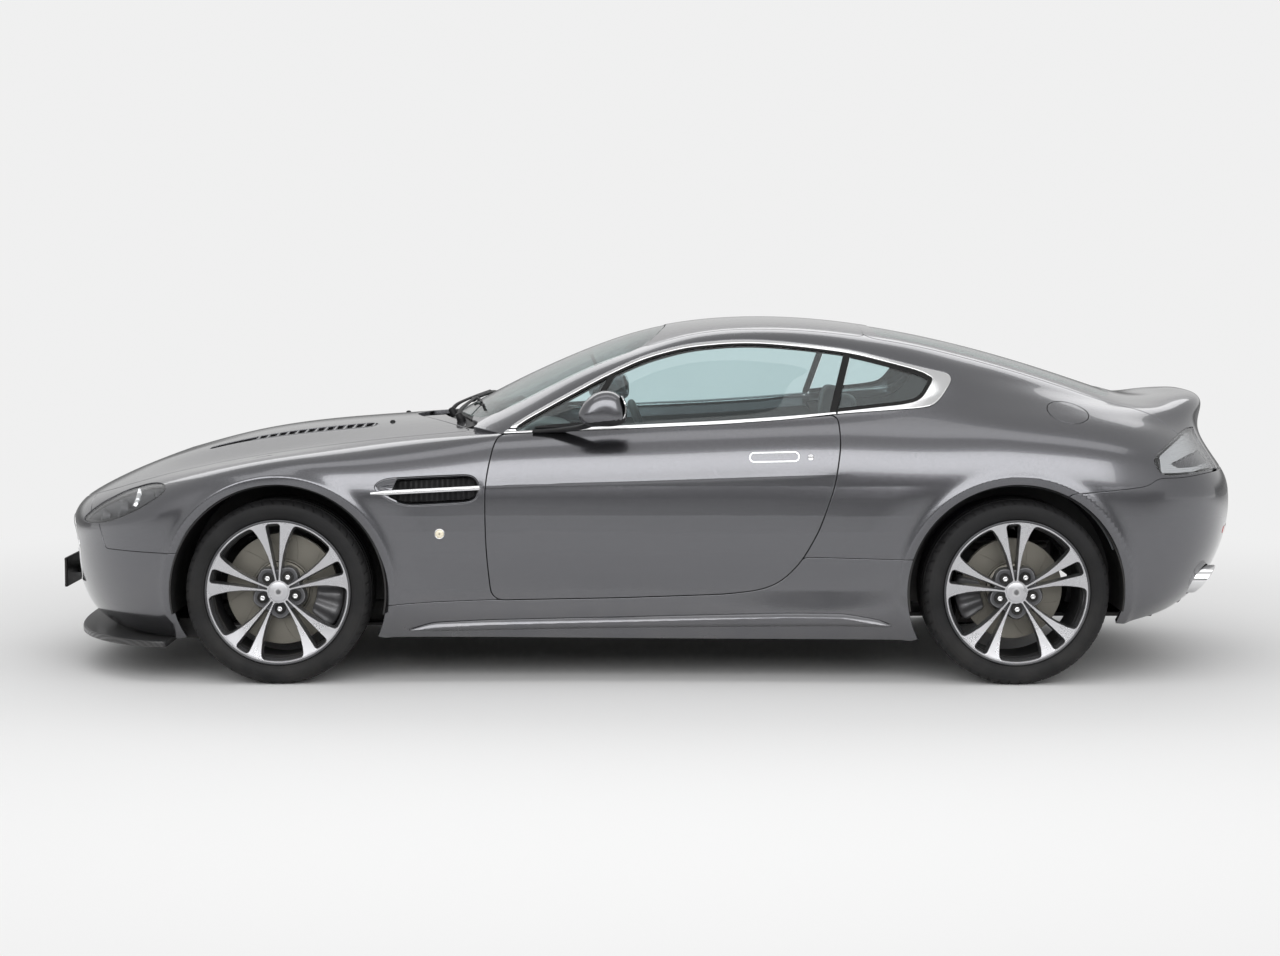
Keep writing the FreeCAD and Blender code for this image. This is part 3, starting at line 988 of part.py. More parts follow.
# ---------------------------------------------------------------- engine, exhaust, cabin
engine = box(-1420, -680, -330, 330, CROSS_TOP + SEAM_GAP, 720)
engine = engine.cut(bonnet_skin)
keep("engine", largest(engine))
silencer = box(1640, 1880, -430, 430, 260, 400)
for side in (-1, 1):
    start = point(1780, side * EXHAUST_Y, EXHAUST_Z)
    end = point(2050, side * EXHAUST_Y, EXHAUST_Z)
    pipe = rod(start, end, EXHAUST_RADIUS).cut(rod(start + FreeCAD.Vector(90.0, 0, 0), end,
                                                   EXHAUST_RADIUS - 4.0))
    silencer = silencer.fuse(pipe)
    silencer = silencer.fuse(box(1760, 1840, side * 400, side * 640, 320, 370))
silencer = silencer.fuse(box(1700, 1800, -60, 60, 206 + SEAM_GAP, 262))
keep("exhaust", silencer)

seat_line = [(60, 176.4), (60, 300), (30, 330), (60, 400), (480, 360), (600, 640), (700, 1010),
             (790, 1010), (800, 900), (740, 560), (700, 330), (660, 240), (600, 176.4)]
seat = side_prism(seat_line, -SEAT_Y - SEAT_WIDTH / 2.0, -SEAT_Y + SEAT_WIDTH / 2.0)
keep("seats", pair(seat))

dash_line = [(-600 + SEAM_GAP, 520), (-600 + SEAM_GAP, 780 - SEAM_GAP), (-562 + SEAM_GAP, 780 - SEAM_GAP),
             (-562 + SEAM_GAP, 838), (-480, 868), (-330, 866), (-250, 800),
             (-270, 700), (-330, 620), (-420, 520)]
dash = side_prism(dash_line, -669, 669)
dash = dash.fuse(side_prism([(-500, 530), (-500, 176.3), (420, 176.3), (420, 450), (300, 480),
                             (-180, 560), (-330, 700)], -95, 95))
axis = FreeCAD.Vector(math.cos(math.radians(STEERING_TILT)), 0, math.sin(math.radians(STEERING_TILT)))
hub_place = point(STEERING_X, STEERING_Y, STEERING_Z)
column = rod(hub_place - axis * 400.0, hub_place - axis * (30.0 + PIN_CLEAR), 22.0)
dash = dash.fuse(column)
dash = dash.cut(box(-1000, -562 + SEAM_GAP, -700, 700, 780 - SEAM_GAP, 1200))
dash = dash.cut(box(-1000, -600 + SEAM_GAP, -700, 700, 0, 1200))
keep("dashboard", largest(dash))
rim = Part.makeTorus(STEERING_RADIUS, 15.0, hub_place, axis)
hub = rod(hub_place - axis * 30.0, hub_place + axis * 12.0, 62.0)
bar = Part.makeBox(16.0, 2.0 * STEERING_RADIUS, 36.0, FreeCAD.Vector(-8.0, -STEERING_RADIUS, -18.0))
bar = bar.fuse(Part.makeBox(16.0, 36.0, STEERING_RADIUS, FreeCAD.Vector(-8.0, -18.0, -STEERING_RADIUS)))
bar.rotate(FreeCAD.Vector(0, 0, 0), FreeCAD.Vector(0, 1, 0), -STEERING_TILT)
bar.translate(hub_place)
keep("steering_wheel", rim.fuse(hub).fuse(bar))
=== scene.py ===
import math

import bpy
import numpy as np
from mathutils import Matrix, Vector


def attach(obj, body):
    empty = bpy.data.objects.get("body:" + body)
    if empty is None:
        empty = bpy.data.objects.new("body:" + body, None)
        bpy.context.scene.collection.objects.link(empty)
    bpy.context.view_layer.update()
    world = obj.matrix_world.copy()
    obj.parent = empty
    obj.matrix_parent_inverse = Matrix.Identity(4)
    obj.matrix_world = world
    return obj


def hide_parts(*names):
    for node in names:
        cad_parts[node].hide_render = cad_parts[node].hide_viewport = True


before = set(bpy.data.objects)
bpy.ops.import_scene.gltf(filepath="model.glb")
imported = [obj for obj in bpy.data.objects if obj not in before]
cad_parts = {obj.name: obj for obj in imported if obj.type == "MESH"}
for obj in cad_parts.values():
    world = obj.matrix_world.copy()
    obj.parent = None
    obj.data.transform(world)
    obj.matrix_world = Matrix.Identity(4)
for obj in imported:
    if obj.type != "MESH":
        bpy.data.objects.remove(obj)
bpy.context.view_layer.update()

# Working places are in millimetres and turn into metres when a piece is made. The nose is
# towards -X, the car's left side at -Y, the ground at z = 0. Every surface is worked out for
# the right half, y >= 0, and mirrored where the left is wanted.

MM = 0.001
AXLE_FRONT = -1290.0
AXLE_REAR = 1310.0
AXLE_Z = 327.0
ARCH_RADIUS = 383.0
NOSE_ROUND = 2.3
TAIL_ROUND = 3.0
SHUT = 5.0
SEAM = 2.2
BONNET_SWING_ROOM = 32.0
LINING_ARCH_RADIUS = 377.0
FLAP_RADIUS = 74.0
FLAP_HOLE_RADIUS = 76.5
FLAP_CUP_RADIUS = 80.0

# The studio, in metres and plain colour values
BACKDROP_TONE = 0.87
FLOOR_TONE = 0.86
SHADE_TONE = 0.56
FADE_START, FADE_END = 2.0, 5.4
FLAG_TOP = 2.9
CAMERA_PLACE = (-0.015, -9.915, 1.45)
CAMERA_LENS = 72.53
CAMERA_TILT = 4.558

SIDE_RAILS = [
    ("sill_edge", -2035, 2010,
     [(-1290, 862), (-560, 846), (300, 846), (1310, 872)],
     [(-2035, 165), (-1650, 150), (-1290, 158), (0, 158), (900, 155), (1310, 160), (1700, 205),
      (2010, 262)]),
    ("sill_low", -2095, 2070,
     [(-1290, 908), (-560, 874), (300, 872), (1310, 922)],
     [(-2095, 205), (-1650, 215), (-1290, 228), (900, 228), (1310, 235), (1700, 262), (2070, 300)]),
    ("sill_top", -2135, 2125,
     [(-1290, 925), (-900, 898), (-560, 872), (0, 866), (400, 868), (700, 880), (1000, 914),
      (1310, 932)],
     [(-2135, 290), (-1290, 340), (0, 335), (1310, 345), (2125, 380)]),
    ("door_low", -2158, 2165,
     [(-1290, 934), (-900, 906), (-560, 882), (0, 876), (400, 878), (700, 892), (1000, 924),
      (1310, 941)],
     [(-2158, 390), (-1290, 470), (0, 465), (1310, 470), (2165, 470)]),
    ("door_mid", -2168, 2185,
     [(-1290, 940), (-900, 914), (-560, 894), (0, 888), (400, 890), (700, 904), (1000, 933),
      (1310, 948)],
     [(-2168, 480), (-1800, 540), (-1290, 600), (0, 600), (1310, 610), (2185, 560)]),
    ("crease", -2163, 2185,
     [(-1290, 938), (-900, 922), (-560, 904), (0, 899), (400, 901), (700, 912), (1000, 938),
      (1310, 951)],
     [(-2163, 548), (-2000, 560), (-1700, 640), (-1290, 716), (-900, 705), (-560, 703), (0, 719),
      (500, 738), (1000, 748), (1310, 745), (1800, 700), (2185, 650)]), ]
FRONT_RAILS = [
    ("fender_side", -2130, None,
     [(-1290, 902), (-900, 892), (-560, 884)],
     [(-2130, 597), (-2000, 620), (-1720, 688), (-1290, 782), (-900, 790), (-560, 800)]),
    ("fender_top", -2080, None,
     [(-1290, 815), (-900, 822), (-560, 830)],
     [(-2080, 632), (-1900, 668), (-1720, 716), (-1290, 806), (-900, 842), (-560, 868)]),
    ("bonnet_edge", -2015, None,
     [(-1290, 690), (-900, 720), (-560, 790)],
     [(-2015, 667), (-1720, 728), (-1290, 806), (-900, 858), (-560, 880)]),
    ("bonnet_outer", -1945, None,
     [(-1290, 540), (-900, 560), (-560, 570)],
     [(-1945, 700), (-1720, 750), (-1290, 830), (-900, 876), (-560, 905)]),
    ("bonnet_mid", -1880, None,
     [(-1290, 370), (-900, 380), (-560, 390)],
     [(-1880, 727), (-1720, 776), (-1290, 858), (-900, 896), (-560, 920)]),
    ("bonnet_inner", -1800, None, [(-1290, 190), (-560, 190)],
     [(-1800, 758), (-1500, 838), (-1290, 874), (-900, 906), (-560, 930)]),
    ("bonnet_centre", -1700, None, [(-1290, 0), (-560, 0)],
     [(-1700, 793), (-1500, 845), (-1290, 878), (-900, 910), (-560, 934)]), ]
CABIN_RAILS = [
    ("shoulder", None, 2172,
     [(-640, 884), (0, 880), (400, 882), (700, 888), (1000, 908), (1310, 925)],
     [(-640, 800), (-560, 802), (0, 818), (700, 846), (1000, 852), (1310, 842), (1800, 790),
      (2172, 705)]),
    ("belt_low", None, 2135,
     [(-640, 830), (0, 832), (400, 834), (700, 834), (1000, 850), (1310, 880)],
     [(-640, 860), (-560, 864), (0, 882), (400, 898), (700, 914), (1000, 915), (1310, 895),
      (1800, 838), (2135, 760)]),
    ("belt", None, 2100,
     [(-640, 796), (-500, 796), (0, 806), (400, 806), (700, 800), (1000, 800), (1310, 820)],
     [(-640, 868), (-500, 877), (0, 900), (400, 918), (700, 940), (1000, 962), (1310, 942),
      (1800, 885), (2100, 815)]),
    ("glass_low", None, 2078,
     [(-640, 780), (-500, 784), (0, 782), (400, 780), (700, 776), (1000, 752), (1310, 755)],
     [(-640, 878), (-500, 887), (0, 930), (400, 948), (700, 970), (1000, 1005), (1310, 983),
      (1700, 930), (2078, 868)]),
    ("glass_mid", None, 2090,
     [(-640, 760), (-500, 774), (0, 706), (400, 690), (700, 690), (1000, 700), (1310, 690)],
     [(-640, 884), (-500, 895), (-330, 945), (0, 1055), (400, 1090), (700, 1072), (1000, 1062),
      (1310, 1025), (1700, 958), (2090, 920)]),
    ("glass_top", None, 2112,
     [(-640, 735), (-500, 762), (-330, 722), (-150, 672), (0, 645), (300, 622), (570, 618),
      (870, 630), (1090, 640), (1310, 620)],
     [(-640, 892), (-500, 905), (-330, 990), (-150, 1083), (0, 1148), (150, 1186), (310, 1203),
      (420, 1204), (570, 1196), (750, 1175), (870, 1150), (1000, 1122), (1310, 1062), (1700, 975),
      (2112, 968)]),
    ("roof_edge", None, 2090,
     [(-640, 660), (-500, 652), (-250, 610), (0, 560), (300, 535), (700, 530), (1000, 540),
      (1310, 540)],
     [(-640, 905), (-500, 966), (-250, 1088), (0, 1184), (150, 1228), (310, 1250), (450, 1254),
      (640, 1244), (820, 1222), (980, 1196), (1120, 1163), (1310, 1112), (1613, 1020), (1850, 972),
      (1990, 998), (2090, 1003)]),
    ("roof_mid", None, 2030,
     [(-640, 360), (0, 320), (700, 310), (1310, 310)],
     [(-640, 948), (-500, 1020), (-250, 1136), (0, 1222), (200, 1262), (400, 1274), (640, 1266),
      (900, 1233), (1200, 1170), (1500, 1085), (1700, 1020), (1850, 985), (1950, 995),
      (2030, 1013)]),
    ("roof_centre", None, 1960, [(-640, 0), (1310, 0)],
     [(-640, 968), (-507, 1038), (-322, 1124), (-150, 1193), (0, 1239), (200, 1272), (400, 1285),
      (600, 1280), (850, 1252), (1090, 1207), (1340, 1144), (1600, 1063), (1770, 1006), (1870, 985),
      (1960, 998)]), ]

# Shut lines, seen from the side, as (x, z)
DOOR_FRONT = [(-505, 880), (-524, 862), (-542, 796), (-558, 703), (-559, 591), (-556, 478),
              (-548, 387), (-537, 297)]
DOOR_BOTTOM = [(-82, 305), (283, 318), (404, 332), (470, 356), (520, 398), (562, 450)]
DOOR_REAR = [(600, 520), (619, 559), (669, 703), (689, 840), (688, 897), (682, 950)]
BELT = [(503, 930), (268, 914), (-62, 899)]
WINDOW_TOP = [(988, 1113), (869, 1143), (749, 1173), (570, 1196), (421, 1209), (308, 1209),
              (149, 1194), (0, 1155), (-149, 1087), (-328, 991), (-448, 925)]
BUMPER_FRONT_LINE = [(-1600, 0), (-1600, 461), (-1936, 461), (-1969, 557), (-2010, 566),
                     (-2030, 650), (-2400, 650), (-2400, 0)]
BUMPER_REAR_LINE = [(1480, 0), (1480, 676), (1608, 685), (1706, 694), (1771, 702), (1810, 728),
                    (1900, 726), (2021, 735), (2400, 735), (2400, 0)]
HEADLAMP_LINE = [(-2052, 553), (-2008, 588), (-1958, 621), (-1866, 666), (-1774, 695), (-1718, 703),
                 (-1690, 690),
                 (-1706, 667), (-1785, 618), (-1867, 580), (-1923, 560), (-1975, 550), (-2030, 545)]
TAIL_LAMP_LINE = [(1791, 798), (1806, 760), (1829, 738), (1900, 735), (2021, 745), (2180, 745),
                  (2180, 850), (2080, 880), (1968, 885), (1870, 845)]

# Shut lines, seen from above, as (x, half width)
BONNET_PLAN = [(-2124, 0), (-2115, 120), (-2090, 250), (-2030, 400), (-1930, 520), (-1800, 600),
               (-1600, 655), (-1290, 685), (-900, 700), (-660, 702), (-620, 690), (-660, 600),
               (-780, 330), (-850, 140), (-872, 0)]
SCREEN_PLAN = [(-712, 0), (-690, 200), (-650, 420), (-590, 640), (-500, 640), (-250, 598),
               (-10, 548), (40, 400), (70, 200), (80, 0)]
ROOF_PLAN = [(86, 0), (76, 200), (46, 400), (-4, 552), (100, 545), (300, 528), (800, 524),
             (800, 0)]
HATCH_PLAN = [(800, 0), (800, 524), (1300, 540), (1560, 565), (1760, 600),
              (1900, 640), (2010, 650), (2300, 650), (2300, 0)]
REAR_GLASS_PLAN = [(850, 0), (850, 470), (1300, 480), (1600, 505), (1690, 500), (1735, 300),
                   (1745, 0)]
GRILLE_FRONT = [(330, 548), (450, 515), (492, 450), (440, 335), (330, 300)]


# ------------------------------------------------------------------ outlines and fields
def soft(corners, radius=40.0, closed=True, steps=6):
    """Outline with its corners rounded: each corner is swapped for a parabola that starts and
    ends a radius away from it, or half way to its neighbour if that is nearer. A third number
    in a corner is its own radius."""
    pts = np.array([c[:2] for c in corners], float)
    own = np.array([c[2] if len(c) > 2 else radius for c in corners], float)
    before = np.roll(pts, 1, 0)
    after = np.roll(pts, -1, 0)
    la = np.linalg.norm(before - pts, axis=1)
    lb = np.linalg.norm(after - pts, axis=1)
    ra = np.minimum(own, 0.5 * la) / np.maximum(la, 1e-6)
    rb = np.minimum(own, 0.5 * lb) / np.maximum(lb, 1e-6)
    start = pts + (before - pts) * ra[:, None]
    end = pts + (after - pts) * rb[:, None]
    u = np.linspace(0.0, 1.0, steps)[None, :, None]
    arcs = (1 - u) ** 2 * start[:, None] + 2 * u * (1 - u) * pts[:, None] + u ** 2 * end[:, None]
    if not closed:
        arcs[0] = pts[0]
        arcs[-1] = pts[-1]
    flat = arcs.reshape(-1, 2)
    gap = np.linalg.norm(flat - np.roll(flat, 1, 0), axis=1)
    return flat[gap > 1e-6] if closed else np.concatenate([flat[:1], flat[1:][gap[1:] > 1e-6]])


def within(outline, u, w):
    """Distance of the places (u, w) from a closed outline: positive inside it, negative outside."""
    a = outline
    b = np.roll(outline, -1, 0)
    best = np.full(len(u), 1e18)
    odd = np.zeros(len(u), bool)
    for k in range(len(a)):
        ex, ey = b[k] - a[k]
        px = u - a[k, 0]
        py = w - a[k, 1]
        f = np.clip((px * ex + py * ey) / max(ex * ex + ey * ey, 1e-9), 0.0, 1.0)
        best = np.minimum(best, (px - ex * f) ** 2 + (py - ey * f) ** 2)
        cross = (a[k, 1] > w) != (b[k, 1] > w)
        if ey:
            odd ^= cross & (px < ex * py / ey)
    return np.where(odd, 1.0, -1.0) * np.sqrt(best)


def in_side(outline, grow=0.0):
    """Field of an outline seen from the side."""
    return lambda p: within(outline, p[:, 0], p[:, 2]) + grow


def in_plan(ring):
    """Field of a closed outline seen from above."""
    return lambda p: within(ring, p[:, 0], p[:, 1])


def in_front(ring):
    """Field of a closed outline (y, z) seen from ahead."""
    return lambda p: within(ring, p[:, 1], p[:, 2])


def in_circle(x, z, radius):
    return lambda p: radius - np.hypot(p[:, 0] - x, p[:, 2] - z)


def out_of(field, gap=0.0):
    return lambda p: -field(p) - gap


def both(*fields):
    return lambda p: np.minimum.reduce([f(p) for f in fields])


def either(*fields):
    return lambda p: np.maximum.reduce([f(p) for f in fields])


def above(line):
    """Field above a line of (x, z) places that runs towards the tail."""
    line = np.array(line, float)
    return lambda p: p[:, 2] - np.interp(p[:, 0], line[:, 0], line[:, 1])


# ------------------------------------------------------------------ body form
def spline(keys):
    """Cubic curve through (x, value) pairs, without bend at its ends, and level where it meets an
    axle, so that the ends of the body join it without a crease."""
    x = np.array([k[0] for k in keys], float)
    y = np.array([k[1] for k in keys], float)
    n = len(x)
    step = np.diff(x)
    rise = np.diff(y) / step
    a = np.eye(n)
    b = np.zeros(n)
    k = np.arange(1, n - 1)
    a[k, k - 1] = step[:-1]
    a[k, k] = 2.0 * (step[:-1] + step[1:])
    a[k, k + 1] = step[1:]
    b[k] = 6.0 * np.diff(rise)
    if x[0] == AXLE_FRONT and y[0] > 0:
        a[0, :2] = 2.0 * step[0], step[0]
        b[0] = 6.0 * rise[0]
    if x[-1] == AXLE_REAR and y[-1] > 0:
        a[-1, -2:] = step[-1], 2.0 * step[-1]
        b[-1] = -6.0 * rise[-1]
    bend = np.linalg.solve(a, b)

    def value(q):
        q = np.asarray(q, float)
        i = np.clip(np.searchsorted(x, q) - 1, 0, n - 2)
        f = (q - x[i]) / step[i]
        g = 1.0 - f
        cubic = (g ** 3 - g) * bend[i] + (f ** 3 - f) * bend[i + 1]
        return g * y[i] + f * y[i + 1] + cubic * step[i] ** 2 / 6.0

    return value


def height_spline(keys):
    """The same curve for heights, which need no level ends."""
    moved = [(x + 1e-4, y) for x, y in keys]
    return spline(moved)


def ready(rails):
    return [(nose, tail, spline(w), height_spline(h)) for _, nose, tail, w, h in rails]


FRONT = ready(SIDE_RAILS + FRONT_RAILS)
CABIN = ready(SIDE_RAILS + CABIN_RAILS)
FRONT_ROWS = len(FRONT) - 1.0
CABIN_ROWS = len(CABIN) - 1.0


def along(x):
    """Station of a place between the axles: 1 at the front one and 2 at the rear one."""
    return 1.0 + (np.asarray(x, float) - AXLE_FRONT) / (AXLE_REAR - AXLE_FRONT)


def rail_places(rail, t):
    """A rail at the stations t: a superellipse quarter round the nose for t under 1, the two
    splines between the axles, and a superellipse quarter round the tail for t over 2."""
    nose, tail, width, height = rail
    x = AXLE_FRONT + (t - 1.0) * (AXLE_REAR - AXLE_FRONT)
    y = width(x)
    if nose is not None:
        turn = np.clip(t, 0.0, 1.0) * math.pi / 2.0
        round_x = AXLE_FRONT - (AXLE_FRONT - nose) * np.cos(turn) ** (2.0 / NOSE_ROUND)
        round_y = width(AXLE_FRONT) * np.sin(turn) ** (2.0 / NOSE_ROUND)
        x = np.where(t < 1.0, round_x, x)
        y = np.where(t < 1.0, round_y, y)
    if tail is not None:
        turn = np.clip(3.0 - t, 0.0, 1.0) * math.pi / 2.0
        round_x = AXLE_REAR + (tail - AXLE_REAR) * np.cos(turn) ** (2.0 / TAIL_ROUND)
        round_y = width(AXLE_REAR) * np.sin(turn) ** (2.0 / TAIL_ROUND)
        x = np.where(t > 2.0, round_x, x)
        y = np.where(t > 2.0, round_y, y)
    return np.stack([x, y, height(x)], -1)


def base_skin(form, tv):
    """Body surface at pairs (t, v): a cubic B-spline over the rails, v running from 0 at the sill
    to 1 at the middle line, where the rail before the last is mirrored."""
    t = tv[:, 0]
    rows = np.stack([rail_places(rail, t) for rail in form])
    rows = np.concatenate([2.0 * rows[:1] - rows[1:2], rows, rows[-2:-1] * [1.0, -1.0, 1.0]])
    n = len(form)
    place = np.clip(tv[:, 1], 0.0, 1.0) * (n - 1)
    i = np.minimum(place.astype(int), n - 2)
    f = place - i
    weights = ((1 - f) ** 3 / 6, (3 * f ** 3 - 6 * f ** 2 + 4) / 6,
               (-3 * f ** 3 + 3 * f ** 2 + 3 * f + 1) / 6, f ** 3 / 6)
    index = np.arange(len(t))
    return sum(w[:, None] * rows[i + k, index] for k, w in enumerate(weights))


def unit(a):
    return a / np.maximum(np.linalg.norm(a, axis=-1, keepdims=True), 1e-12)


def base_normal(form, tv):
    """Outward direction from the surface's two slopes, taken over short steps."""
    t = np.clip(tv[:, 0], 0.012, 2.988)
    v = np.clip(tv[:, 1], 0.003, 0.997)
    dt = np.array([0.01, 0.0])
    dv = np.array([0.0, 0.002])
    here = np.stack([t, v], 1)
    a = base_skin(form, here + dt) - base_skin(form, here - dt)
    b = base_skin(form, here + dv) - base_skin(form, here - dv)
    n = unit(np.cross(b, a))
    middle = (tv[:, 0] <= 0.0) | (tv[:, 0] >= 3.0) | (tv[:, 1] >= 1.0)
    n[middle, 1] = 0.0
    return unit(n)


def ease(f):
    """Smooth step from 0 to 1."""
    f = np.clip(f, 0.0, 1.0)
    return f * f * (3.0 - 2.0 * f)


CREASE_LINE = ([-575.0, -15.0, 511.0, 760.0], [702.0, 719.0, 738.0, 745.0])
BELLY_HEIGHTS = [335.0, 400.0, 465.0, 540.0, 600.0, 660.0, 703.0]
BELLY_SWELL = [0.0, 4.5, 7.5, 8.6, 7.6, 3.6, 0.0]


def relief(p):
    """What stands proud of the plain form, in millimetres: the lips round the wheel arches, which
    rise to a ridge 27 mm out from the opening and turn in again towards it, the ridge along the
    door, sharp below and soft above, and the fuller flank under it."""
    out = np.zeros(len(p))
    low = ease((700.0 - p[:, 1]) / -60.0)
    flank = low * ease((p[:, 0] + 1900.0) / 400.0) * ease((1900.0 - p[:, 0]) / 400.0)
    for x in (AXLE_FRONT, AXLE_REAR):
        d = np.hypot(p[:, 0] - x, p[:, 2] - AXLE_Z) - ARCH_RADIUS
        beyond = np.maximum(d - 27.0, 0.0)
        short = np.maximum(27.0 - d, 0.0)
        lip = 6.0 * np.exp(-(beyond / 18.0) ** 1.5) - 0.42 * np.sqrt(short ** 2 + 9.0) + 1.26
        out += np.where(d < 120.0, lip * low, 0.0)
        flank = flank * ease((d - 20.0) / 160.0)
    up = p[:, 2] - np.interp(p[:, 0], *CREASE_LINE)
    ridge = np.where(up > 0.0, np.exp(-np.abs(up) / 22.0), np.exp(-np.abs(up) / 5.0))
    reach = ease((p[:, 0] + 572.0) / 16.0) * ease((760.0 - p[:, 0]) / 300.0) * low
    out += 2.6 * ridge * reach
    return out + flank * np.interp(p[:, 2], BELLY_HEIGHTS, BELLY_SWELL)


def skin(form, tv, lift=0.0, feature=relief):
    """Finished surface and its normals: the base form moved out by the relief, the normal
    tilted by the relief's slope."""
    p = base_skin(form, tv)
    n = base_normal(form, tv)
    h = feature(p) + lift
    slope = np.zeros_like(p)
    for axis in range(3):
        step = np.zeros(3)
        step[axis] = 0.7
        slope[:, axis] = (feature(p + step) - feature(p - step)) / 1.4
    slope -= n * np.sum(slope * n, 1, keepdims=True)
    tilted = unit(n - slope)
    flat = n[:, 1] == 0.0
    tilted[flat, 1] = 0.0
    return p + n * h[:, None], unit(tilted)


# ------------------------------------------------------------------ trimming
def clip(tv, tri, value):
    """The part of a triangle mesh where value is positive: triangles that cross zero are cut
    on the straight line between, with one shared new corner for each cut edge."""
    value = np.where(np.abs(value) < 0.12, 0.12, value)
    keep = value > 0.0
    count = keep[tri].sum(1)

    def led(block, wanted):
        first = np.argmax(keep[block] == wanted, axis=1)
        turn = (first[:, None] + np.arange(3)) % 3
        return np.take_along_axis(block, turn, 1)

    one = led(tri[count == 1], True)
    two = led(tri[count == 2], False)
    edges = np.concatenate([one[:, [0, 1]], one[:, [0, 2]], two[:, [0, 1]], two[:, [0, 2]]])
    if not len(edges):
        return tv, tri[count == 3]
    pairs, place = np.unique(np.sort(edges, 1), axis=0, return_inverse=True)
    place = place.ravel() + len(tv)
    a, b = value[pairs[:, 0]], value[pairs[:, 1]]
    f = (a / (a - b))[:, None]
    new = tv[pairs[:, 0]] * (1 - f) + tv[pairs[:, 1]] * f
    n1, n2 = len(one), len(two)
    p1, p2, p3, p4 = np.split(place, [n1, 2 * n1, 2 * n1 + n2])
    made = [tri[count == 3], np.stack([one[:, 0], p1, p2], 1), np.stack([p3, two[:, 1], two[:, 2]], 1),
            np.stack([p3, two[:, 2], p4], 1)]
    return np.concatenate([tv, new]), np.concatenate(made)


def compact(tv, tri):
    """The same mesh without unused corners."""
    used, tri = np.unique(tri, return_inverse=True)
    return tv[used], tri.reshape(-1, 3)


def grid(ts, vs):
    """Corners (t, v) and triangles of a grid of stations and heights."""
    t, v = np.meshgrid(ts, vs, indexing="ij")
    m = len(vs)
    i, j = np.meshgrid(np.arange(len(ts) - 1), np.arange(m - 1), indexing="ij")
    a = (i * m + j).ravel()
    tri = [np.stack([a, a + 1, a + m + 1], 1), np.stack([a, a + m + 1, a + m], 1)]
    return np.stack([t.ravel(), v.ravel()], 1), np.concatenate(tri)


def rim_edges(tri, p):
    """Edges that only one triangle uses, apart from those on the middle line."""
    edges = np.concatenate([tri[:, [0, 1]], tri[:, [1, 2]], tri[:, [2, 0]]])
    key = np.sort(edges, 1)
    pairs, first, count = np.unique(key, axis=0, return_index=True, return_counts=True)
    found = edges[first[count == 1]]
    middle = np.abs(p[:, 1]) < 1e-3
    return found[~(middle[found[:, 0]] & middle[found[:, 1]])]


class Part:
    """Corners, normals, triangles and a group number for each triangle: 0 outside face, 1 its
    turned edge, 2 its back."""

    def __init__(self, p, n, tri, group):
        self.p, self.n, self.tri, self.group = p, n, tri, group


def turned_edge(p, n, tri, edge, depth, back, rows=4, flare=0.0):
    """A trimmed face given a rounded rim: each rim corner is repeated along a quarter circle of
    radius edge that starts along the face and ends at right angles to it, and then goes depth
    further in, spreading by flare. With back, a second face closes the piece that far below the first."""
    rim = rim_edges(tri, p)
    pieces = [tri]
    groups = [np.zeros(len(tri), int)]
    points = [p]
    normals = [n]
    if len(rim) and depth > 0.0:
        along_edge = p[rim[:, 1]] - p[rim[:, 0]]
        away = np.cross(along_edge, n[rim[:, 0]] + n[rim[:, 1]])
        out = np.zeros_like(p)
        np.add.at(out, rim[:, 0], away)
        np.add.at(out, rim[:, 1], away)
        out -= n * np.sum(out * n, 1, keepdims=True)
        out[np.abs(p[:, 1]) < 1e-3, 1] = 0.0
        out = unit(out)
        for _ in range(2):
            total = out * 2.0
            np.add.at(total, rim[:, 0], out[rim[:, 1]])
            np.add.at(total, rim[:, 1], out[rim[:, 0]])
            out = unit(total - n * np.sum(total * n, 1, keepdims=True))
        used, loop = np.unique(rim, return_inverse=True)
        loop = loop.reshape(-1, 2)
        q, m, o = p[used], n[used], out[used]
        ring = used[loop]
        start = len(p)
        turns = np.linspace(0.0, math.pi / 2.0, rows)[1:]
        levels = [(edge * math.sin(a), -edge * (1 - math.cos(a)), math.cos(a), math.sin(a)) for a in turns]
        levels.append((edge + flare, -depth, 0.0, 1.0))
        if back:
            levels.append((0.0, -depth, -1.0, 0.0))
        for side, drop, face, outwards in levels:
            points.append(q + o * side + m * drop)
            normals.append(unit(m * face + o * outwards))
            below = start + loop
            a, b, c, d = ring[:, 1], ring[:, 0], below[:, 0], below[:, 1]
            pieces.append(np.concatenate([np.stack([a, b, c], 1), np.stack([a, c, d], 1)]))
            groups.append(np.ones(2 * len(ring), int))
            ring = below
            start += len(used)
    if back:
        start = sum(len(x) for x in points)
        points.append(p - n * depth)
        normals.append(-n)
        pieces.append(tri[:, ::-1] + start)
        groups.append(np.full(len(tri), 2))
    return Part(np.concatenate(points), np.concatenate(normals), np.concatenate(pieces),
                np.concatenate(groups))


def panel(form, ts, vs, fields, lift=0.0, edge=2.0, depth=16.0, back=False, feature=relief):
    """One sheet of the body: the grid of stations ts and heights vs, trimmed to where every field
    is positive, with turned edges."""
    tv, tri = grid(ts, vs)
    for field in fields:
        p, _ = skin_place(form, tv)
        tv, tri = clip(tv, tri, field(p) - edge)
        tv, tri = compact(tv, tri)
    p, n = skin(form, tv, lift, feature)
    return turned_edge(p, n, tri, edge, depth, back)


def skin_place(form, tv):
    return base_skin(form, tv), None


def mirror(part):
    flip = np.array([1.0, -1.0, 1.0])
    return Part(part.p * flip, part.n * flip, part.tri[:, ::-1], part.group)


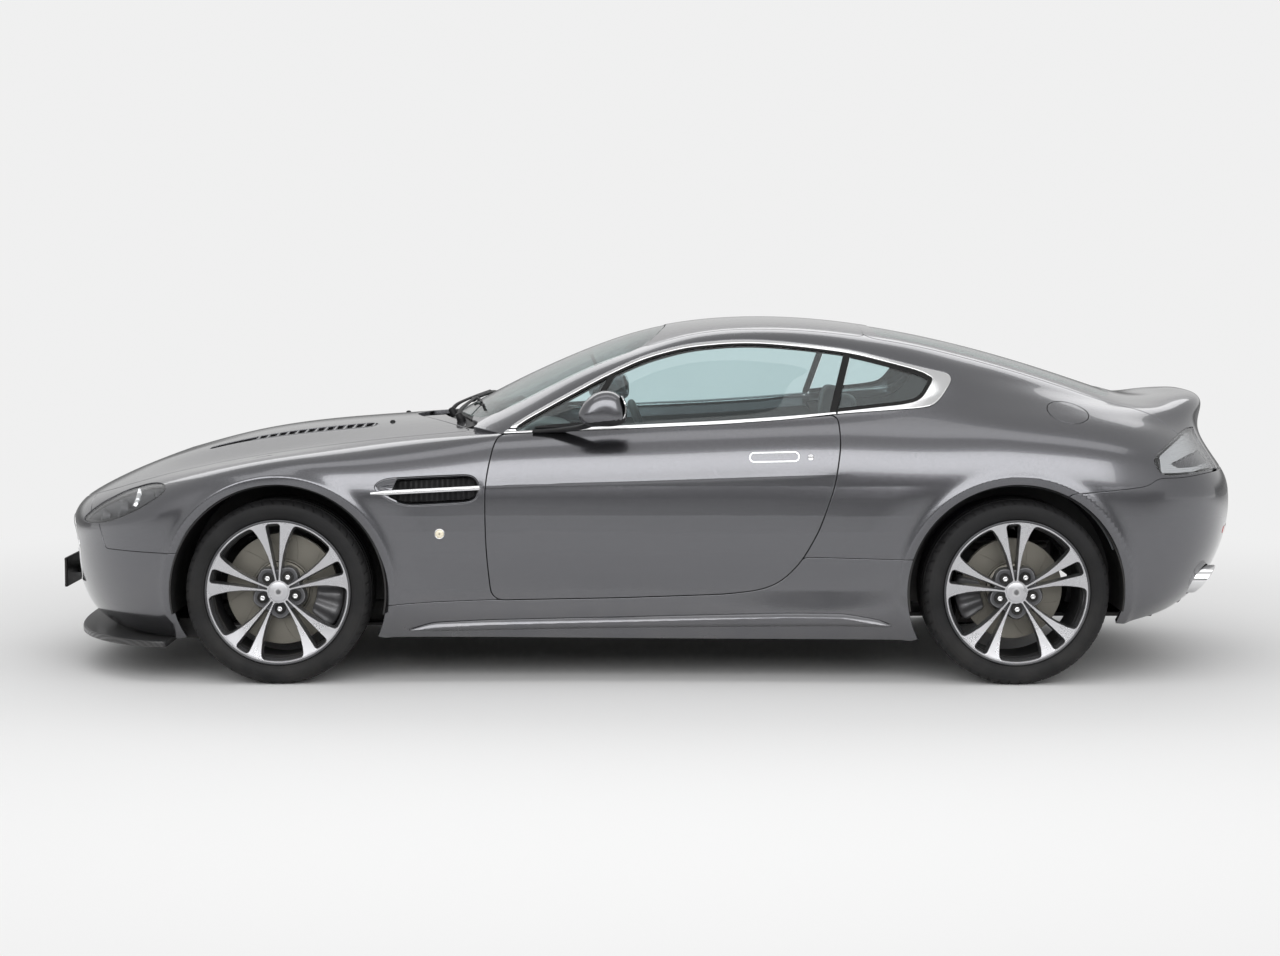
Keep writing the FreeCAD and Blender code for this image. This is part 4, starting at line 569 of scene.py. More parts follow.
def joined(*parts):
    """Several parts as one, corners on the middle line shared."""
    start = 0
    tris = []
    for part in parts:
        tris.append(part.tri + start)
        start += len(part.p)
    p = np.concatenate([part.p for part in parts])
    n = np.concatenate([part.n for part in parts])
    tri = np.concatenate(tris)
    group = np.concatenate([part.group for part in parts])
    middle = np.flatnonzero(np.abs(p[:, 1]) < 1e-3)
    if len(middle):
        key = np.round(p[middle][:, [0, 2]], 3)
        _, first, place = np.unique(key, axis=0, return_index=True, return_inverse=True)
        swap = np.arange(len(p))
        swap[middle] = middle[first[place.ravel()]]
        tri = swap[tri]
    return Part(p, n, tri, group)


def whole(part):
    return joined(part, mirror(part))


# ------------------------------------------------------------------ making pieces
def make(name, part, body, materials, stands_for=()):
    """A Blender mesh of a part, on its body, with its own normals and a material for each group."""
    tri = part.tri
    good = (tri[:, 0] != tri[:, 1]) & (tri[:, 1] != tri[:, 2]) & (tri[:, 2] != tri[:, 0])
    tri = tri[good]
    group = part.group[good]
    used, tri = np.unique(tri, return_inverse=True)
    tri = tri.reshape(-1, 3)
    mesh = bpy.data.meshes.new(name)
    mesh.from_pydata((part.p[used] * MM).tolist(), [], tri.tolist())
    mesh.shade_smooth()
    for one in materials:
        mesh.materials.append(one)
    mesh.polygons.foreach_set("material_index", np.minimum(group, len(materials) - 1).astype(np.int32))
    if part.n is not None:
        mesh.normals_split_custom_set_from_vertices(part.n[used].tolist())
    piece = bpy.data.objects.new(name, mesh)
    bpy.context.scene.collection.objects.link(piece)
    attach(piece, body)
    if stands_for:
        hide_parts(*stands_for)
    return piece


# ------------------------------------------------------------------ general surfaces
def sheet(points, wrap_s=False, wrap_t=False):
    """Part from a grid of places (s, t, 3); its outside is on the side of t's step crossed with s's
    step. A wrapped direction joins its last row to its first."""
    def slope(axis, wrap):
        if wrap:
            return np.roll(points, -1, axis) - np.roll(points, 1, axis)
        return np.gradient(points, axis=axis)

    n = np.cross(slope(1, wrap_t), slope(0, wrap_s))
    size = np.linalg.norm(n, axis=-1, keepdims=True)
    weak = size[..., 0] < 1e-7
    near = np.roll(n, 1, 0) + np.roll(n, -1, 0)
    if not wrap_s:
        near[0] = n[1].sum(0)
        near[-1] = n[-2].sum(0)
    n = unit(np.where(weak[..., None], near, n))
    rows, m = points.shape[:2]
    i, j = np.meshgrid(np.arange(rows if wrap_s else rows - 1), np.arange(m if wrap_t else m - 1),
                       indexing="ij")
    i2, j2 = (i + 1) % rows, (j + 1) % m
    a, b, c, d = (i * m + j).ravel(), (i * m + j2).ravel(), (i2 * m + j2).ravel(), (i2 * m + j).ravel()
    tri = np.concatenate([np.stack([a, b, c], 1), np.stack([a, c, d], 1)])
    return Part(points.reshape(-1, 3), n.reshape(-1, 3), tri, np.zeros(len(tri), int))


def turned(part, group):
    """The same part with every triangle in one group."""
    return Part(part.p, part.n, part.tri, np.full(len(part.tri), group))


def flipped(part):
    return Part(part.p, -part.n, part.tri[:, ::-1], part.group)


def lathe(profile, x, y, z, count=96, wave=None):
    """Profile of (radius, offset along Y) turned about an axis along Y through (x, y, z): the place is
    (x + r cos a, y + offset, z + r sin a). The profile runs so that its outside lies to its left.
    wave(angle, radius, offset) adds to the radius."""
    profile = np.array(profile, float)
    a = np.linspace(0.0, 2 * math.pi, count, endpoint=False)
    r, angle = np.meshgrid(profile[:, 0], a, indexing="ij")
    offset = np.broadcast_to(profile[:, 1:2], r.shape)
    if wave:
        r = r + wave(angle, r, offset)
    points = np.stack([x + r * np.cos(angle), y + offset, z + r * np.sin(angle)], -1)
    return sheet(points, wrap_t=True)


def smooth_path(points, count, closed=False):
    """Catmull-Rom curve through the points, count places to each run between two of them."""
    pts = np.array(points, float)
    if closed:
        pts = np.concatenate([pts[-1:], pts, pts[:2]])
    else:
        pts = np.concatenate([2 * pts[:1] - pts[1:2], pts, 2 * pts[-1:] - pts[-2:-1]])
    f = np.linspace(0.0, 1.0, count, endpoint=False)[None, :, None]
    a, b, c, d = (pts[k:len(pts) - 3 + k, None] for k in range(4))
    run = 0.5 * (2 * b + (c - a) * f + (2 * a - 5 * b + 4 * c - d) * f ** 2 + (3 * b - a - 3 * c + d)
                 * f ** 3)
    run = run.reshape(-1, pts.shape[1])
    return run if closed else np.concatenate([run, pts[-2:-1]])


def tube(path, section, closed=False, up=(0.0, 0.0, 1.0), scale=None):
    """Section of (across, upwards) offsets carried along a path; across is level and square to the
    path, upwards square to both. scale gives the section's size at each place of the path. Open
    ends are closed by a last ring drawn in to the middle."""
    path = np.array(path, float)
    way = np.roll(path, -1, 0) - np.roll(path, 1, 0) if closed else np.gradient(path, axis=0)
    way = unit(way)
    across = unit(np.cross(way, np.array(up, float)))
    rise = np.cross(across, way)
    size = np.ones(len(path)) if scale is None else np.asarray(scale, float)
    ring = np.asarray(section, float)
    if not closed:
        path = np.concatenate([path[:1], path, path[-1:]])
        across = np.concatenate([across[:1], across, across[-1:]])
        rise = np.concatenate([rise[:1], rise, rise[-1:]])
        size = np.concatenate([[1e-3], size, [1e-3]])
    points = path[:, None] + size[:, None,
                                  None] * (across[:, None] * ring[None, :, :1] + rise[:, None] * ring[None,
                                      :, 1:2])
    return sheet(points, wrap_s=closed, wrap_t=True)


def round_section(radius, count=12, flat=1.0):
    """Ellipse section: radius across, radius times flat upwards."""
    a = np.linspace(0.0, 2 * math.pi, count, endpoint=False)
    return np.stack([radius * np.cos(a), radius * flat * np.sin(a)], 1)


def plate(u0, u1, w0, w1, step, field, place, edge=1.0, depth=4.0, back=True, flare=0.0):
    """Flat or bent plate: a grid over (u, w) trimmed to where field(u, w) is positive, carried to its
    place by place(u, w), which gives places and outward directions, with turned edges."""
    uw, tri = grid(lines(u0, u1, step), lines(w0, w1, step))
    uw, tri = clip(uw, tri, field(uw[:, 0], uw[:, 1]) - edge)
    uw, tri = compact(uw, tri)
    p, n = place(uw[:, 0], uw[:, 1])
    return turned_edge(p, n, tri, edge, depth, back, flare=flare)


def lines(a, b, step):
    return np.linspace(a, b, max(2, int(round(abs(b - a) / step)) + 1))


def pill(u, w, u0, w0, half_u, half_w, corner):
    """Field of a rectangle with round corners."""
    qu = np.abs(u - u0) - half_u + corner
    qw = np.abs(w - w0) - half_w + corner
    outside = np.hypot(np.maximum(qu, 0.0), np.maximum(qw, 0.0))
    return corner - outside - np.minimum(np.maximum(qu, qw), 0.0)


def melt(a, b, k):
    """The larger of two fields, with a fillet of about k where they meet."""
    h = np.maximum(k - np.abs(a - b), 0.0) / k
    return np.maximum(a, b) + h * h * k * 0.25


def rounded_block(low, high, corner, count=10):
    """Block with rounded edges and corners: a superellipsoid of high power stretched between two
    corners, its two angles spaced so that the edges get most of the rows."""
    low, high = np.array(low, float), np.array(high, float)
    half = (high - low) / 2.0
    u = np.linspace(-math.pi / 2, math.pi / 2, 4 * count + 1)
    v = np.linspace(-math.pi, math.pi, 8 * count, endpoint=False)

    def bent(c):
        return np.sign(c) * np.abs(c) ** 0.28

    cu, su = bent(np.cos(u)), bent(np.sin(u))
    cv, sv = bent(np.cos(v)), bent(np.sin(v))
    points = np.stack([cu[:, None] * cv[None], cu[:, None] * sv[None],
                       np.broadcast_to(su[:, None], (len(u), len(v)))], -1)
    inner = np.maximum(half - corner, 1e-3)
    place = np.clip(points * half * 1.25, -half, half)
    core = np.clip(place, -inner, inner)
    away = place - core
    far = np.linalg.norm(away, axis=-1, keepdims=True)
    place = core + away * np.minimum(1.0, corner / np.maximum(far, 1e-9))
    return sheet((low + high) / 2.0 + place, wrap_t=True)


def rolled(outline, y0, y1, corner, bulge=0.0, rows=5):
    """Closed outline in (x, z) carried along Y, its two ends rounded over and closed: near an end each
    place moves in along the outline's own normal by corner (1 - cos a), and the end is filled by
    rings drawn to the middle. bulge swells the outline between the ends."""
    outline = np.asarray(outline, float)
    ahead = np.roll(outline, -1, 0) - np.roll(outline, 1, 0)
    area = np.sum(outline[:, 0] * np.roll(outline[:, 1], -1) - outline[:, 1] * np.roll(outline[:, 0], -1))
    if area < 0:
        outline, ahead = outline[::-1], -ahead[::-1]
    normal = unit(np.stack([ahead[:, 1], -ahead[:, 0]], 1))
    middle = outline.mean(0)
    a = np.linspace(0.0, math.pi / 2, rows)
    inset = np.concatenate([corner * (1 - np.sin(a)), np.zeros(5), corner * (1 - np.cos(a))])
    depth = corner * (1 - np.cos(a))
    ys = np.concatenate([y0 + depth, np.linspace(y0 + corner, y1 - corner, 7)[1:-1],
                         y1 - corner + corner * np.sin(a)])
    swell = bulge * (1.0 - ((ys - (y0 + y1) / 2) / ((y1 - y0) / 2)) ** 2)
    rings = outline[None] + normal[None] * (swell - inset)[:, None, None]
    fill = (0.0, 0.5)
    first = [middle + (rings[0] - middle) * max(f, 1e-3) for f in fill]
    last = [middle + (rings[-1] - middle) * max(f, 1e-3) for f in fill[::-1]]
    rings = np.concatenate([np.array(first), rings, np.array(last)])
    ys = np.concatenate([[y0] * 2, ys, [y1] * 2])
    points = np.stack([rings[..., 0], np.broadcast_to(ys[:, None], rings.shape[:2]), rings[..., 1]], -1)
    return sheet(points, wrap_t=True)


def landed(form, first, second, axes=(0, 2), guess=(1.5, 0.5), lift=0.0, feature=None):
    """Places on the body surface whose coordinates number axes have the given values, found by
    Newton's steps in (t, v); with their outward directions."""
    goal = np.stack([np.atleast_1d(first), np.atleast_1d(second)], 1).astype(float)
    tv = np.tile(np.array(guess, float), (len(goal), 1))
    pick = list(axes)
    for _ in range(24):
        here = base_skin(form, tv)[:, pick]
        dt = (base_skin(form, tv + [1e-3, 0.0])[:, pick] - here) / 1e-3
        dv = (base_skin(form, tv + [0.0, 1e-3])[:, pick] - here) / 1e-3
        miss = goal - here
        det = dt[:, 0] * dv[:, 1] - dt[:, 1] * dv[:, 0]
        det = np.where(np.abs(det) < 1e-3, 1e-3, det)
        step_t = (miss[:, 0] * dv[:, 1] - miss[:, 1] * dv[:, 0]) / det
        step_v = (dt[:, 0] * miss[:, 1] - dt[:, 1] * miss[:, 0]) / det
        tv = tv + np.clip(np.stack([step_t, step_v], 1), -0.12, 0.12)
        tv = np.clip(tv, [0.01, 0.01], [2.98, 0.985])
    return skin(form, tv, lift, feature or relief)


def spun(profile, place, way, count=48):
    """Profile of (radius, height) turned about an axis that leaves place in the direction way."""
    profile = np.array(profile, float)
    way = unit(np.array(way, float))
    side = unit(np.cross(way, [0.0, 0.0, 1.0] if abs(way[2]) < 0.9 else [1.0, 0.0, 0.0]))
    other = np.cross(way, side)
    a = np.linspace(0.0, 2 * math.pi, count, endpoint=False)
    round_way = np.cos(a)[:, None] * side + np.sin(a)[:, None] * other
    points = np.array(place, float) + profile[:, None, :1] * round_way[None] + profile[:, None, 1:2] * way
    return sheet(points[:, ::-1], wrap_t=True)


# ------------------------------------------------------------------ finishes
def add(tree, kind, feeds=None, **settings):
    """A new node: settings are its own options, feeds its sockets' values or what links to them."""
    one = tree.nodes.new("ShaderNode" + kind)
    for name, value in settings.items():
        setattr(one, name, value)
    for socket, value in (feeds or {}).items():
        if isinstance(value, bpy.types.NodeSocket):
            tree.links.new(value, one.inputs[socket])
        else:
            one.inputs[socket].default_value = value
    return one


def sum_of(tree, operation, a, b=0.0, c=0.0):
    """Result of one Math node."""
    return add(tree, "Math", {0: a, 1: b, 2: c}, operation=operation).outputs[0]


def blend_of(tree, factor, a, b):
    """Colour a turning into colour b as the factor goes from 0 to 1."""
    one = add(tree, "Mix", {0: factor, 6: a, 7: b}, data_type="RGBA")
    return one.outputs[2]


def spread(tree, value, low, high, to_low=0.0, to_high=1.0):
    """A value carried from one span to another, held at the ends."""
    feeds = {"Value": value, "From Min": low, "From Max": high, "To Min": to_low, "To Max": to_high}
    return add(tree, "MapRange", feeds).outputs[0]


def new_group(name, inputs, outputs):
    """An empty node group with number inputs, given as (name, value), and outputs as (name, kind)."""
    tree = bpy.data.node_groups.new(name, "ShaderNodeTree")
    for label, value in inputs:
        tree.interface.new_socket(label, in_out="INPUT",
                                  socket_type="NodeSocketFloat").default_value = value
    for label, kind in outputs:
        tree.interface.new_socket(label, in_out="OUTPUT", socket_type="NodeSocket" + kind)
    return tree, tree.nodes.new("NodeGroupInput").outputs, tree.nodes.new("NodeGroupOutput")


def place_in(tree, scale=None):
    """Object coordinates, scaled by a value."""
    where = add(tree, "TexCoord").outputs["Object"]
    if scale is None:
        return where
    return add(tree, "VectorMath", {0: where, "Scale": scale}, operation="SCALE").outputs[0]


def flake_group():
    """Metal flakes: Voronoi cells, each with its own lean and its own shade."""
    tree, given, out = new_group("metal_flake", [("Scale", 900.0), ("Lean", 0.1)],
                                 [("Shade", "Float"), ("Normal", "Vector")])
    cells = add(tree, "TexVoronoi", {"Vector": place_in(tree), "Scale": given["Scale"]})
    apart = add(tree, "VectorMath", {0: cells.outputs["Color"], 1: (0.5, 0.5, 0.5)}, operation="SUBTRACT")
    lean = add(tree, "VectorMath", {0: apart.outputs[0], "Scale": given["Lean"]}, operation="SCALE")
    face = add(tree, "NewGeometry").outputs["Normal"]
    tilted = add(tree, "VectorMath", {0: face, 1: lean.outputs[0]}, operation="ADD")
    flat = add(tree, "VectorMath", {0: tilted.outputs[0]}, operation="NORMALIZE")
    parts = add(tree, "SeparateXYZ", {0: cells.outputs["Color"]})
    tree.links.new(parts.outputs[0], out.inputs["Shade"])
    tree.links.new(flat.outputs[0], out.inputs["Normal"])
    return tree


def dust_group():
    """Road dust: thickest at the ground, gone at Reach, broken up by cloudy noise."""
    tree, given, out = new_group("road_dust", [("Reach", 0.5), ("Amount", 0.5), ("Scale", 7.0)],
                                 [("Mask", "Float")])
    where = place_in(tree)
    height = add(tree, "SeparateXYZ", {0: where}).outputs[2]
    low = sum_of(tree, "SUBTRACT", 1.0, sum_of(tree, "DIVIDE", height, given["Reach"]))
    cloud = add(tree, "TexNoise", {"Vector": where, "Scale": given["Scale"], "Detail": 6.0}).outputs[0]
    cover = sum_of(tree, "MULTIPLY", spread(tree, low, 0.0, 1.0), spread(tree, cloud, 0.3, 0.75))
    tree.links.new(sum_of(tree, "MULTIPLY", cover, given["Amount"]), out.inputs["Mask"])
    return tree


def grain_group():
    """Moulded or natural grain: cells with rounded tops, and a slow change of tone."""
    tree, given, out = new_group("grain", [("Scale", 400.0), ("Softness", 0.5)],
                                 [("Height", "Float"), ("Tone", "Float")])
    where = place_in(tree)
    bend = add(tree, "TexNoise", {"Vector": where, "Scale": 60.0, "Detail": 2.0}).outputs["Color"]
    moved = add(tree, "VectorMath", {0: bend, 1: (0.004, 0.004, 0.004), 2: where}, operation="MULTIPLY_ADD")
    cells = add(tree, "TexVoronoi", {"Vector": moved.outputs[0], "Scale": given["Scale"]},
                feature="SMOOTH_F1")
    tree.links.new(given["Softness"], cells.inputs["Smoothness"])
    tone = add(tree, "TexNoise", {"Vector": where, "Scale": 9.0, "Detail": 5.0}).outputs[0]
    tree.links.new(sum_of(tree, "SUBTRACT", 1.0, cells.outputs[0]), out.inputs["Height"])
    tree.links.new(tone, out.inputs["Tone"])
    return tree


def wear_group():
    """Worn edges: where the surface bends outwards most, broken up by noise."""
    tree, given, out = new_group("edge_wear", [("Reach", 0.06)], [("Mask", "Float")])
    bend = add(tree, "NewGeometry").outputs["Pointiness"]
    high = sum_of(tree, "ADD", 0.5, given["Reach"])
    sharp = add(tree, "MapRange", {"Value": bend, "From Min": 0.5, "From Max": high}).outputs[0]
    rough = add(tree, "TexNoise", {"Vector": place_in(tree), "Scale": 60.0, "Detail": 4.0}).outputs[0]
    tree.links.new(sum_of(tree, "MULTIPLY", sharp, rough), out.inputs["Mask"])
    return tree


def turning_group():
    """Fine rings of a part turned on a lathe about its wheel's axis: a wave along the distance from
    the nearer axle, broken up a little."""
    tree, given, out = new_group("turned_rings", [("Scale", 900.0), ("Breakup", 2.0)],
                                 [("Height", "Float"), ("Radius", "Float")])
    parts = add(tree, "SeparateXYZ", {0: place_in(tree)})
    middle = (AXLE_REAR + AXLE_FRONT) * 0.0005
    half = (AXLE_REAR - AXLE_FRONT) * 0.0005
    x = sum_of(tree, "SUBTRACT",
               sum_of(tree, "ABSOLUTE", sum_of(tree, "SUBTRACT", parts.outputs[0], middle)), half)
    z = sum_of(tree, "SUBTRACT", parts.outputs[2], AXLE_Z * MM)
    radius = sum_of(tree, "SQRT", sum_of(tree, "MULTIPLY_ADD", x, x, sum_of(tree, "MULTIPLY", z, z)))
    noise = add(tree, "TexNoise", {"Vector": place_in(tree), "Scale": 35.0, "Detail": 3.0}).outputs[0]
    phase = sum_of(tree, "MULTIPLY_ADD", radius, given["Scale"],
                   sum_of(tree, "MULTIPLY", noise, given["Breakup"]))
    tree.links.new(sum_of(tree, "SINE", phase), out.inputs["Height"])
    tree.links.new(radius, out.inputs["Radius"])
    return tree


def twill_group():
    """Twill cloth: cells in steps of two over and two under, each step shifted by one."""
    tree, given, out = new_group("twill", [("Scale", 260.0)], [("Over", "Float"), ("Height", "Float")])
    parts = add(tree, "SeparateXYZ", {0: place_in(tree, given["Scale"])})
    across = sum_of(tree, "FLOOR", sum_of(tree, "ADD", parts.outputs[0], parts.outputs[2]))
    down = sum_of(tree, "FLOOR", parts.outputs[1])
    over = sum_of(tree, "LESS_THAN", sum_of(tree, "FLOORED_MODULO", sum_of(tree, "ADD", across, down), 4.0),
                  1.5)
    along_thread = sum_of(tree, "FRACT", parts.outputs[1])
    bulge = sum_of(tree, "SINE", sum_of(tree, "MULTIPLY", along_thread, math.pi))
    tree.links.new(over, out.inputs["Over"])
    tree.links.new(sum_of(tree, "MULTIPLY_ADD", over, 0.5, bulge), out.inputs["Height"])
    return tree


FLAKE, DUST, GRAIN = flake_group(), dust_group(), grain_group()
WEAR, RINGS, TWILL = wear_group(), turning_group(), twill_group()


def use(tree, group, **values):
    """A node group placed in a material with its own values."""
    one = add(tree, "Group", node_tree=group)
    for label, value in values.items():
        one.inputs[label].default_value = value
    return one.outputs


def principled(name, colour, roughness, metallic=0.0, **more):
    """Material of one Principled shader with plain values; more names further sockets. Returns
    the material, its tree and the shader."""
    finish = bpy.data.materials.new(name)
    finish.use_nodes = True
    shader = finish.node_tree.nodes["Principled BSDF"]
    shader.inputs["Base Color"].default_value = (*colour, 1.0)
    shader.inputs["Roughness"].default_value = roughness
    shader.inputs["Metallic"].default_value = metallic
    for socket, value in more.items():
        shader.inputs[socket.replace("_", " ")].default_value = value
    return finish, finish.node_tree, shader


def bumped(tree, shader, height, distance, strength=1.0, socket="Normal"):
    bump = add(tree, "Bump", {"Height": height, "Distance": distance, "Strength": strength})
    tree.links.new(bump.outputs[0], shader.inputs[socket])


DUST_COLOUR = (0.32, 0.30, 0.27, 1.0)


def lacquer(name, dark, light, flake_lean, roughness, metallic):
    """Metallic lacquer: flakes between two shades under a clear coat, dusty near the ground."""
    finish, tree, shader = principled(name, dark, roughness, metallic, Coat_Weight=1.0,
                                      Coat_Roughness=0.03, Coat_IOR=1.5)
    flake = use(tree, FLAKE, Scale=1100.0, Lean=flake_lean)
    dust = use(tree, DUST, Reach=0.42, Amount=0.22)["Mask"]
    shade = blend_of(tree, flake["Shade"], (*dark, 1.0), (*light, 1.0))
    tree.links.new(blend_of(tree, dust, shade, DUST_COLOUR), shader.inputs["Base Color"])
    tree.links.new(flake["Normal"], shader.inputs["Normal"])
    tree.links.new(spread(tree, dust, 0.0, 1.0, roughness, 0.8), shader.inputs["Roughness"])
    return finish


def moulding(name, dark, light, roughness, scale, depth, dust=0.0, **more):
    """Moulded plastic or rubber: grained, with a slow change of tone, and dusty if asked."""
    finish, tree, shader = principled(name, dark, roughness, 0.0, **more)
    grain = use(tree, GRAIN, Scale=scale, Softness=0.4)
    tone = blend_of(tree, spread(tree, grain["Tone"], 0.35, 0.65), (*dark, 1.0), (*light, 1.0))
    if dust:
        mask = use(tree, DUST, Reach=0.7, Amount=dust, Scale=11.0)["Mask"]
        tone = blend_of(tree, mask, tone, DUST_COLOUR)
    tree.links.new(tone, shader.inputs["Base Color"])
    tree.links.new(spread(tree, grain["Tone"], 0.3, 0.7, roughness - 0.06, roughness + 0.06),
                   shader.inputs["Roughness"])
    bumped(tree, shader, grain["Height"], depth)
    return finish


def worn_metal(name, colour, worn, roughness, dust=0.0, ring_scale=0.0, ring_depth=0.00002, metallic=1.0,
               **more):
    """Bare or painted metal: brighter on its worn edges, turned rings if asked, dust low down."""
    finish, tree, shader = principled(name, colour, roughness, metallic, **more)
    wear = use(tree, WEAR, Reach=0.05)["Mask"]
    grain = use(tree, GRAIN, Scale=700.0, Softness=0.6)
    tone = blend_of(tree, wear, (*colour, 1.0), (*worn, 1.0))
    if dust:
        mask = use(tree, DUST, Reach=0.8, Amount=dust, Scale=14.0)["Mask"]
        tone = blend_of(tree, mask, tone, DUST_COLOUR)
    tree.links.new(tone, shader.inputs["Base Color"])
    tree.links.new(spread(tree, grain["Tone"], 0.3, 0.7, roughness - 0.05, roughness + 0.07),
                   shader.inputs["Roughness"])
    if ring_scale:
        bumped(tree, shader, use(tree, RINGS, Scale=ring_scale)["Height"], ring_depth)
    else:
        bumped(tree, shader, grain["Height"], 0.00002)
    return finish


paint = lacquer("graphite_lacquer", (0.112, 0.113, 0.121), (0.165, 0.166, 0.180), 0.06, 0.22, 0.94)
gloss_black = lacquer("black_lacquer", (0.010, 0.010, 0.011), (0.016, 0.016, 0.018), 0.02, 0.25, 0.0)
black = moulding("black_moulding", (0.012, 0.012, 0.013), (0.022, 0.022, 0.023), 0.46, 900.0, 0.00006, 0.15,
                 Specular_IOR_Level=0.22)
seal = moulding("window_seal", (0.008, 0.008, 0.008), (0.014, 0.014, 0.014), 0.55, 1400.0, 0.00003,
                Specular_IOR_Level=0.22)
rubber = moulding("tyre_rubber", (0.007, 0.007, 0.0075), (0.013, 0.013, 0.014), 0.62, 800.0, 0.00008, 0.06,
                  Specular_IOR_Level=0.25)
chrome = worn_metal("polished_trim", (0.83, 0.83, 0.84), (0.90, 0.90, 0.90), 0.09)
machined = worn_metal("machined_alloy", (0.60, 0.60, 0.62), (0.75, 0.75, 0.76), 0.28, 0.04, 3200.0, 0.00003)
dark_alloy = worn_metal("lacquered_alloy", (0.085, 0.086, 0.092), (0.35, 0.35, 0.36), 0.36, 0.10,
                        metallic=0.75)
iron = worn_metal("brake_iron", (0.20, 0.19, 0.165), (0.40, 0.39, 0.36), 0.42, 0.05, 2600.0, 0.00006)
caliper_grey = worn_metal("caliper_enamel", (0.12, 0.12, 0.125), (0.3, 0.3, 0.31), 0.42, 0.08, metallic=0.5)
steel = worn_metal("chassis_steel", (0.05, 0.05, 0.052), (0.22, 0.21, 0.20), 0.55, 0.35, metallic=0.6)
cast = worn_metal("cast_engine", (0.16, 0.16, 0.165), (0.4, 0.4, 0.4), 0.5, 0.1, metallic=0.9)
reflector = worn_metal("lamp_reflector", (0.86, 0.87, 0.88), (0.9, 0.9, 0.9), 0.16)
hide = moulding("black_hide", (0.020, 0.020, 0.022), (0.034, 0.034, 0.036), 0.48, 420.0, 0.00008,
                Sheen_Weight=0.15)
hide_light = moulding("grey_hide", (0.070, 0.075, 0.080), (0.10, 0.105, 0.11), 0.5, 420.0, 0.00008,
                      Sheen_Weight=0.15)
lining = moulding("cabin_lining", (0.055, 0.060, 0.064), (0.085, 0.09, 0.095), 0.85, 1600.0, 0.00003,
                  Sheen_Weight=0.4)
carpet = moulding("carpet", (0.014, 0.014, 0.015), (0.03, 0.03, 0.032), 0.95, 1100.0, 0.0002,
                  Sheen_Weight=0.5)
cream = moulding("repeater_lens", (0.78, 0.70, 0.52), (0.84, 0.78, 0.64), 0.18, 500.0, 0.0001,
                 Coat_Weight=1.0)
red = moulding("red_lens", (0.42, 0.012, 0.010), (0.60, 0.02, 0.015), 0.15, 260.0, 0.0006, Coat_Weight=1.0)


def carbon_finish():
    """Carbon cloth in clear resin."""
    finish, tree, shader = principled("carbon_cloth", (0.02, 0.02, 0.02), 0.4, 0.0, Coat_Weight=0.35,
                                      Coat_Roughness=0.12)
    cloth = use(tree, TWILL, Scale=230.0)
    dust = use(tree, DUST, Reach=0.3, Amount=0.08)["Mask"]
    tone = blend_of(tree, cloth["Over"], (0.010, 0.010, 0.011, 1.0), (0.040, 0.040, 0.042, 1.0))
    tree.links.new(blend_of(tree, dust, tone, DUST_COLOUR), shader.inputs["Base Color"])
    tree.links.new(spread(tree, cloth["Over"], 0.0, 1.0, 0.5, 0.3), shader.inputs["Roughness"])
    bumped(tree, shader, cloth["Height"], 0.0001)
    return finish


carbon = carbon_finish()


def shade_cloth(name, axis, low, high, most):
    """Painted shade seen only in reflections: a dark cloth that thins out to nothing as one coordinate goes
    from high to low. It stands in for the studio's floor and room growing dimmer away from the lamps.
    """
    finish, tree, shader = principled(name, (0.004, 0.004, 0.004), 0.9)
    out = tree.nodes["Material Output"]
    place = add(tree, "SeparateXYZ", {0: add(tree, "TexCoord").outputs["Object"]}).outputs[axis]
    share = add(tree, "MapRange",
                {"Value": place, "From Min": low, "From Max": high, "To Min": 0.0, "To Max": most},
                interpolation_type="SMOOTHSTEP").outputs[0]
    clear = add(tree, "BsdfTransparent", {"Color": (1.0, 1.0, 1.0, 1.0)})
    mix = add(tree, "MixShader", {0: share, 1: clear.outputs[0], 2: shader.outputs[0]})
    tree.links.new(mix.outputs[0], out.inputs[0])
    return finish


def pane(name, tint, smear_roughness=0.02):
    """Clear tinted glass that lets lamps through: Schlick's mirror share grows from 4 % face on to
    all of it at a glance, and the rest passes with the tint. Faintly smeared."""
    finish, tree, mirror_part = principled(name, (1.0, 1.0, 1.0), 0.0, 1.0)
    out = tree.nodes["Material Output"]
    smear = add(tree, "TexNoise", {"Vector": place_in(tree), "Scale": 3.0, "Detail": 4.0}).outputs[0]
    tree.links.new(spread(tree, smear, 0.45, 0.8, 0.0, smear_roughness), mirror_part.inputs["Roughness"])
    tone = blend_of(tree, spread(tree, smear, 0.3, 0.7), (*tint, 1.0), (*[0.985 * c for c in tint], 1.0))
    clear = add(tree, "BsdfTransparent", {"Color": tone})
    facing = add(tree, "LayerWeight", {"Blend": 0.5}).outputs["Facing"]
    share = sum_of(tree, "MULTIPLY_ADD", sum_of(tree, "POWER", facing, 5.0), 0.96, 0.04)
    mix = add(tree, "MixShader", {0: share, 1: clear.outputs[0], 2: mirror_part.outputs[0]})
    tree.links.new(mix.outputs[0], out.inputs[0])
    return finish


side_glass = pane("side_glass", (0.86, 0.925, 0.93))
screen_glass = pane("screen_glass", (0.80, 0.87, 0.86))
lamp_glass = pane("lamp_glass", (0.96, 0.965, 0.97))


# ------------------------------------------------------------------ shut lines
def ring_of(half, axis, radius):
    """Closed outline from its half: mirrored over the middle and softened. axis is the number of
    the coordinate that changes sign."""
    sign = [-1.0, 1.0] if axis == 0 else [1.0, -1.0]
    other = [[c[0] * sign[0], c[1] * sign[1], *c[2:]] for c in reversed(half) if c[axis] > 0.0]
    return soft([list(c) for c in half] + other, radius)


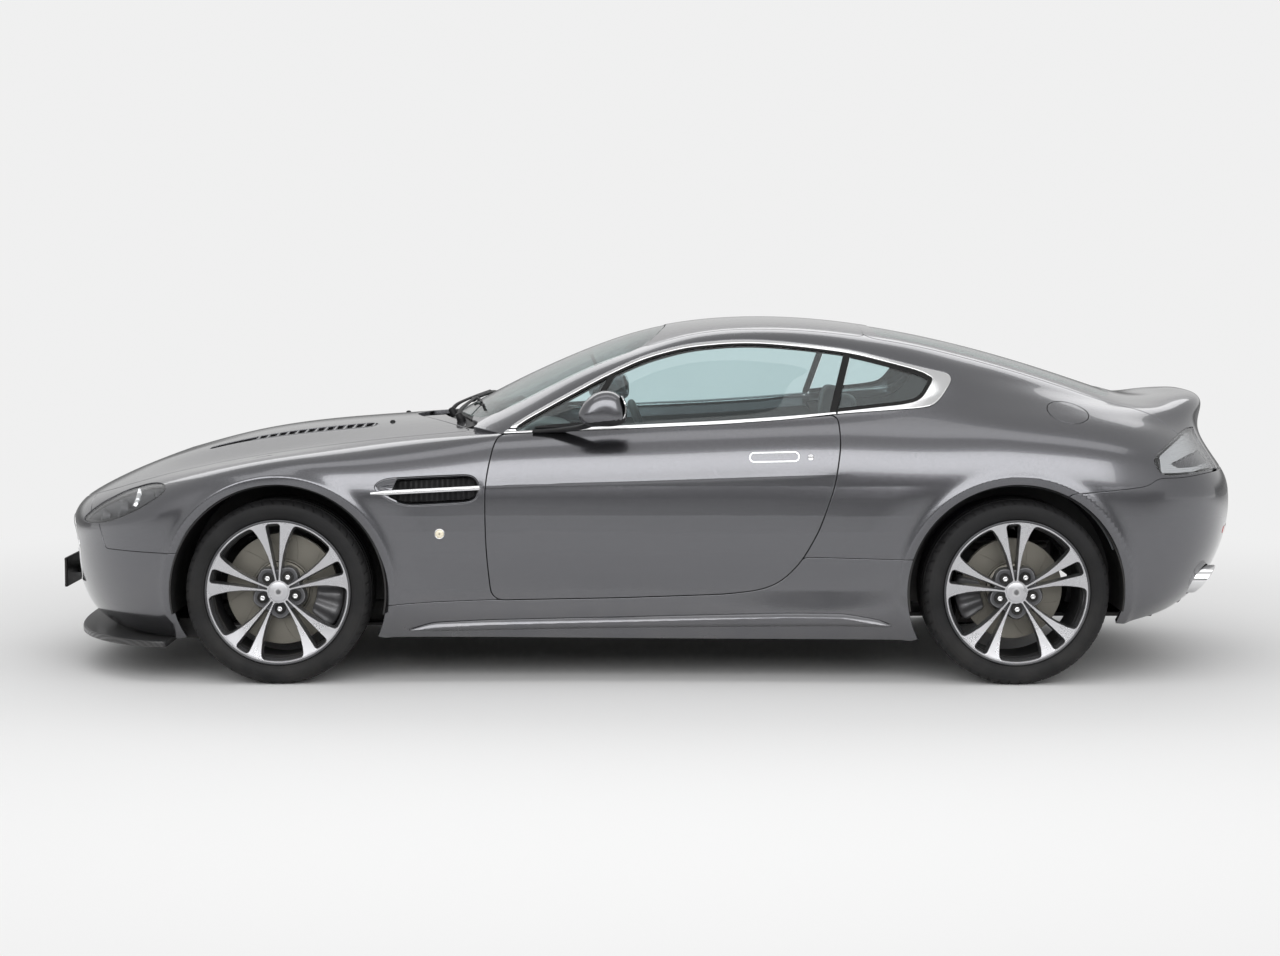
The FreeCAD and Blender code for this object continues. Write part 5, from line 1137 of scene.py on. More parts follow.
arches = [in_circle(AXLE_FRONT, AXLE_Z, ARCH_RADIUS), in_circle(AXLE_REAR, AXLE_Z, ARCH_RADIUS)]
no_arch = out_of(either(*arches))
door_line = soft(DOOR_FRONT + DOOR_BOTTOM + DOOR_REAR + BELT, 45.0)
window_line = soft([(-505, 880, 6)] + BELT[::-1] + [DOOR_REAR[-1], (985, 971, 40), (1040, 984, 60),
                   (1103, 1066, 26), (1092, 1090, 22)] + WINDOW_TOP, 60.0)
belt_line = [(-700, 870), (-505, 880)] + BELT[::-1] + [(682, 944), (1200, 990)]
door_zone = in_side(door_line)
window_zone = in_side(window_line)
bonnet_zone = in_plan(ring_of(BONNET_PLAN, 1, 60.0))
screen_zone = in_plan(ring_of(SCREEN_PLAN, 1, 60.0))
roof_zone = in_plan(ring_of(ROOF_PLAN, 1, 40.0))
hatch_zone = in_plan(ring_of(HATCH_PLAN, 1, 60.0))
rear_glass_zone = in_plan(ring_of(REAR_GLASS_PLAN, 1, 50.0))
front_bumper_zone = in_side(soft(BUMPER_FRONT_LINE, 12.0))
rear_bumper_zone = in_side(soft(BUMPER_REAR_LINE, 25.0))
head_zone = in_side(soft(HEADLAMP_LINE, 30.0))
tail_zone = both(in_side(soft(TAIL_LAMP_LINE, 30.0)),
                 lambda p: np.abs(p[:, 1]) - 470.0 - 0.9 * (885.0 - p[:, 2]))
sill_zone = in_side(soft([(-1100, 272), (-900, 280), (-737, 291)] + [DOOR_FRONT[-1]] + DOOR_BOTTOM
                         + [(1200, 438), (1200, 60), (-1100, 60)], 20.0))
grille_zone = in_front(ring_of(GRILLE_FRONT, 0, 40.0))
cowl_line = [(-900, 935), (-640, 905), (-505, 881), (-300, 870)]
below_cowl = out_of(above(cowl_line), 0.0)


def stations(x0, x1, step, *fine):
    """Stations between two places, closer together inside each fine (x0, x1, step)."""
    xs = lines(x0, x1, step)
    for f0, f1, fs in fine:
        xs = np.concatenate([xs[(xs < f0) | (xs > f1)], lines(f0, f1, fs)])
    return along(np.unique(xs))


def levels(r0, r1, rows, per_row, *fine):
    """Heights between two rails, per_row to each rail space, closer in each fine (r0, r1, n)."""
    vs = lines(r0, r1, 1.0 / per_row)
    for f0, f1, n in fine:
        vs = np.concatenate([vs[(vs < f0) | (vs > f1)], lines(f0, f1, 1.0 / n)])
    return np.unique(vs) / rows


nose_fan = 1.0 - np.linspace(1.0, 0.0, 110) ** 1.05
tail_fan = 2.0 + np.linspace(0.0, 1.0, 110)
nose_to_door = np.concatenate([nose_fan, stations(-1278, -505, 12, (-1278, -860, 6))])
bonnet_grid = np.concatenate([nose_fan, stations(-1278, -505, 12, (-1278, -990, 6))])
arch_rows = levels(0.04, 11, FRONT_ROWS, 10, (1, 6, 22))


def tip_zone(p):
    """Field of the round exhaust openings in the tail."""
    return np.where(p[:, 0] > 1850.0, 54.0 - np.hypot(np.abs(p[:, 1]) - 640.0, p[:, 2] - 345.0), -50.0)


def rear_plate_zone(p):
    """Field of the number plate's recess in the tail."""
    return np.where(p[:, 0] > 1900.0, pill(p[:, 1], p[:, 2], 0.0, 612.0, 286.0, 72.0, 20.0), -50.0)


side_line = lambda corners, radius=30.0: in_side(soft(corners, radius))
VENT_LINE = [(-950, 694), (-938, 716), (-905, 731), (-774, 738), (-617, 744), (-590, 732), (-579, 706),
             (-580, 686), (-590, 655), (-620, 643), (-730, 637), (-828, 633), (-868, 643), (-909, 664)]
vent_zone = side_line(VENT_LINE, 26.0)
flap_centre, flap_way = landed(CABIN, 1507.0, 955.0, guess=(2.08, 0.67))
flap_centre, flap_way = flap_centre[0], flap_way[0]


def in_disc(radius):
    """Field of a round hole bored square to the skin at the fuel flap's middle."""
    def field(p):
        away = p - flap_centre
        away = away - (away @ flap_way)[:, None] * flap_way
        return np.where(p[:, 0] > 1300.0, radius - np.linalg.norm(away, axis=1), -50.0)
    return field


def louvre_field(grow):
    """Field in plan of a long pill that narrows towards the nose, on both sides of the bonnet."""
    def field(p):
        x = np.clip((p[:, 0] + 1600.0) / 590.0, 0.0, 1.0)
        radius = 26.0 + 30.0 * x
        middle = 334.0 + 22.0 * x
        along_x = np.clip(p[:, 0], -1590.0, -1040.0)
        return np.where(p[:, 2] > 600,
                        radius + grow - np.hypot(p[:, 0] - along_x, np.abs(p[:, 1]) - middle), -50.0)
    return field


# ------------------------------------------------------------------ painted panels
half_gap = SHUT / 2.0
fender_fields = [out_of(front_bumper_zone, SEAM / 2), out_of(bonnet_zone, half_gap), no_arch,
                 out_of(head_zone, 1.5), out_of(door_zone, half_gap), out_of(sill_zone, SEAM / 2),
                 below_cowl,
                 lambda p: -505.0 - p[:, 0], out_of(screen_zone, 1.0), out_of(vent_zone, 0.0)]
fender = panel(FRONT, nose_to_door, arch_rows, fender_fields)
make("fender_skins", whole(fender), "body", [paint], ["front_fenders"])

bonnet = panel(FRONT, bonnet_grid, levels(4, 12, FRONT_ROWS, 10, (8.6, 11.4, 26)),
               [both(bonnet_zone, lambda p: p[:, 2] - 400), out_of(louvre_field(0.0))],
               depth=18.0, back=True, edge=2.5)
make("bonnet_skin", whole(bonnet), "bonnet_lid", [paint, paint, black], ["bonnet"])

bumper = panel(FRONT, np.concatenate([nose_fan, stations(-1278, -1000, 12)]),
               levels(0.04, 9.5, FRONT_ROWS, 12),
               [front_bumper_zone, out_of(bonnet_zone, half_gap), no_arch, out_of(head_zone, 1.5),
                out_of(grille_zone, 0.0)])
make("front_bumper_skin", whole(bumper), "body", [paint], ["front_bumper"])

side_grid = np.concatenate([stations(-620, 1298, 12, (880, 1298, 6)), 2.0 + np.linspace(0.0, 0.35, 90),
                            2.0 + np.linspace(0.36, 1.0, 60)])
side_rows = levels(0.5, 13.4, CABIN_ROWS, 10, (1, 6, 22))
side_fields = [out_of(door_zone, half_gap), out_of(window_zone, 0.0), out_of(sill_zone, SEAM / 2),
               out_of(both(lambda p: -500.0 - p[:, 0], out_of(above(cowl_line))), 0.0), no_arch,
               out_of(rear_bumper_zone, SEAM / 2), out_of(tail_zone, 1.5), out_of(hatch_zone, half_gap),
               out_of(roof_zone, 1.0), out_of(screen_zone, 1.5),
               out_of(both(above(cowl_line), lambda p: -640 - p[:, 0])),
               lambda p: p[:, 0] + 655.0, out_of(bonnet_zone, BONNET_SWING_ROOM)]
side = panel(CABIN, side_grid, side_rows, side_fields, depth=40.0)
make("body_side_skin_right", side, "body", [paint], ["body_side_right"])
side_left = panel(CABIN, side_grid, side_rows, side_fields + [out_of(in_disc(FLAP_HOLE_RADIUS))],
                  depth=40.0)
make("body_side_skin_left", mirror(side_left), "body", [paint], ["body_side_left"])

door_shape = panel(CABIN, stations(-600, 720, 10), levels(1, 10, CABIN_ROWS, 12, (3.6, 5.6, 40)),
                   [both(door_zone,
                         lambda p: np.interp(p[:, 0], [c[0] for c in belt_line],
                                             [c[1] for c in belt_line]) - p[:, 2] + half_gap)],
                   edge=2.0, depth=60.0, back=True)
make("door_skin_right", door_shape, "right_door", [paint, paint, lining], ["door_right"])
make("door_skin_left", mirror(door_shape), "left_door", [paint, paint, lining], ["door_left"])

sill = panel(CABIN, stations(-1000, 1000, 12), levels(0, 4, CABIN_ROWS, 12),
             [sill_zone, out_of(door_zone, half_gap), no_arch])
make("sill_skins", whole(sill), "body", [paint], ["sill_skirts"])

roof = panel(CABIN, stations(-120, 830, 14), levels(11.4, 14, CABIN_ROWS, 12),
             [both(roof_zone, lambda p: p[:, 2] - 1000)])
make("roof_skin", whole(roof), "body", [paint], ["roof_panel"])

hatch_grid = np.concatenate([stations(760, 1298, 12), tail_fan])
hatch = panel(CABIN, hatch_grid, levels(6, 14, CABIN_ROWS, 12),
              [both(hatch_zone, lambda p: p[:, 2] - 741.0), out_of(rear_glass_zone),
               out_of(tail_zone, half_gap)], depth=24.0, back=True)
make("hatch_skin", whole(hatch), "hatch_lid", [paint, paint, lining], ["hatch"])

rear = panel(CABIN, np.concatenate([stations(1200, 1298, 12), tail_fan]), levels(0.1, 7, CABIN_ROWS, 14),
             [rear_bumper_zone, no_arch, out_of(rear_plate_zone), out_of(tip_zone)])
make("rear_bumper_skin", whole(rear), "body", [paint], ["rear_bumper"])

# ------------------------------------------------------------------ glass
inner_line = soft([(-455, 890, 6), (-62, 912), (268, 927), (503, 943), (682, 958), (930, 985, 40),
                   (985, 1000, 30), (1034, 1070, 20), (1022, 1080, 18), (988, 1098), (869, 1129),
                   (749, 1159),
                   (570, 1182), (421, 1195), (308, 1195), (149, 1180), (0, 1141), (-149, 1073), (-328, 977),
                   (-448, 911)], 60.0)
opening = in_side(inner_line)
post_x = lambda p: np.interp(p[:, 2], [950, 1173], [682, 749])
glass_rows = levels(7, 12.2, CABIN_ROWS, 12)
door_glass = panel(CABIN, stations(-520, 800, 14), glass_rows,
                   [both(opening, lambda p: post_x(p) - p[:, 0] - 1.5)],
                   lift=-4.0, edge=0.5, depth=4.0, back=True)
make("door_pane_right", door_glass, "right_door", [side_glass], ["door_glass_right"])
make("door_pane_left", mirror(door_glass), "left_door", [side_glass], ["door_glass_left"])
quarter = panel(CABIN, stations(640, 1120, 14), glass_rows,
                [both(opening, lambda p: p[:, 0] - post_x(p) - 1.5)],
                lift=-4.0, edge=0.5, depth=4.0, back=True)
make("quarter_panes", joined(quarter, mirror(quarter)), "body", [side_glass], ["quarter_glass"])
screen = panel(CABIN, stations(-760, 120, 14), levels(11, 14, CABIN_ROWS, 14),
               [both(screen_zone, lambda p: p[:, 2] - 850)],
               lift=-3.0, edge=0.5, depth=5.0, back=True)
make("windscreen_pane", whole(screen), "body", [screen_glass], ["windscreen"])
rear_pane = panel(CABIN, np.concatenate([stations(820, 1298, 14), tail_fan]),
                  levels(11, 14, CABIN_ROWS, 14),
                  [rear_glass_zone], lift=-3.0, edge=0.5, depth=4.0, back=True)
make("hatch_pane", whole(rear_pane), "hatch_lid", [screen_glass], ["hatch_glass"])

# ------------------------------------------------------------------ window surround
trim_rows = levels(7, 12.6, CABIN_ROWS, 40)
belt_z = lambda p: np.interp(p[:, 0], [c[0] for c in belt_line], [c[1] for c in belt_line])
surround = both(window_zone, out_of(opening, 0.0))
fixed_trim = panel(CABIN, stations(-520, 1120, 6), trim_rows, [surround,
                    either(lambda p: p[:, 2] - belt_z(p) - 17.0, lambda p: p[:, 0] - post_x(p) - 1.0)],
                   lift=2.0, edge=3.0, depth=8.0)
make("window_surround", joined(fixed_trim, mirror(fixed_trim)), "body", [chrome])
belt_trim = panel(CABIN, stations(-520, 760, 6), trim_rows, [surround,
                   both(lambda p: belt_z(p) + 15.0 - p[:, 2], lambda p: post_x(p) - p[:, 0] - 2.0)],
                  lift=2.0, edge=3.0, depth=8.0)
make("belt_strip_right", belt_trim, "right_door", [chrome])
make("belt_strip_left", mirror(belt_trim), "left_door", [chrome])


# ------------------------------------------------------------------ lamps, vents and fittings, right side
nose_fine = np.concatenate([1.0 - np.linspace(1.0, 0.0, 260) ** 1.05, stations(-1288, -505, 5)])


def inner_rim(field, width):
    """Band inside a field's edge."""
    return lambda p: width - np.abs(field(p) - width)


def dish(field, start, depth, reach):
    """Relief of a bowl: start deep at the edge of a field, and depth more at reach from it."""
    return lambda p: relief(p) - start - depth * ease(field(p) / reach)


head_lens = panel(FRONT, nose_fine, levels(4, 10.5, FRONT_ROWS, 20), [head_zone], lift=-1.0, edge=1.0,
                  depth=5.0, back=True)
make("headlamp_lens", joined(head_lens, mirror(head_lens)), "body", [lamp_glass], ["headlamps"])
head_bowl = panel(FRONT, nose_fine, levels(4, 10.5, FRONT_ROWS, 20), [lambda p: head_zone(p) + 3.0],
                  edge=0.5,
                  depth=6.0, feature=dish(head_zone, 10.0, 42.0, 26.0))
make("headlamp_bowl", joined(head_bowl, mirror(head_bowl)), "body", [caliper_grey])
head_rim = panel(FRONT, nose_fine, levels(4, 10.5, FRONT_ROWS, 30), [inner_rim(head_zone, 4.0)], lift=-7.0,
                 edge=0.8, depth=4.0)
make("headlamp_rim", joined(head_rim, mirror(head_rim)), "body", [black])


def projector(x, z, radius, deep):
    """A bullet-shaped lamp: bowl, ring and glass eye, looking ahead and a little outwards."""
    place, way = landed(FRONT, x, z, guess=(0.8, 0.6))
    look = unit(np.array([-0.93, 0.30, 0.12]))
    seat = place[0] - way[0] * deep
    bowl = spun([(radius * 0.55, -26), (radius * 0.8, -16), (radius, 0), (radius + 2.5, 1.5),
                 (radius + 4, 0),
                 (radius + 4, -26)][::-1], seat, look, 40)
    angle = np.linspace(0.0, math.pi / 2, 9)
    eye = spun(np.stack([radius * 0.66 * np.sin(angle), -12 + 14 * np.cos(angle)], 1)[::-1], seat, look, 32)
    return joined(bowl, turned(eye, 1))


lamps = joined(projector(-1908, 616, 33, 30), projector(-1752, 668, 20, 26), projector(-1982, 580, 22, 24))
make("headlamp_projectors", joined(lamps, mirror(lamps)), "body", [caliper_grey, lamp_glass])
bar_path, bar_way = landed(FRONT, [-1816, -1810, -1806, -1806, -1812], [622, 636, 652, 668, 680],
                           guess=(0.85, 0.6))
bar = tube(smooth_path(bar_path - bar_way * 9.0, 8), round_section(10.5, 14, 0.5), up=(0.3, 1.0, 0.2))
make("headlamp_light_bar", joined(bar, mirror(bar)), "body", [reflector])

tail_rows = levels(4, 10, CABIN_ROWS, 24)
tail_fine = 2.0 + np.linspace(0.0, 1.0, 300)
wedge = side_line([(1868, 782), (1950, 806), (2230, 846), (2230, 778), (1900, 764)], 14.0)
band_zone = both(lambda p: tail_zone(p) - 9.0, lambda p: p[:, 0] - 1828.0, out_of(wedge))
tail_lens = panel(CABIN, tail_fine, tail_rows, [tail_zone], lift=-0.5, edge=1.0, depth=5.0, back=True)
make("tail_lamp_lens", joined(tail_lens, mirror(tail_lens)), "body", [lamp_glass], ["tail_lamps"])
tail_bowl = panel(CABIN, tail_fine, tail_rows, [lambda p: tail_zone(p) + 3.0], edge=0.5, depth=6.0,
                  feature=dish(tail_zone, 8.0, 22.0, 12.0))
make("tail_lamp_bowl", joined(tail_bowl, mirror(tail_bowl)), "body", [gloss_black])
tail_band = panel(CABIN, tail_fine, tail_rows, [band_zone], edge=1.5, depth=12.0,
                  feature=lambda p: relief(p) - 13.0 + 1.4 * np.sin(p[:, 2] * 0.9))
make("tail_lamp_band", joined(tail_band, mirror(tail_band)), "body", [reflector])
tail_core = panel(CABIN, tail_fine, tail_rows, [both(wedge, lambda p: tail_zone(p) - 6.0)], edge=1.5,
                  depth=8.0,
                  feature=lambda p: relief(p) - 20.0 + 1.0 * np.cos(p[:, 0] * 0.7))
make("tail_lamp_core", joined(tail_core, mirror(tail_core)), "body", [caliper_grey])

# side vents: a scooped surround, black mesh behind, a bright strake across
vent_rows = levels(3, 8, FRONT_ROWS, 40)
vent_stations = stations(-965, -565, 4)
mouth = both(lambda p: vent_zone(p) - 9.0, lambda p: p[:, 0] + 884.0 - (p[:, 2] - 690.0) * 0.45)
scoop = panel(FRONT, vent_stations, vent_rows, [lambda p: vent_zone(p) - 0.5, out_of(mouth)], edge=1.0,
              depth=24.0,
              feature=lambda p: relief(p) - 15.0 * ease((vent_zone(p) - 1.0) / np.where(p[:, 0] < -868,
                  34.0, 12.0)))
make("side_vent_scoops", joined(scoop, mirror(scoop)), "body", [paint, black])
vent_back = panel(FRONT, vent_stations, vent_rows, [mouth], edge=0.5, depth=2.0,
                  feature=lambda p: relief(p) - 30.0 + 1.6 * np.sin((p[:, 0] + p[:, 2]) * 0.7)
                  * np.sin((p[:, 0] - p[:, 2]) * 0.7))
make("side_vent_mesh", joined(vent_back, mirror(vent_back)), "body", [black])
sx = np.linspace(-959, -577, 40)
strake_path, strake_way = landed(FRONT, sx, np.interp(sx, [-959, -577], [678.5, 696.5]), guess=(1.2, 0.42))
strake_scale = 0.45 + 0.55 * ease((sx + 959) / 60.0)
strake = tube(strake_path + strake_way * 1.5, round_section(5.8, 14, 1.5), up=(0.0, 0.0, 1.0),
              scale=strake_scale)
make("side_strakes", joined(strake, mirror(strake)), "body", [chrome])
spot, _ = landed(FRONT, -719, 535, guess=(1.2, 0.3))
ring = lathe(soft([(14.6, spot[0, 1] - 6, 0), (18.4, spot[0, 1] - 6, 0), (18.0, spot[0, 1] + 3.4, 1.5),
                   (15.4, spot[0, 1] + 3.6, 1.2)], 1, True, 4)[::-1], -719, 0, 535, 40)
lens = lathe(soft([(0, spot[0, 1] + 5.2, 0), (10, spot[0, 1] + 4.6, 4), (15.6, spot[0, 1] + 1.6, 2),
                   (15.8, spot[0, 1] - 6, 0)], 2, False, 5)[::-1], -719, 0, 535, 40)
repeater = joined(ring, turned(lens, 1))
make("side_repeaters", joined(repeater, mirror(repeater)), "body", [chrome, cream])

# door handles and locks
handle_rows = levels(5.3, 6.5, CABIN_ROWS, 60)
handle_stations = stations(362, 552, 3)
handle_field = lambda grow: (lambda p: pill(p[:, 0], p[:, 2] - 0.02 * (p[:, 0] - 457.0), 457.0, 804.0,
                                            88.0 + grow, 18.0 + grow, 17.0 + grow))
handle_edge = panel(CABIN, handle_stations, handle_rows, [handle_field(0.0), out_of(handle_field(-4.5))],
                    lift=0.8, edge=1.0, depth=6.0)
handle_bar = panel(CABIN, handle_stations, handle_rows, [handle_field(-6.5)], lift=-0.5, edge=2.0,
                   depth=5.0,
                   feature=lambda p: relief(p) - 5.0 * ease((handle_field(-6.5)(p) - 2.0) / 9.0)
                   * ease((p[:, 0] - 372.0) / 20.0))
lock_place, _ = landed(CABIN, 584, 803, guess=(1.7, 0.43))
lock = lathe(soft([(0, 2.0, 0), (4.0, 2.0, .5), (4.6, 1.0, .5), (9.0, 2.6, 1.5), (10.8, 1.0, 1),
                   (11.0, -5, 0)], 1,
                  False, 4)[::-1] + [0.0, lock_place[0, 1]], 584, 0, 803, 36)
for sign, side_name in ((1, "right"), (-1, "left")):
    hand = (lambda part: part) if sign > 0 else mirror
    make("door_handle_edge_" + side_name, hand(handle_edge), side_name + "_door", [chrome])
    make("door_handle_" + side_name, hand(handle_bar), side_name + "_door", [paint])
    make("door_lock_" + side_name, hand(lock), side_name + "_door", [chrome])

# mirrors: a shell whose side outline shrinks towards its ends
MIRROR_LINE = soft([(-238, 946), (-214, 996), (-172, 1034), (-118, 1043), (-76, 1020), (-58, 966),
                    (-64, 924),
                    (-110, 914), (-200, 916)], 30.0)
q = np.sin(np.linspace(-math.pi / 2, math.pi / 2, 37))
size = np.maximum((1.0 - np.abs(q) ** 3.4) ** (1 / 2.6), 2e-3)
mirror_middle = np.array([-142.0, 974.0])
rings = mirror_middle + (MIRROR_LINE - mirror_middle) * size[:, None, None]
shell_points = np.stack([rings[..., 0], np.broadcast_to((938.0 + 72.0 * q)[:, None], rings.shape[:2]),
                         rings[..., 1]], -1)
shell = sheet(shell_points[:, ::-1], wrap_t=True)
heights = shell.p[shell.tri].mean(1)
shell.group = np.where(heights[:, 2] < 936.0 + 0.10 * (heights[:, 0] + 140.0), 1, 0)
looking = plate(875, 1001, 926, 1030, 4.0, lambda u, w: pill(u, w, 938.0, 978.0, 58.0, 46.0, 30.0),
                lambda u, w: (np.stack([-62.0 - 0.35 * (w - 978.0) ** 2 / 46.0, u, w], 1),
                              np.tile([1.0, 0.0, 0.0], (len(u), 1))), edge=1.0, depth=4.0)
foot_path = smooth_path([(-392, 792, 888), (-330, 806, 892), (-270, 836, 899), (-215, 872, 910),
                         (-178, 905, 926)], 8)
foot = tube(foot_path, round_section(27.0, 16, 0.36), up=(0, 0, 1),
            scale=np.linspace(0.8, 1.1, len(foot_path)))
base = panel(CABIN, stations(-440, -180, 5), levels(7, 10, CABIN_ROWS, 40),
             [side_line([(-436, 897), (-335, 912), (-210, 920), (-188, 906), (-198, 902)], 20.0)], lift=5.0,
             edge=3.0, depth=8.0)
for sign, side_name in ((1, "right"), (-1, "left")):
    hand = (lambda part: part) if sign > 0 else mirror
    body = side_name + "_door"
    make("mirror_shell_" + side_name, hand(shell), body, [paint, black], ["mirror_" + side_name])
    make("mirror_face_" + side_name, hand(looking), body, [chrome])
    make("mirror_foot_" + side_name, hand(joined(foot, base)), body, [black])

# fuel flap, on the left only; worked out on the right and mirrored
flap_t = 2.0 + np.linspace(0.02, 0.20, 90)
flap_skin = panel(CABIN, flap_t, levels(7.5, 11.5, CABIN_ROWS, 30), [in_disc(FLAP_RADIUS)], edge=2.0,
                  depth=7.0, back=True)
make("fuel_flap_skin", mirror(flap_skin), "fuel_lid", [paint], ["fuel_flap"])
cup = panel(CABIN, flap_t, levels(7.5, 11.5, CABIN_ROWS, 30), [in_disc(FLAP_CUP_RADIUS)], lift=-34.0,
            edge=0.5, depth=3.0)
cap_ring = spun([(0, 8), (18, 8), (22, 5), (24, -2), (40, -3), (43, -8), (44, -14)],
                flap_centre - flap_way * 24.0, flap_way, 40)
make("fuel_filler", mirror(joined(cup, cap_ring)), "body", [black])

# sill blades
blade_zone = side_line([(-850, 187), (-749, 219), (-567, 227), (-82, 237), (524, 253), (707, 252),
                        (828, 231),
                        (882, 208), (858, 203), (700, 206), (-82, 196), (-700, 186)], 30.0)
blade = panel(CABIN, stations(-862, 890, 10), levels(0.3, 3, CABIN_ROWS, 36), [blade_zone], edge=1.5,
              depth=10.0,
              feature=lambda p: relief(p) + 17.0 * np.sqrt(np.clip(blade_zone(p) / 15.0, 0.0, 1.0)))
make("sill_blades", joined(blade, mirror(blade)), "body", [paint])

# bonnet louvres: a pill-shaped well with slats across, and a raised rim
louvre_stations = stations(-1660, -955, 5)
louvre_rows = levels(8, 12, FRONT_ROWS, 60)
well = panel(FRONT, louvre_stations, louvre_rows, [louvre_field(1.0)], edge=0.5, depth=3.0,
             feature=lambda p: relief(p) - 28.0 * ease((louvre_field(0.0)(p) + 1.0) / 4.0) - 4.0)
make("bonnet_vent_wells", joined(well, mirror(well)), "bonnet_lid", [black])
vent_rim = panel(FRONT, louvre_stations, louvre_rows, [louvre_field(4.0), out_of(louvre_field(-3.0))],
                 lift=1.2, edge=2.4, depth=8.0)
make("bonnet_vent_rims", joined(vent_rim, mirror(vent_rim)), "bonnet_lid", [paint])
slat_step = 36.0
slat_band = lambda p: 9.0 - np.abs(((p[:, 0] + 1600.0) % slat_step) - slat_step / 2.0)
slats = panel(FRONT, louvre_stations, louvre_rows, [both(louvre_field(-3.5), slat_band)], edge=1.6,
              depth=6.0,
              feature=lambda p: relief(p) - 9.0 + 15.0 * (((p[:, 0] + 1600.0) % slat_step) / slat_step))
make("bonnet_vent_slats", joined(slats, mirror(slats)), "bonnet_lid", [paint])

# grille: bright rim, blades of wing section, mesh behind
grille_fan = 1.0 - np.linspace(1.0, 0.52, 190) ** 1.05
grille_levels = levels(1.5, 8.5, FRONT_ROWS, 26)
grille_rim = panel(FRONT, grille_fan, grille_levels,
                   [both(lambda p: grille_zone(p) - 1.0, lambda p: 15.0 - grille_zone(p))],
                   lift=1.5, edge=4.0, depth=12.0)
make("grille_rim", whole(grille_rim), "body", [chrome], ["grille"])
blades = panel(FRONT, grille_fan, levels(1.5, 8.5, FRONT_ROWS, 40),
               [both(lambda p: grille_zone(p) - 12.0,
                     lambda p: 8.0 - np.abs((p[:, 2] - 318.0 + 23.0) % 46.0 - 23.0),
                     lambda p: p[:, 2] - 300.0, lambda p: 520.0 - p[:, 2])], edge=2.5, depth=14.0,
               feature=lambda p: relief(p) - 12.0 - 4.0 * ((p[:, 2] - 318.0) % 46.0 > 23.0))
make("grille_blades", whole(blades), "body", [machined])
mesh_back = panel(FRONT, grille_fan, grille_levels, [lambda p: grille_zone(p) - 2.0], edge=0.5, depth=4.0,
                  feature=lambda p: relief(p) - 30.0 + 2.0 * np.sin((p[:, 1] + p[:,
                      2]) * 0.5) * np.sin((p[:, 1] - p[:, 2]) * 0.5))
make("grille_mesh", whole(mesh_back), "body", [black])

# front number plate holder, blank
holder = rounded_block((-2182.8, -262, 268), (-2172.0, 262, 380), 5.0)
holder_arm = rounded_block((-2174, -60, 300), (-2100, 60, 330), 6.0)
make("plate_holder_front", joined(holder, holder_arm), "body", [black], ["plate_holder"])

# splitter and the wall above it
PLAN_EDGE = soft([(-2125, -1), (-2118, 200, 200), (-2085, 430, 200), (-2010, 620, 200), (-1900, 770, 200),
                  (-1790, 850, 200),
                  (-1672, 880)], 200.0, closed=False)
edge_x = lambda y: np.interp(np.abs(y), PLAN_EDGE[:, 1], PLAN_EDGE[:, 0])
riser_x = lambda y: 45.0 + np.interp(np.abs(y) * 1.12, [0, 300, 520, 720, 830, 900],
                                     [-2040, -2030, -1960, -1850, -1720, -1620])
blade_field = lambda y, x: np.minimum(np.minimum(x - edge_x(y), -1690.0 - x), 876.0 - np.abs(y)) * 0.8
splitter_top = plate(-880, 880, -2130, -1672, 11.0, blade_field, lambda y,
                     x: (np.stack([x, y, 150.0 + 0.0 * x], 1), np.tile([0.0, 0.0, 1.0], (len(x), 1))),
                     edge=7.0, depth=21.0)
make("splitter_blade", splitter_top, "body", [carbon], ["splitter"])
wall_y = np.linspace(-850, 850, 121)
wall_z = np.linspace(149, 218, 9)
wall_x = np.broadcast_to(riser_x(wall_y)[:, None], (len(wall_y), len(wall_z)))
wall = sheet(np.stack([wall_x, np.broadcast_to(wall_y[:, None], wall_x.shape),
                       np.broadcast_to(wall_z, wall_x.shape)], -1))
make("splitter_wall", wall, "body", [black])

# exhaust: silencer, pipes and tips cut to the slope of the bumper
def slanted(part):
    """The tip's end leans with the bumper: its places move along X by their height."""
    lean = 0.78 * (part.p[:, 2] - 345.0) * ease((part.p[:, 0] - 1930.0) / 70.0)
    return Part(part.p + np.stack([lean, 0.0 * lean, 0.0 * lean], 1), part.n, part.tri, part.group)


tips = []
works = [rounded_block((1640, -430, 260), (1880, 430, 400), 46.0),
         rounded_block((1704, -56, 207), (1796, 56, 270), 8.0)]
for y in (640.0, -640.0):
    tips.append(slanted(spun([(38, -70), (40, -30), (42.5, -4), (44.5, 0), (48.5, 0), (50.5, -4), (50, -20),
                              (49.5, -190)],
                             (2026.0, y, 345.0), (1.0, 0.0, 0.0), 56)))
    tips.append(turned(slanted(spun([(0, -34), (30, -34), (40.5, -32)], (2026.0, y, 345.0), (1.0, 0.0, 0.0),
                                    40)), 1))
    works.append(tube([(1780, y, 345), (1850, y, 345), (1960, y, 345)], round_section(44.0, 28),
                      up=(0, 0, 1)))
    works.append(tube([(1800, y * 0.62, 345), (1800, y * 0.8, 345), (1800, y, 345)],
                      round_section(26.0, 24), up=(0, 0, 1)))
make("exhaust_tips", joined(*tips), "body", [chrome, black])
make("exhaust_system", joined(*works), "body", [steel], ["exhaust"])


# ------------------------------------------------------------------ wheels, for the right side
SPOKE_INNER = ([30, 48, 235, 260], [0.8, 3.2, 25.0, 27.0])
SPOKE_OUTER = ([30, 46, 60, 90, 130, 170, 205, 228, 245, 262],
               [9.5, 10.5, 12.5, 18.5, 28, 42, 59, 74, 90, 110])
PAIR_TURN = math.radians(93.7)


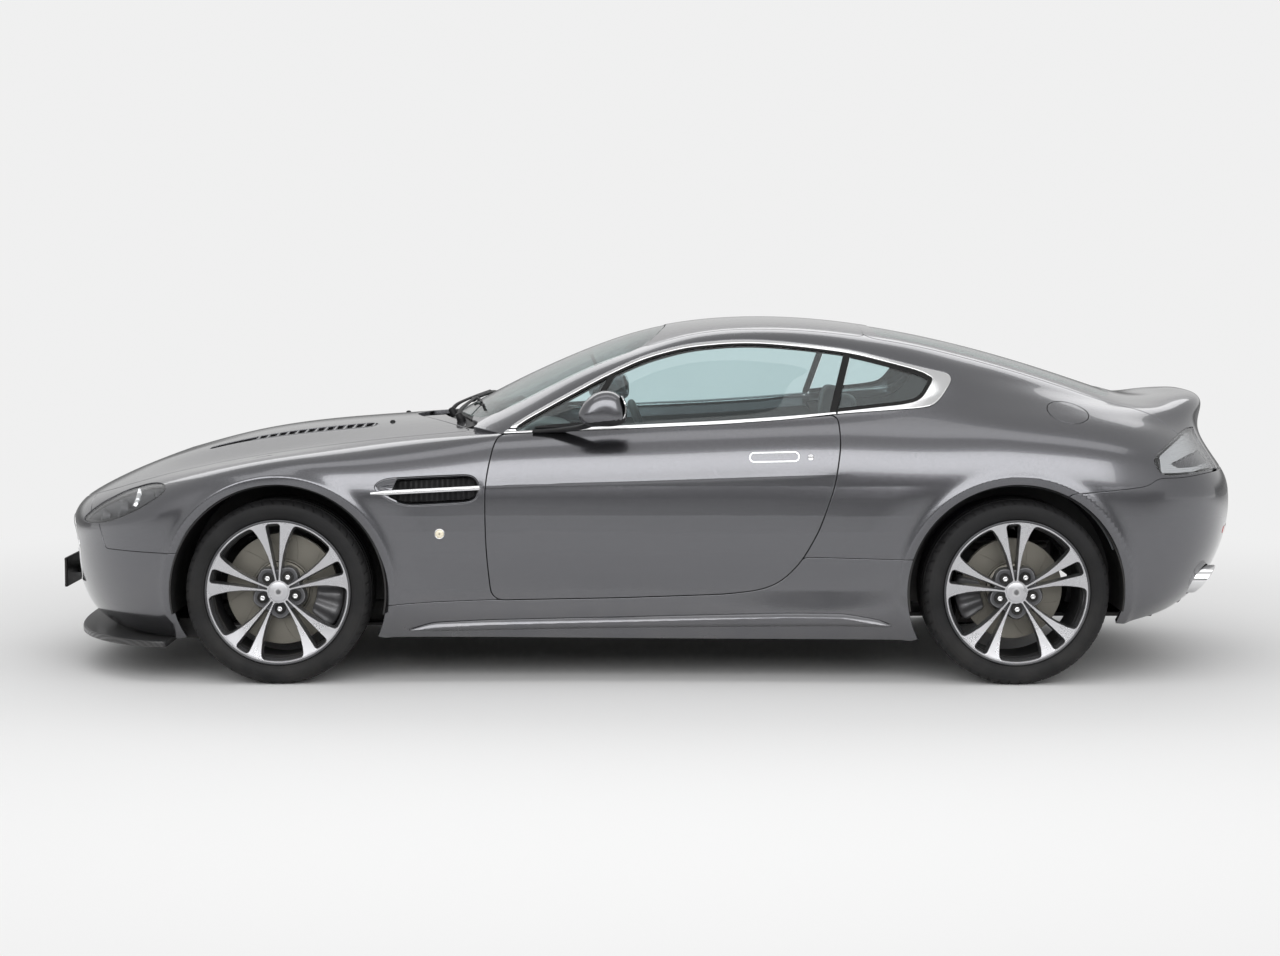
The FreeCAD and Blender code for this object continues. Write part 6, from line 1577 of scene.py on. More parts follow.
def from_pair(x, z):
    """Distance along the nearest spoke pair's middle line and to the side of it."""
    angle = np.arctan2(z, x) - PAIR_TURN
    fold = (angle + math.pi / 5) % (2 * math.pi / 5) - math.pi / 5
    r = np.hypot(x, z)
    return r * np.cos(fold), np.abs(r * np.sin(fold)), r, fold


def spoke_field(x, z):
    """Field of the wheel's face: the rim ring and the middle joined by spokes in pairs."""
    s, side, r, _ = from_pair(x, z)
    spoke = np.minimum(np.interp(s, *SPOKE_OUTER) - side, side - np.interp(s, *SPOKE_INNER)) * 0.94
    face = melt(np.where(s > 28, spoke, -30.0), r - 243.0, 15.0)
    face = melt(face, 40.5 - r, 7.0)
    return np.minimum(face, 251.5 - r)


def web_field(x, z):
    """Field of the dark web that carries the nuts, set back between the spoke pairs."""
    s, side, r, _ = from_pair(x, z)
    return 86.0 - r + 9.0 * np.cos(5 * (np.arctan2(z, x) - PAIR_TURN - math.pi / 5))


def make_wheel(name, x, half, bodies, disc_radius, disc_slots):
    """One axle's two wheels: faces, rims, webs, nuts, caps, discs and tyres, for the right side and
    mirrored for the left."""
    middle = (TRACK_FRONT if x < 0 else TRACK_REAR) / 2.0
    seat = half - 14.0
    lip = middle + seat + 8.0

    def dished(dx, dz, drop=0.0):
        r = np.hypot(dx, dz)
        y = lip - 3.0 - drop - 22.0 * (1.0 - np.minimum(r / 244.0, 1.0) ** 2)
        slope = np.where(r < 244.0, 44.0 * r / 244.0 ** 2, 0.0)
        n = np.stack([-slope * dx / np.maximum(r, 1e-6), np.ones_like(r),
                      -slope * dz / np.maximum(r, 1e-6)], 1)
        return np.stack([x + dx, y, AXLE_Z + dz], 1), unit(n)

    face = plate(-252, 252, -252, 252, 3.0, spoke_field, dished, edge=1.6, depth=34.0, flare=5.0)
    back = middle - seat - 8.0
    rim_profile = soft([(249.0, lip - 9.0, 0), (249.0, lip - 2.6, 1), (252.5, lip - 0.6, 1),
                        (256.4, lip - 0.6, 2),
                        (257.8, lip - 5.0, 2), (256.6, lip - 8.4, 1), (248.0, lip - 9.0, 1),
                        (243.0, lip - 9.5, 3),
                        (240.5, lip - 24.0, 5), (236.0, lip - 28.0, 3), (235.0, lip - 42.0, 4),
                        (231.0, lip - 48.0, 4), (229.5, lip - 70.0, 9), (233.4, lip - 90.0, 9),
                        (233.4, back + 30.0, 10), (238.5, back + 9.0, 5), (256.0, back + 7.0, 2),
                        (256.6, back + 0.4, 1), (240.8, back + 0.4, 1), (240.8, lip - 14.0, 1)], 3, True, 4)
    rim = lathe(rim_profile[::-1], x, 0.0, AXLE_Z, 120)
    web = plate(-100, 100, -100, 100, 3.0, web_field, lambda dx, dz: dished(dx, dz, 13.0), edge=2.5,
                depth=26.0, flare=4.0)
    nuts = []
    for k in range(5):
        a = PAIR_TURN + math.pi / 5 + k * 2 * math.pi / 5
        cx, cz = x + 61.0 * math.cos(a), AXLE_Z + 61.0 * math.sin(a)
        base = lip - 36.5
        cup = lathe(soft([(0.0, base + 1.5, 0), (14.0, base + 1.5, 1), (17.5, base + 6.5, 1),
                          (19.5, base + 6.8, 1),
                          (20.5, base + 1.0, 0)], 1, False, 3)[::-1], cx, 0.0, cz, 32)
        nut = lathe(soft([(0.0, base + 9.5, 0), (4.4, base + 9.5, .5), (5.0, base + 12.5, .8),
                          (8.2, base + 13.0, 1.6),
                          (10.2, base + 10.0, 2), (10.4, base, 0)], 1, False, 3)[::-1], cx, 0.0, cz, 30,
                    lambda angle, r, offset: np.where(r > 6.0, -0.9 * np.abs(np.sin(3 * angle)), 0.0))
        nuts += [turned(cup, 1), nut]
    top = lip - 21.5
    cap = lathe(soft([(0.0, top + 1.0, 0), (20.0, top + 0.6, 6), (34.0, top - 1.2, 2.5),
                      (36.4, top - 4.5, 1),
                      (37.4, top - 4.5, .5), (37.6, top - 12, 0)], 1, False, 5)[::-1], x, 0.0, AXLE_Z, 64)

    disc_front = middle - 18.0 + 16.0
    inner = 106.0 if x < 0 else 98.0
    disc_profile = soft([(62.0, disc_front + 34.0, 1), (76.0, disc_front + 34.0, 4),
                         (80.0, disc_front + 8.0, 3),
                         (inner - 8.0, disc_front + 6.0, 3), (inner - 5.0, disc_front - 2.0, 1),
                         (inner, disc_front - 2.0, 1),
                         (inner + 1.0, disc_front - 0.4, .4), (disc_radius - 1.0, disc_front - 0.4, .6),
                         (disc_radius - 0.4, disc_front - 1.4, .5),
                         (disc_radius - 0.4, disc_front - 10.0, 1),
                         (disc_radius - 6.0, disc_front - 11.0, 1),
                         (disc_radius - 6.0, disc_front - 21.0, 1),
                         (disc_radius - 0.4, disc_front - 22.0, 1),
                         (disc_radius - 0.4, disc_front - 31.6, 1),
                         (62.0, disc_front - 31.6, 1)], 3, True, 4)
    disc = lathe(disc_profile[::-1], x, 0.0, AXLE_Z, 96)
    slots = []
    for k in range(disc_slots):
        a = 2 * math.pi * k / disc_slots
        r0 = np.linspace(inner + 10.0, disc_radius - 9.0, 9)
        bend = a + 0.28 * (r0 - inner) / (disc_radius - inner)
        path = np.stack([x + r0 * np.cos(bend), np.full(9, disc_front - 0.2), AXLE_Z + r0 * np.sin(bend)],
                        1)
        slots.append(turned(tube(path, round_section(1.1, 6, 0.3), up=(0, 1, 0)), 0))
    disc = joined(turned(disc, 0), *slots)

    wall = 327.0
    seat_at = seat - 0.5
    half_profile = [(241.5, seat_at - 6.0, 1), (243.0, seat_at, 2), (257.5, seat_at + 0.3, 2),
                    (261.0, seat_at + 5.0, 3),
                    (266.0, seat_at + 6.5, 3), (268.5, seat_at + 8.8, 1), (280.0, half - 1.6, 8),
                    (290.0, half - 0.4, 8),
                    (301.0, half - 1.2, 4), (302.5, half - 2.4, .6), (308.0, half - 3.2, 3),
                    (316.0, half - 9.0, 6),
                    (323.4, half - 19.0, 6), (wall - 1.2, half - 30.0, 3)]
    grooves = []
    for w in (0.62 * half, 0.22 * half):
        grooves += [(wall - 0.3, w + 5.5, .8), (wall - 7.5, w + 4.0, 1), (wall - 7.5, w - 4.0, 1),
                    (wall, w - 5.5, .8)]
    side = half_profile + [(wall - 0.6, 0.62 * half + 12.0, 2)] + grooves
    section = side + [(r, -w, c) for r, w, c in reversed(side)]
    tyre_profile = soft([(r, middle + w, c) for r, w, c in section], 2, True, 3)

    def cut(angle, r, offset):
        """Sipes across the shoulder: narrow dips that follow a slanted line round the tyre."""
        out = np.abs(offset - middle) / half
        lean = angle * 54.0 + np.where(offset > middle, 1.0, -1.0) * (out - 0.8) * 9.0
        dip = np.clip((np.cos(lean) - 0.80) / 0.12, 0.0, 1.0)
        return -4.2 * dip * ((out > 0.70) & (r > 312.0) | (out < 0.56) & (out > 0.30) & (r > 322.0))

    tyre = lathe(tyre_profile[::-1], x, 0.0, AXLE_Z, 648, cut)
    tyre.p[:, 2] = np.maximum(tyre.p[:, 2], 0.2)
    for sign, side_name in ((1, "right"), (-1, "left")):
        hand = (lambda part: part) if sign > 0 else mirror
        body = bodies[side_name]
        label = name + "_" + side_name
        make("wheel_face_" + label, hand(face), body, [machined, dark_alloy], ["rim_" + label])
        make("wheel_rim_" + label, hand(rim), body, [dark_alloy])
        make("wheel_web_" + label, hand(web), body, [dark_alloy])
        make("wheel_nuts_" + label, hand(joined(*nuts)), body, [chrome, black])
        make("wheel_cap_" + label, hand(cap), body, [machined])
        make("brake_disc_" + label, hand(disc), body, [iron, black])
        make("tyre_tread_" + label, hand(tyre), body, [rubber], ["tyre_" + label])


def caliper(x, middle, disc_radius, toward):
    """Brake caliper round the disc: two lobed pads' housings joined over the rim, its section carried
    along an arc of the wheel; with the hub carrier and spindle behind it. For the right side."""
    face = middle - 18.0 + 16.0
    r0, r1 = disc_radius * 0.63, min(disc_radius + 26.0, 226.0)
    arc = np.linspace(-0.44, 0.44, 41)
    s = arc / 0.44
    lobes = 1.0 - 0.09 * (1.0 + np.cos(3.0 * math.pi * s))
    taper = (1.0 - np.abs(s) ** 5) ** 0.25 * 0.96 + 0.04
    section = soft([(r1, face - 40.0, 6), (r1, face + 40.0, 14), (r1 - 26, face + 46.0, 10),
                    (r0, face + 30.0, 8),
                    (r0 + 4, face + 6.5, 3), (disc_radius + 6.5, face + 6.5, 2),
                    (disc_radius + 6.5, face - 38.5, 2),
                    (r0 + 4, face - 38.5, 3), (r0 + 6, face - 60.0, 8), (r1 - 20, face - 62.0, 10)], 6,
                    True, 4)
    centre = np.array([0.5 * (r0 + r1), face - 16.0])
    angle = toward + arc
    offset = (section[None] - centre) * np.stack([taper, taper * lobes], 1)[:, None]
    r = centre[0] + offset[..., 0]
    y = centre[1] + offset[..., 1]
    points = np.stack([x + r * np.cos(angle)[:, None], y, AXLE_Z + r * np.sin(angle)[:, None]], -1)
    inner = face - 32.0 - 5.0
    upright = rounded_block((x - 40, inner - 56, AXLE_Z - 120), (x + 40, inner, AXLE_Z + 120), 14.0)
    spindle = lathe([(0.0, inner - 10), (23.0, inner - 10), (24.0, inner - 8), (24.0, middle + 58),
                     (22.0, middle + 60),
                     (0.0, middle + 60)], x, 0.0, AXLE_Z, 40)
    bracket = rounded_block((x if math.cos(toward) > 0 else x - r0 - 24, inner - 32, AXLE_Z - 34),
                            (x + r0 + 24 if math.cos(toward) > 0 else x, inner - 8, AXLE_Z + 26), 8.0)
    return joined(sheet(points, wrap_t=True), turned(upright, 1), turned(spindle, 1), turned(bracket, 1))


TRACK_FRONT = 1570.0
TRACK_REAR = 1560.0
make_wheel("front", AXLE_FRONT, 127.5, {"left": "front_left_wheel", "right": "front_right_wheel"}, 199.0,
           12)
make_wheel("rear", AXLE_REAR, 147.5, {"left": "rear_left_wheel", "right": "rear_right_wheel"}, 180.0, 12)
front_caliper = caliper(AXLE_FRONT, TRACK_FRONT / 2.0, 199.0, math.radians(-14.0))
make("front_caliper_right", front_caliper, "right_knuckle", [caliper_grey, steel],
     ["knuckle_front_right"])
make("front_caliper_left", mirror(front_caliper), "left_knuckle", [caliper_grey, steel],
     ["knuckle_front_left"])
rear_caliper = caliper(AXLE_REAR, TRACK_REAR / 2.0, 180.0, math.radians(190.0))
make("rear_calipers", joined(rear_caliper, mirror(rear_caliper)), "body", [caliper_grey, steel],
     ["hub_carriers_rear"])


# ------------------------------------------------------------------ seals, wipers, rear end, cabin
def on_both(name, part, body, materials, stands_for=()):
    """The same piece on both sides: body may name the left and right bodies by a word to fill in."""
    for sign, side_name in ((1, "right"), (-1, "left")):
        make(name + "_" + side_name, part if sign > 0 else mirror(part), body.replace("SIDE", side_name),
             materials, [s.replace("SIDE", side_name) for s in stands_for])


def band(line, half):
    """Field within half of a straight line between two (x, z) places, on the side."""
    a, b = np.array(line, float)
    way = unit(b - a)
    return lambda p: np.minimum(half - np.abs((p[:, 0] - a[0]) * way[1] - (p[:, 2] - a[1]) * way[0]),
                                np.minimum((p[:, [0, 2]] - a) @ way, (b - p[:, [0, 2]]) @ way))


post = panel(CABIN, stations(660, 800, 4), trim_rows,
             [both(opening, lambda p: 13.0 - np.abs(p[:, 0] - post_x(p) + 15.0))],
             lift=-1.5, edge=1.0, depth=6.0)
make("window_posts", joined(post, mirror(post)), "body", [seal])
divider = panel(CABIN, stations(-240, -90, 4), trim_rows,
                [both(opening, band([(-228, 885), (-104, 1106)], 9.0))], lift=-1.5, edge=1.0, depth=10.0)
on_both("window_divider", divider, "SIDE_door", [seal])
border = panel(CABIN, stations(640, 1120, 5), trim_rows,
               [both(opening, lambda p: 13.0 - opening(p), lambda p: p[:, 0] - post_x(p))], lift=-2.5,
               edge=0.6, depth=3.0)
make("quarter_borders", joined(border, mirror(border)), "body", [seal])
rub = panel(CABIN, stations(-520, 1120, 6), trim_rows,
            [both(opening, lambda p: 5.0 - opening(p),
                  either(lambda p: p[:, 2] - belt_z(p) - 24.0, lambda p: p[:, 0] - post_x(p)))],
            lift=-1.0, edge=0.6, depth=4.0)
make("window_seals", joined(rub, mirror(rub)), "body", [seal])

# cowl under the screen, wipers
cowl_under = panel(CABIN, stations(-960, -480, 10), levels(8, 14, CABIN_ROWS, 16),
                   [lambda p: p[:, 2] - 840.0, out_of(screen_zone, -30.0), lambda p: -500.0 - p[:, 0],
                    lambda p: 640.0 - np.abs(p[:, 1])], lift=-16.0, edge=0.5, depth=3.0)
make("cowl_mesh", whole(cowl_under), "body", [black])
screen_edge = lambda y: np.interp(np.abs(y), [c[1] for c in SCREEN_PLAN[:5]],
                                  [c[0] for c in SCREEN_PLAN[:5]])
wiper_parts = []
for y0, y1, pivot_y in ((-470.0, 90.0, -455.0), (60.0, 540.0, 70.0)):
    ys = np.linspace(y0, y1, 40)
    place, way = landed(CABIN, screen_edge(ys) + 52.0 + 18.0 * np.sin((ys - y0) / (y1 - y0) * math.pi),
                        np.abs(ys), axes=(0, 1), guess=(1.25, 0.9))
    hand = np.where(ys < 0, -1.0, 1.0)
    place, way = place * np.stack([np.ones(40), hand, np.ones(40)],
                                  1), way * np.stack([np.ones(40), hand, np.ones(40)], 1)
    wiper_parts.append(tube(place + way * 7.0, round_section(3.2, 10, 2.0), up=(0.4, 0, 1)))
    wiper_parts.append(tube(place[4:-4] + way[4:-4] * 14.0, round_section(5.0, 10, 0.6), up=(0.4, 0, 1)))
    pivot, pivot_way = landed(CABIN, screen_edge(pivot_y) - 34.0, abs(pivot_y), axes=(0, 1),
                              guess=(1.2, 0.9))
    hand = np.array([1.0, -1.0 if pivot_y < 0 else 1.0, 1.0])
    start, rise = pivot[0] * hand, pivot_way[0] * hand
    middle = place[20] + way[20] * 18.0
    arm = smooth_path([start + rise * 12.0, start + rise * 20.0 + (middle - start) * 0.2,
                       start + (middle - start) * 0.6 + rise * 12.0, middle], 10)
    wiper_parts.append(tube(arm, round_section(7.5, 12, 0.6), up=(0.2, 0, 1),
                            scale=np.linspace(1.25, 0.75, len(arm))))
    wiper_parts.append(spun([(0, 22), (9, 21), (13, 17), (14, 4), (16, 0), (16, -20)], start, rise, 28))
make("wipers", joined(*wiper_parts), "body", [black])
washer_row = []
for y in (-330.0, 330.0):
    seat_at, seat_way = landed(FRONT, -935.0, abs(y), axes=(0, 1), guess=(1.15, 0.95))
    washer_row.append(spun([(0, 8), (6, 7), (9, 4), (11, 0), (11, -4)], seat_at[0] * [1, np.sign(y), 1],
                           seat_way[0] * [1, np.sign(y), 1], 24))
make("washer_jets", joined(*washer_row), "bonnet_lid", [black])

# rear end: diffuser, plate recess, blank plate, high stop lamp, reflectors
rear_skin_fan = 2.0 + np.linspace(0.45, 1.0, 150)
under_tray = panel(CABIN, rear_skin_fan, levels(0.2, 3, CABIN_ROWS, 26),
                   [lambda p: 262.0 + 26.0 * np.cos(np.clip(p[:, 1] / 560.0, -1, 1) * math.pi * 0.5) - p[:,
                       2],
                    lambda p: 600.0 - np.abs(p[:, 1]), lambda p: p[:, 0] - 1900.0], lift=2.5, edge=3.0,
                    depth=10.0,
                   feature=lambda p: relief(p) + 6.0 * np.maximum(0.0,
                                                                  np.cos(p[:, 1] * math.pi / 110.0)) ** 6
                   * ease((262.0 - p[:, 2]) / 40.0))
make("rear_diffuser", whole(under_tray), "body", [black])
recess_back = panel(CABIN, rear_skin_fan, levels(2, 9, CABIN_ROWS, 26),
                    [lambda p: rear_plate_zone(p) - 0.5], edge=0.5,
                    depth=3.0, feature=lambda p: relief(p) - 15.0 * ease(rear_plate_zone(p) / 14.0) - 3.0)
make("rear_plate_recess", whole(recess_back), "body", [gloss_black])
plate_at, plate_way = landed(CABIN, 2.0, 600.0, axes=(1, 2), guess=(2.95, 0.45))
blank = rounded_block((-7.0, -258.0, -56.0), (0.0, 258.0, 56.0), 4.0)
lean = math.atan2(plate_way[0, 2], plate_way[0, 0])
turn = np.array([[math.cos(lean), 0.0, -math.sin(lean)], [0.0, 1.0, 0.0],
                 [math.sin(lean), 0.0, math.cos(lean)]])
blank = Part(blank.p @ turn.T + plate_at[0] * [1, 0, 1] - plate_way[0] * 4.0, blank.n @ turn.T, blank.tri,
             blank.group)
make("rear_plate_blank", blank, "body", [black])
stop_lamp = panel(CABIN, rear_skin_fan, levels(9, 14, CABIN_ROWS, 60),
                  [lambda p: 7.0 - np.abs(p[:, 2] - 925.0), lambda p: 210.0 - np.abs(p[:, 1]),
                   lambda p: p[:, 0] - 1900.0], lift=1.0, edge=1.5, depth=6.0)
make("high_stop_lamp", whole(stop_lamp), "hatch_lid", [red])
reflect = panel(CABIN, rear_skin_fan, levels(3, 6, CABIN_ROWS, 40),
                [lambda p: pill(p[:, 1], p[:, 2], 500.0, 515.0, 62.0, 14.0, 10.0),
                 lambda p: p[:, 0] - 1900.0], lift=1.5, edge=2.0, depth=6.0)
make("rear_reflectors", joined(reflect, mirror(reflect)), "body", [red])

# ------------------------------------------------------------------ cabin
lining_fields = [out_of(window_zone, 6.0), out_of(door_zone, -2.0), out_of(screen_zone, 8.0),
                 out_of(rear_glass_zone, 8.0),
                 lambda p: p[:, 0] + 600.0, lambda p: 1760.0 - p[:, 0],
                 lambda p: np.hypot(p[:, 0] - AXLE_REAR, p[:, 2] - AXLE_Z) - LINING_ARCH_RADIUS]
inside = panel(CABIN, stations(-640, 1780, 18), levels(3, 14, CABIN_ROWS, 7), lining_fields, lift=-40.0,
               edge=0.5, depth=2.0)
make("cabin_lining", flipped(whole(inside)), "body", [lining])


def cushion(path, y, half_width, thick, bolster=0.0, channels=(), crown=2.4, power=7.0):
    """Stuffed pad along a path in (x, z) at y. Its section is a squarish ring whose width and
    thickness die away towards both ends, so that it closes in a pole; the sides stand up as
    bolsters, sewn channels run across and a groove parts the middle from the bolsters."""
    track = smooth_path(path, 24)
    far = np.concatenate([[0.0], np.cumsum(np.linalg.norm(np.diff(track, axis=0), axis=1))])
    far /= far[-1]
    xi = np.sin(np.linspace(-math.pi / 2, math.pi / 2, 121))
    share = (xi + 1.0) / 2.0
    at = np.stack([np.interp(share, far, track[:, 0]), np.interp(share, far, track[:, 1])], 1)
    way = unit(np.gradient(at, axis=0))
    up = np.stack([-way[:, 1], way[:, 0]], 1)
    wide = np.maximum(1.0 - np.abs(xi) ** power, 0.0) ** (1 / power)
    deep = np.maximum(1.0 - np.abs(xi) ** crown, 0.0) ** (1 / crown)
    angle = np.linspace(-math.pi, math.pi, 144, endpoint=False)
    eta = np.sign(np.cos(angle)) * np.abs(np.cos(angle)) ** 0.42
    zeta = np.sign(np.sin(angle)) * np.abs(np.sin(angle)) ** 0.80
    top = np.clip(zeta, 0.0, 1.0) ** 0.5
    rise = bolster * ease((np.abs(eta) - 0.56) / 0.2) * (1.0 - 0.5 * ease((np.abs(eta) - 0.82) / 0.18))
    seam = 5.0 * np.exp(-((np.abs(eta) - 0.56) / 0.022) ** 2)
    piping = 2.2 * np.exp(-(zeta / 0.09) ** 2)
    groove = sum((4.5 * np.exp(-((xi[:, None] - c) / 0.014) ** 2) for c in channels), np.zeros((121, 1)))
    inner = 1.0 - ease((np.abs(eta) - 0.52) / 0.06)
    height = zeta[None] * thick * deep[:, None]
    height = height + top[None] * deep[:, None] * (rise[None] - seam[None] - groove * inner[None])
    across = (eta[None] * half_width + np.sign(eta)[None] * piping[None]) * wide[:, None]
    points = np.stack([at[:, :1] + up[:, :1] * height, y + across, at[:, 1:] + up[:, 1:] * height], -1)
    part = sheet(points[:, ::-1], wrap_t=True)
    mid = part.tri[:, 0] % 144
    eta_of = eta[::-1][mid]
    zeta_of = zeta[::-1][mid]
    part.group = np.where((np.abs(eta_of) < 0.54) & (zeta_of > 0.1), 1, 0)
    return part


for sign, side_name in ((1, "right"), (-1, "left")):
    y = 360.0 * sign
    squab = cushion([(52, 352), (130, 362), (300, 344), (520, 322)], y, 236.0, 44.0, 26.0,
                    [-0.45, -0.15, 0.15, 0.45])
    back = cushion([(560, 322), (606, 420), (652, 600), (694, 760), (722, 872)], y, 236.0, 46.0, 34.0,
                   [-0.5, -0.2, 0.1, 0.4])
    rest = cushion([(726, 868), (740, 930), (752, 1002)], y, 128.0, 38.0, 4.0, [0.0], 3.0, 4.0)
    base = rounded_block((90, y - 196, 182), (600, y + 196, 300), 26.0)
    shell = rolled(soft([(610, 262), (668, 300), (720, 520), (772, 780), (788, 860), (768, 876), (742, 800),
                         (690, 540),
                         (630, 330)], 40.0), y - 214, y + 214, 24.0)
    first = make("seat_squab_" + side_name, squab, "body", [hide, hide_light], ["seats"])
    second = make("seat_back_" + side_name, back, "body", [hide, hide_light])
    third = make("seat_headrest_" + side_name, rest, "body", [hide, hide_light])
    make("seat_frame_" + side_name, joined(base, turned(shell, 1)), "body", [black, hide])

dash_outline = soft([(-590, 540), (-590, 770), (-556, 836), (-480, 866), (-330, 862), (-258, 800),
                     (-270, 716), (-330, 640),
                     (-420, 540)], 50.0)
dash = rolled(dash_outline, -662, 662, 30.0)
hood = rolled(soft([(-450, 842), (-440, 884), (-380, 906), (-300, 896), (-250, 868), (-262, 820),
                    (-330, 830)], 30.0), -540, -190, 40.0)
console = rolled(soft([(-500, 200), (410, 182), (414, 440), (300, 474), (60, 484), (-170, 556), (-300, 690),
                       (-420, 640)], 60.0), -92, 92, 22.0)
make("dashboard_pad", joined(dash, hood, console), "body", [hide], ["dashboard"])
face_way = unit(np.array([0.93, 0.0, 0.18]))
dials = []
for y, radius in ((-425.0, 46.0), (-300.0, 46.0), (-590.0, 34.0), (590.0, 34.0), (-70.0, 32.0),
                  (70.0, 32.0)):
    x = -262.0 if abs(y) not in (425.0, 300.0) else -256.0
    z = 778.0 if abs(y) not in (425.0, 300.0) else 836.0
    dials.append(spun([(0, 2), (radius - 6, 2), (radius - 4, 6), (radius, 6), (radius + 2, 2),
                       (radius + 2, -16)],
                      (x, y, z), face_way, 40))
make("dashboard_rings", joined(*dials), "body", [machined])
stack = plate(-66, 66, 560, 700, 6.0, lambda u, w: pill(u, w, 0, 630, 64, 68, 12.0), lambda u,
              w: (np.stack([-236.0 - (w - 630.0) * 0.86, u, w + 4.0], 1),
                  np.tile(unit(np.array([0.75, 0, 0.66])), (len(u), 1))), edge=2.0, depth=6.0)
knob = spun([(0, 40), (12, 38), (20, 28), (23, 14), (19, 2), (12, -6), (8, -20), (7, -90)], (90, 0, 560),
            (0.05, 0, 1), 36)
boot = spun([(10, 60), (18, 46), (34, 22), (48, 6), (52, 0), (52, -10)], (88, 0, 478), (0, 0, 1), 40)
lever = tube([(240, 52, 478), (190, 52, 500), (110, 52, 506)], round_section(9, 12), up=(0, 0, 1))
make("centre_stack", joined(stack, turned(knob, 0), turned(boot, 1), turned(lever, 0)), "body",
     [machined, hide])
hub = np.array([20.0, -360.0, 800.0])
axle = np.array([math.cos(math.radians(22)), 0.0, math.sin(math.radians(22))])
level = np.array([0.0, 1.0, 0.0])
steep = np.cross(axle, level)
turn_angle = np.linspace(0, 2 * math.pi, 120, endpoint=False)
wheel_ring = hub + 180.0 * (np.cos(turn_angle)[:, None] * level + np.sin(turn_angle)[:, None] * steep)
wheel_rim = tube(wheel_ring, round_section(14.5, 18) * [1.0, 0.94], closed=True, up=tuple(axle))
arms_of = []
for degrees in (8.0, 172.0, 270.0):
    out_way = math.cos(math.radians(degrees)) * level + math.sin(math.radians(degrees)) * steep
    s = np.linspace(30.0, 172.0, 12)
    path = hub + out_way * s[:, None] + axle * (6.0 - 10.0 * ((s - 30.0) / 142.0))[:, None]
    arms_of.append(turned(tube(path, round_section(15.0, 14, 0.36), up=tuple(axle),
                               scale=np.linspace(1.3, 0.8, 12)), 1))
pad = spun([(0, 24), (30, 23), (50, 18), (60, 8), (61, -6), (48, -26), (0, -28)], hub, axle, 48)
cap_disc = turned(spun([(0, 27.5), (12, 27), (15, 25), (15.5, 22)], hub, axle, 30), 1)
make("steering_wheel_trim", joined(wheel_rim, pad, cap_disc, *arms_of), "wheel_rim",
     [hide, machined], ["steering_wheel"])
column_path = [hub - axle * s for s in (42.0, 90.0, 160.0, 260.0, 330.0)]
column = tube(column_path, round_section(34.0, 20), up=(0, 1, 0), scale=[0.86, 1.0, 1.1, 1.2, 1.2])
stalks = [tube([hub - axle * 70.0 + level * 24.0 * s, hub - axle * 60.0 + level * 90.0 * s,
                hub - axle * 44.0 + level * 150.0 * s],
               round_section(5.5, 10), up=(0, 0, 1)) for s in (-1, 1)]
make("steering_column", joined(column, *stalks), "body", [black])
crown, _ = landed(CABIN, -200.0, 1.0, axes=(0, 1), guess=(1.42, 0.97))
hang = crown[0, 2] - 62.0
mirror_glass = rounded_block((-188, -112, hang - 58.0), (-164, 112, hang - 4.0), 12.0)
stem = tube([(-180, 0, hang - 20.0), (-192, 0, hang + 10.0), (-204, 0, hang + 34.0)], round_section(7, 12),
            up=(0, 1, 0))
make("cabin_mirror", joined(mirror_glass, stem), "body", [black])

# floor carpets, luggage shelf and door trims
mats = []
for y0, y1 in ((104, 640), (-640, -104)):
    mats.append(plate(y0, y1, -470, 830, 26.0, lambda u,
                      w: np.minimum(np.minimum(u - y0, y1 - u), np.minimum(w + 470, 830 - w)),
                      lambda u, w: (np.stack([w, u, 183.0 + 3.0 * np.sin(w * 0.05) * np.sin(u * 0.06)], 1),
                                    np.tile([0.0, 0.0, 1.0], (len(u), 1))), edge=3.0, depth=5.0))
shelf = plate(-600, 600, 845, 1740, 26.0,
              lambda u, w: np.minimum(np.minimum(u + 600, 600 - u), np.minimum(w - 845, 1740 - w)),
              lambda u, w: (np.stack([w, u, 570.0 + 6.0 * np.cos(u * 0.0052)], 1),
                            np.tile([0.0, 0.0, 1.0], (len(u), 1))), edge=6.0, depth=16.0)
wall_back = plate(-600, 600, 190, 572, 26.0, lambda u,
                  w: np.minimum(np.minimum(u + 600, 600 - u), np.minimum(w - 190, 572 - w)), lambda u,
                  w: (np.stack([np.full(len(w), 846.0), u, w], 1), np.tile([-1.0, 0.0, 0.0], (len(u), 1))),
                  edge=6.0, depth=12.0)
make("carpets", joined(*mats), "body", [carpet])
make("luggage_shelf", joined(shelf, flipped(wall_back)), "body", [carpet])
arm_rest = rolled(soft([(-60, 560), (360, 560), (400, 590), (380, 622), (-20, 640), (-110, 610)], 24.0),
                  742, 800, 18.0)
pull = tube(smooth_path([(-40, 748, 690), (0, 730, 704), (130, 728, 712), (200, 746, 708)], 8),
            round_section(7, 12), up=(0, 0, 1))
on_both("door_armrest", joined(arm_rest, turned(pull, 1)), "SIDE_door", [hide, machined])

# ------------------------------------------------------------------ floor and bulkheads
def beam(corners, y0, y1, edge=4.0, round_by=6.0):
    """Pressed steel of one outline in (x, z), carried from y0 to y1."""
    return rolled(soft(corners, round_by), y0, y1, edge)


def slab(x0, x1, z0, z1, y0, y1, edge=4.0):
    return beam([(x0, z0), (x1, z0), (x1, z1), (x0, z1)], y0, y1, edge)


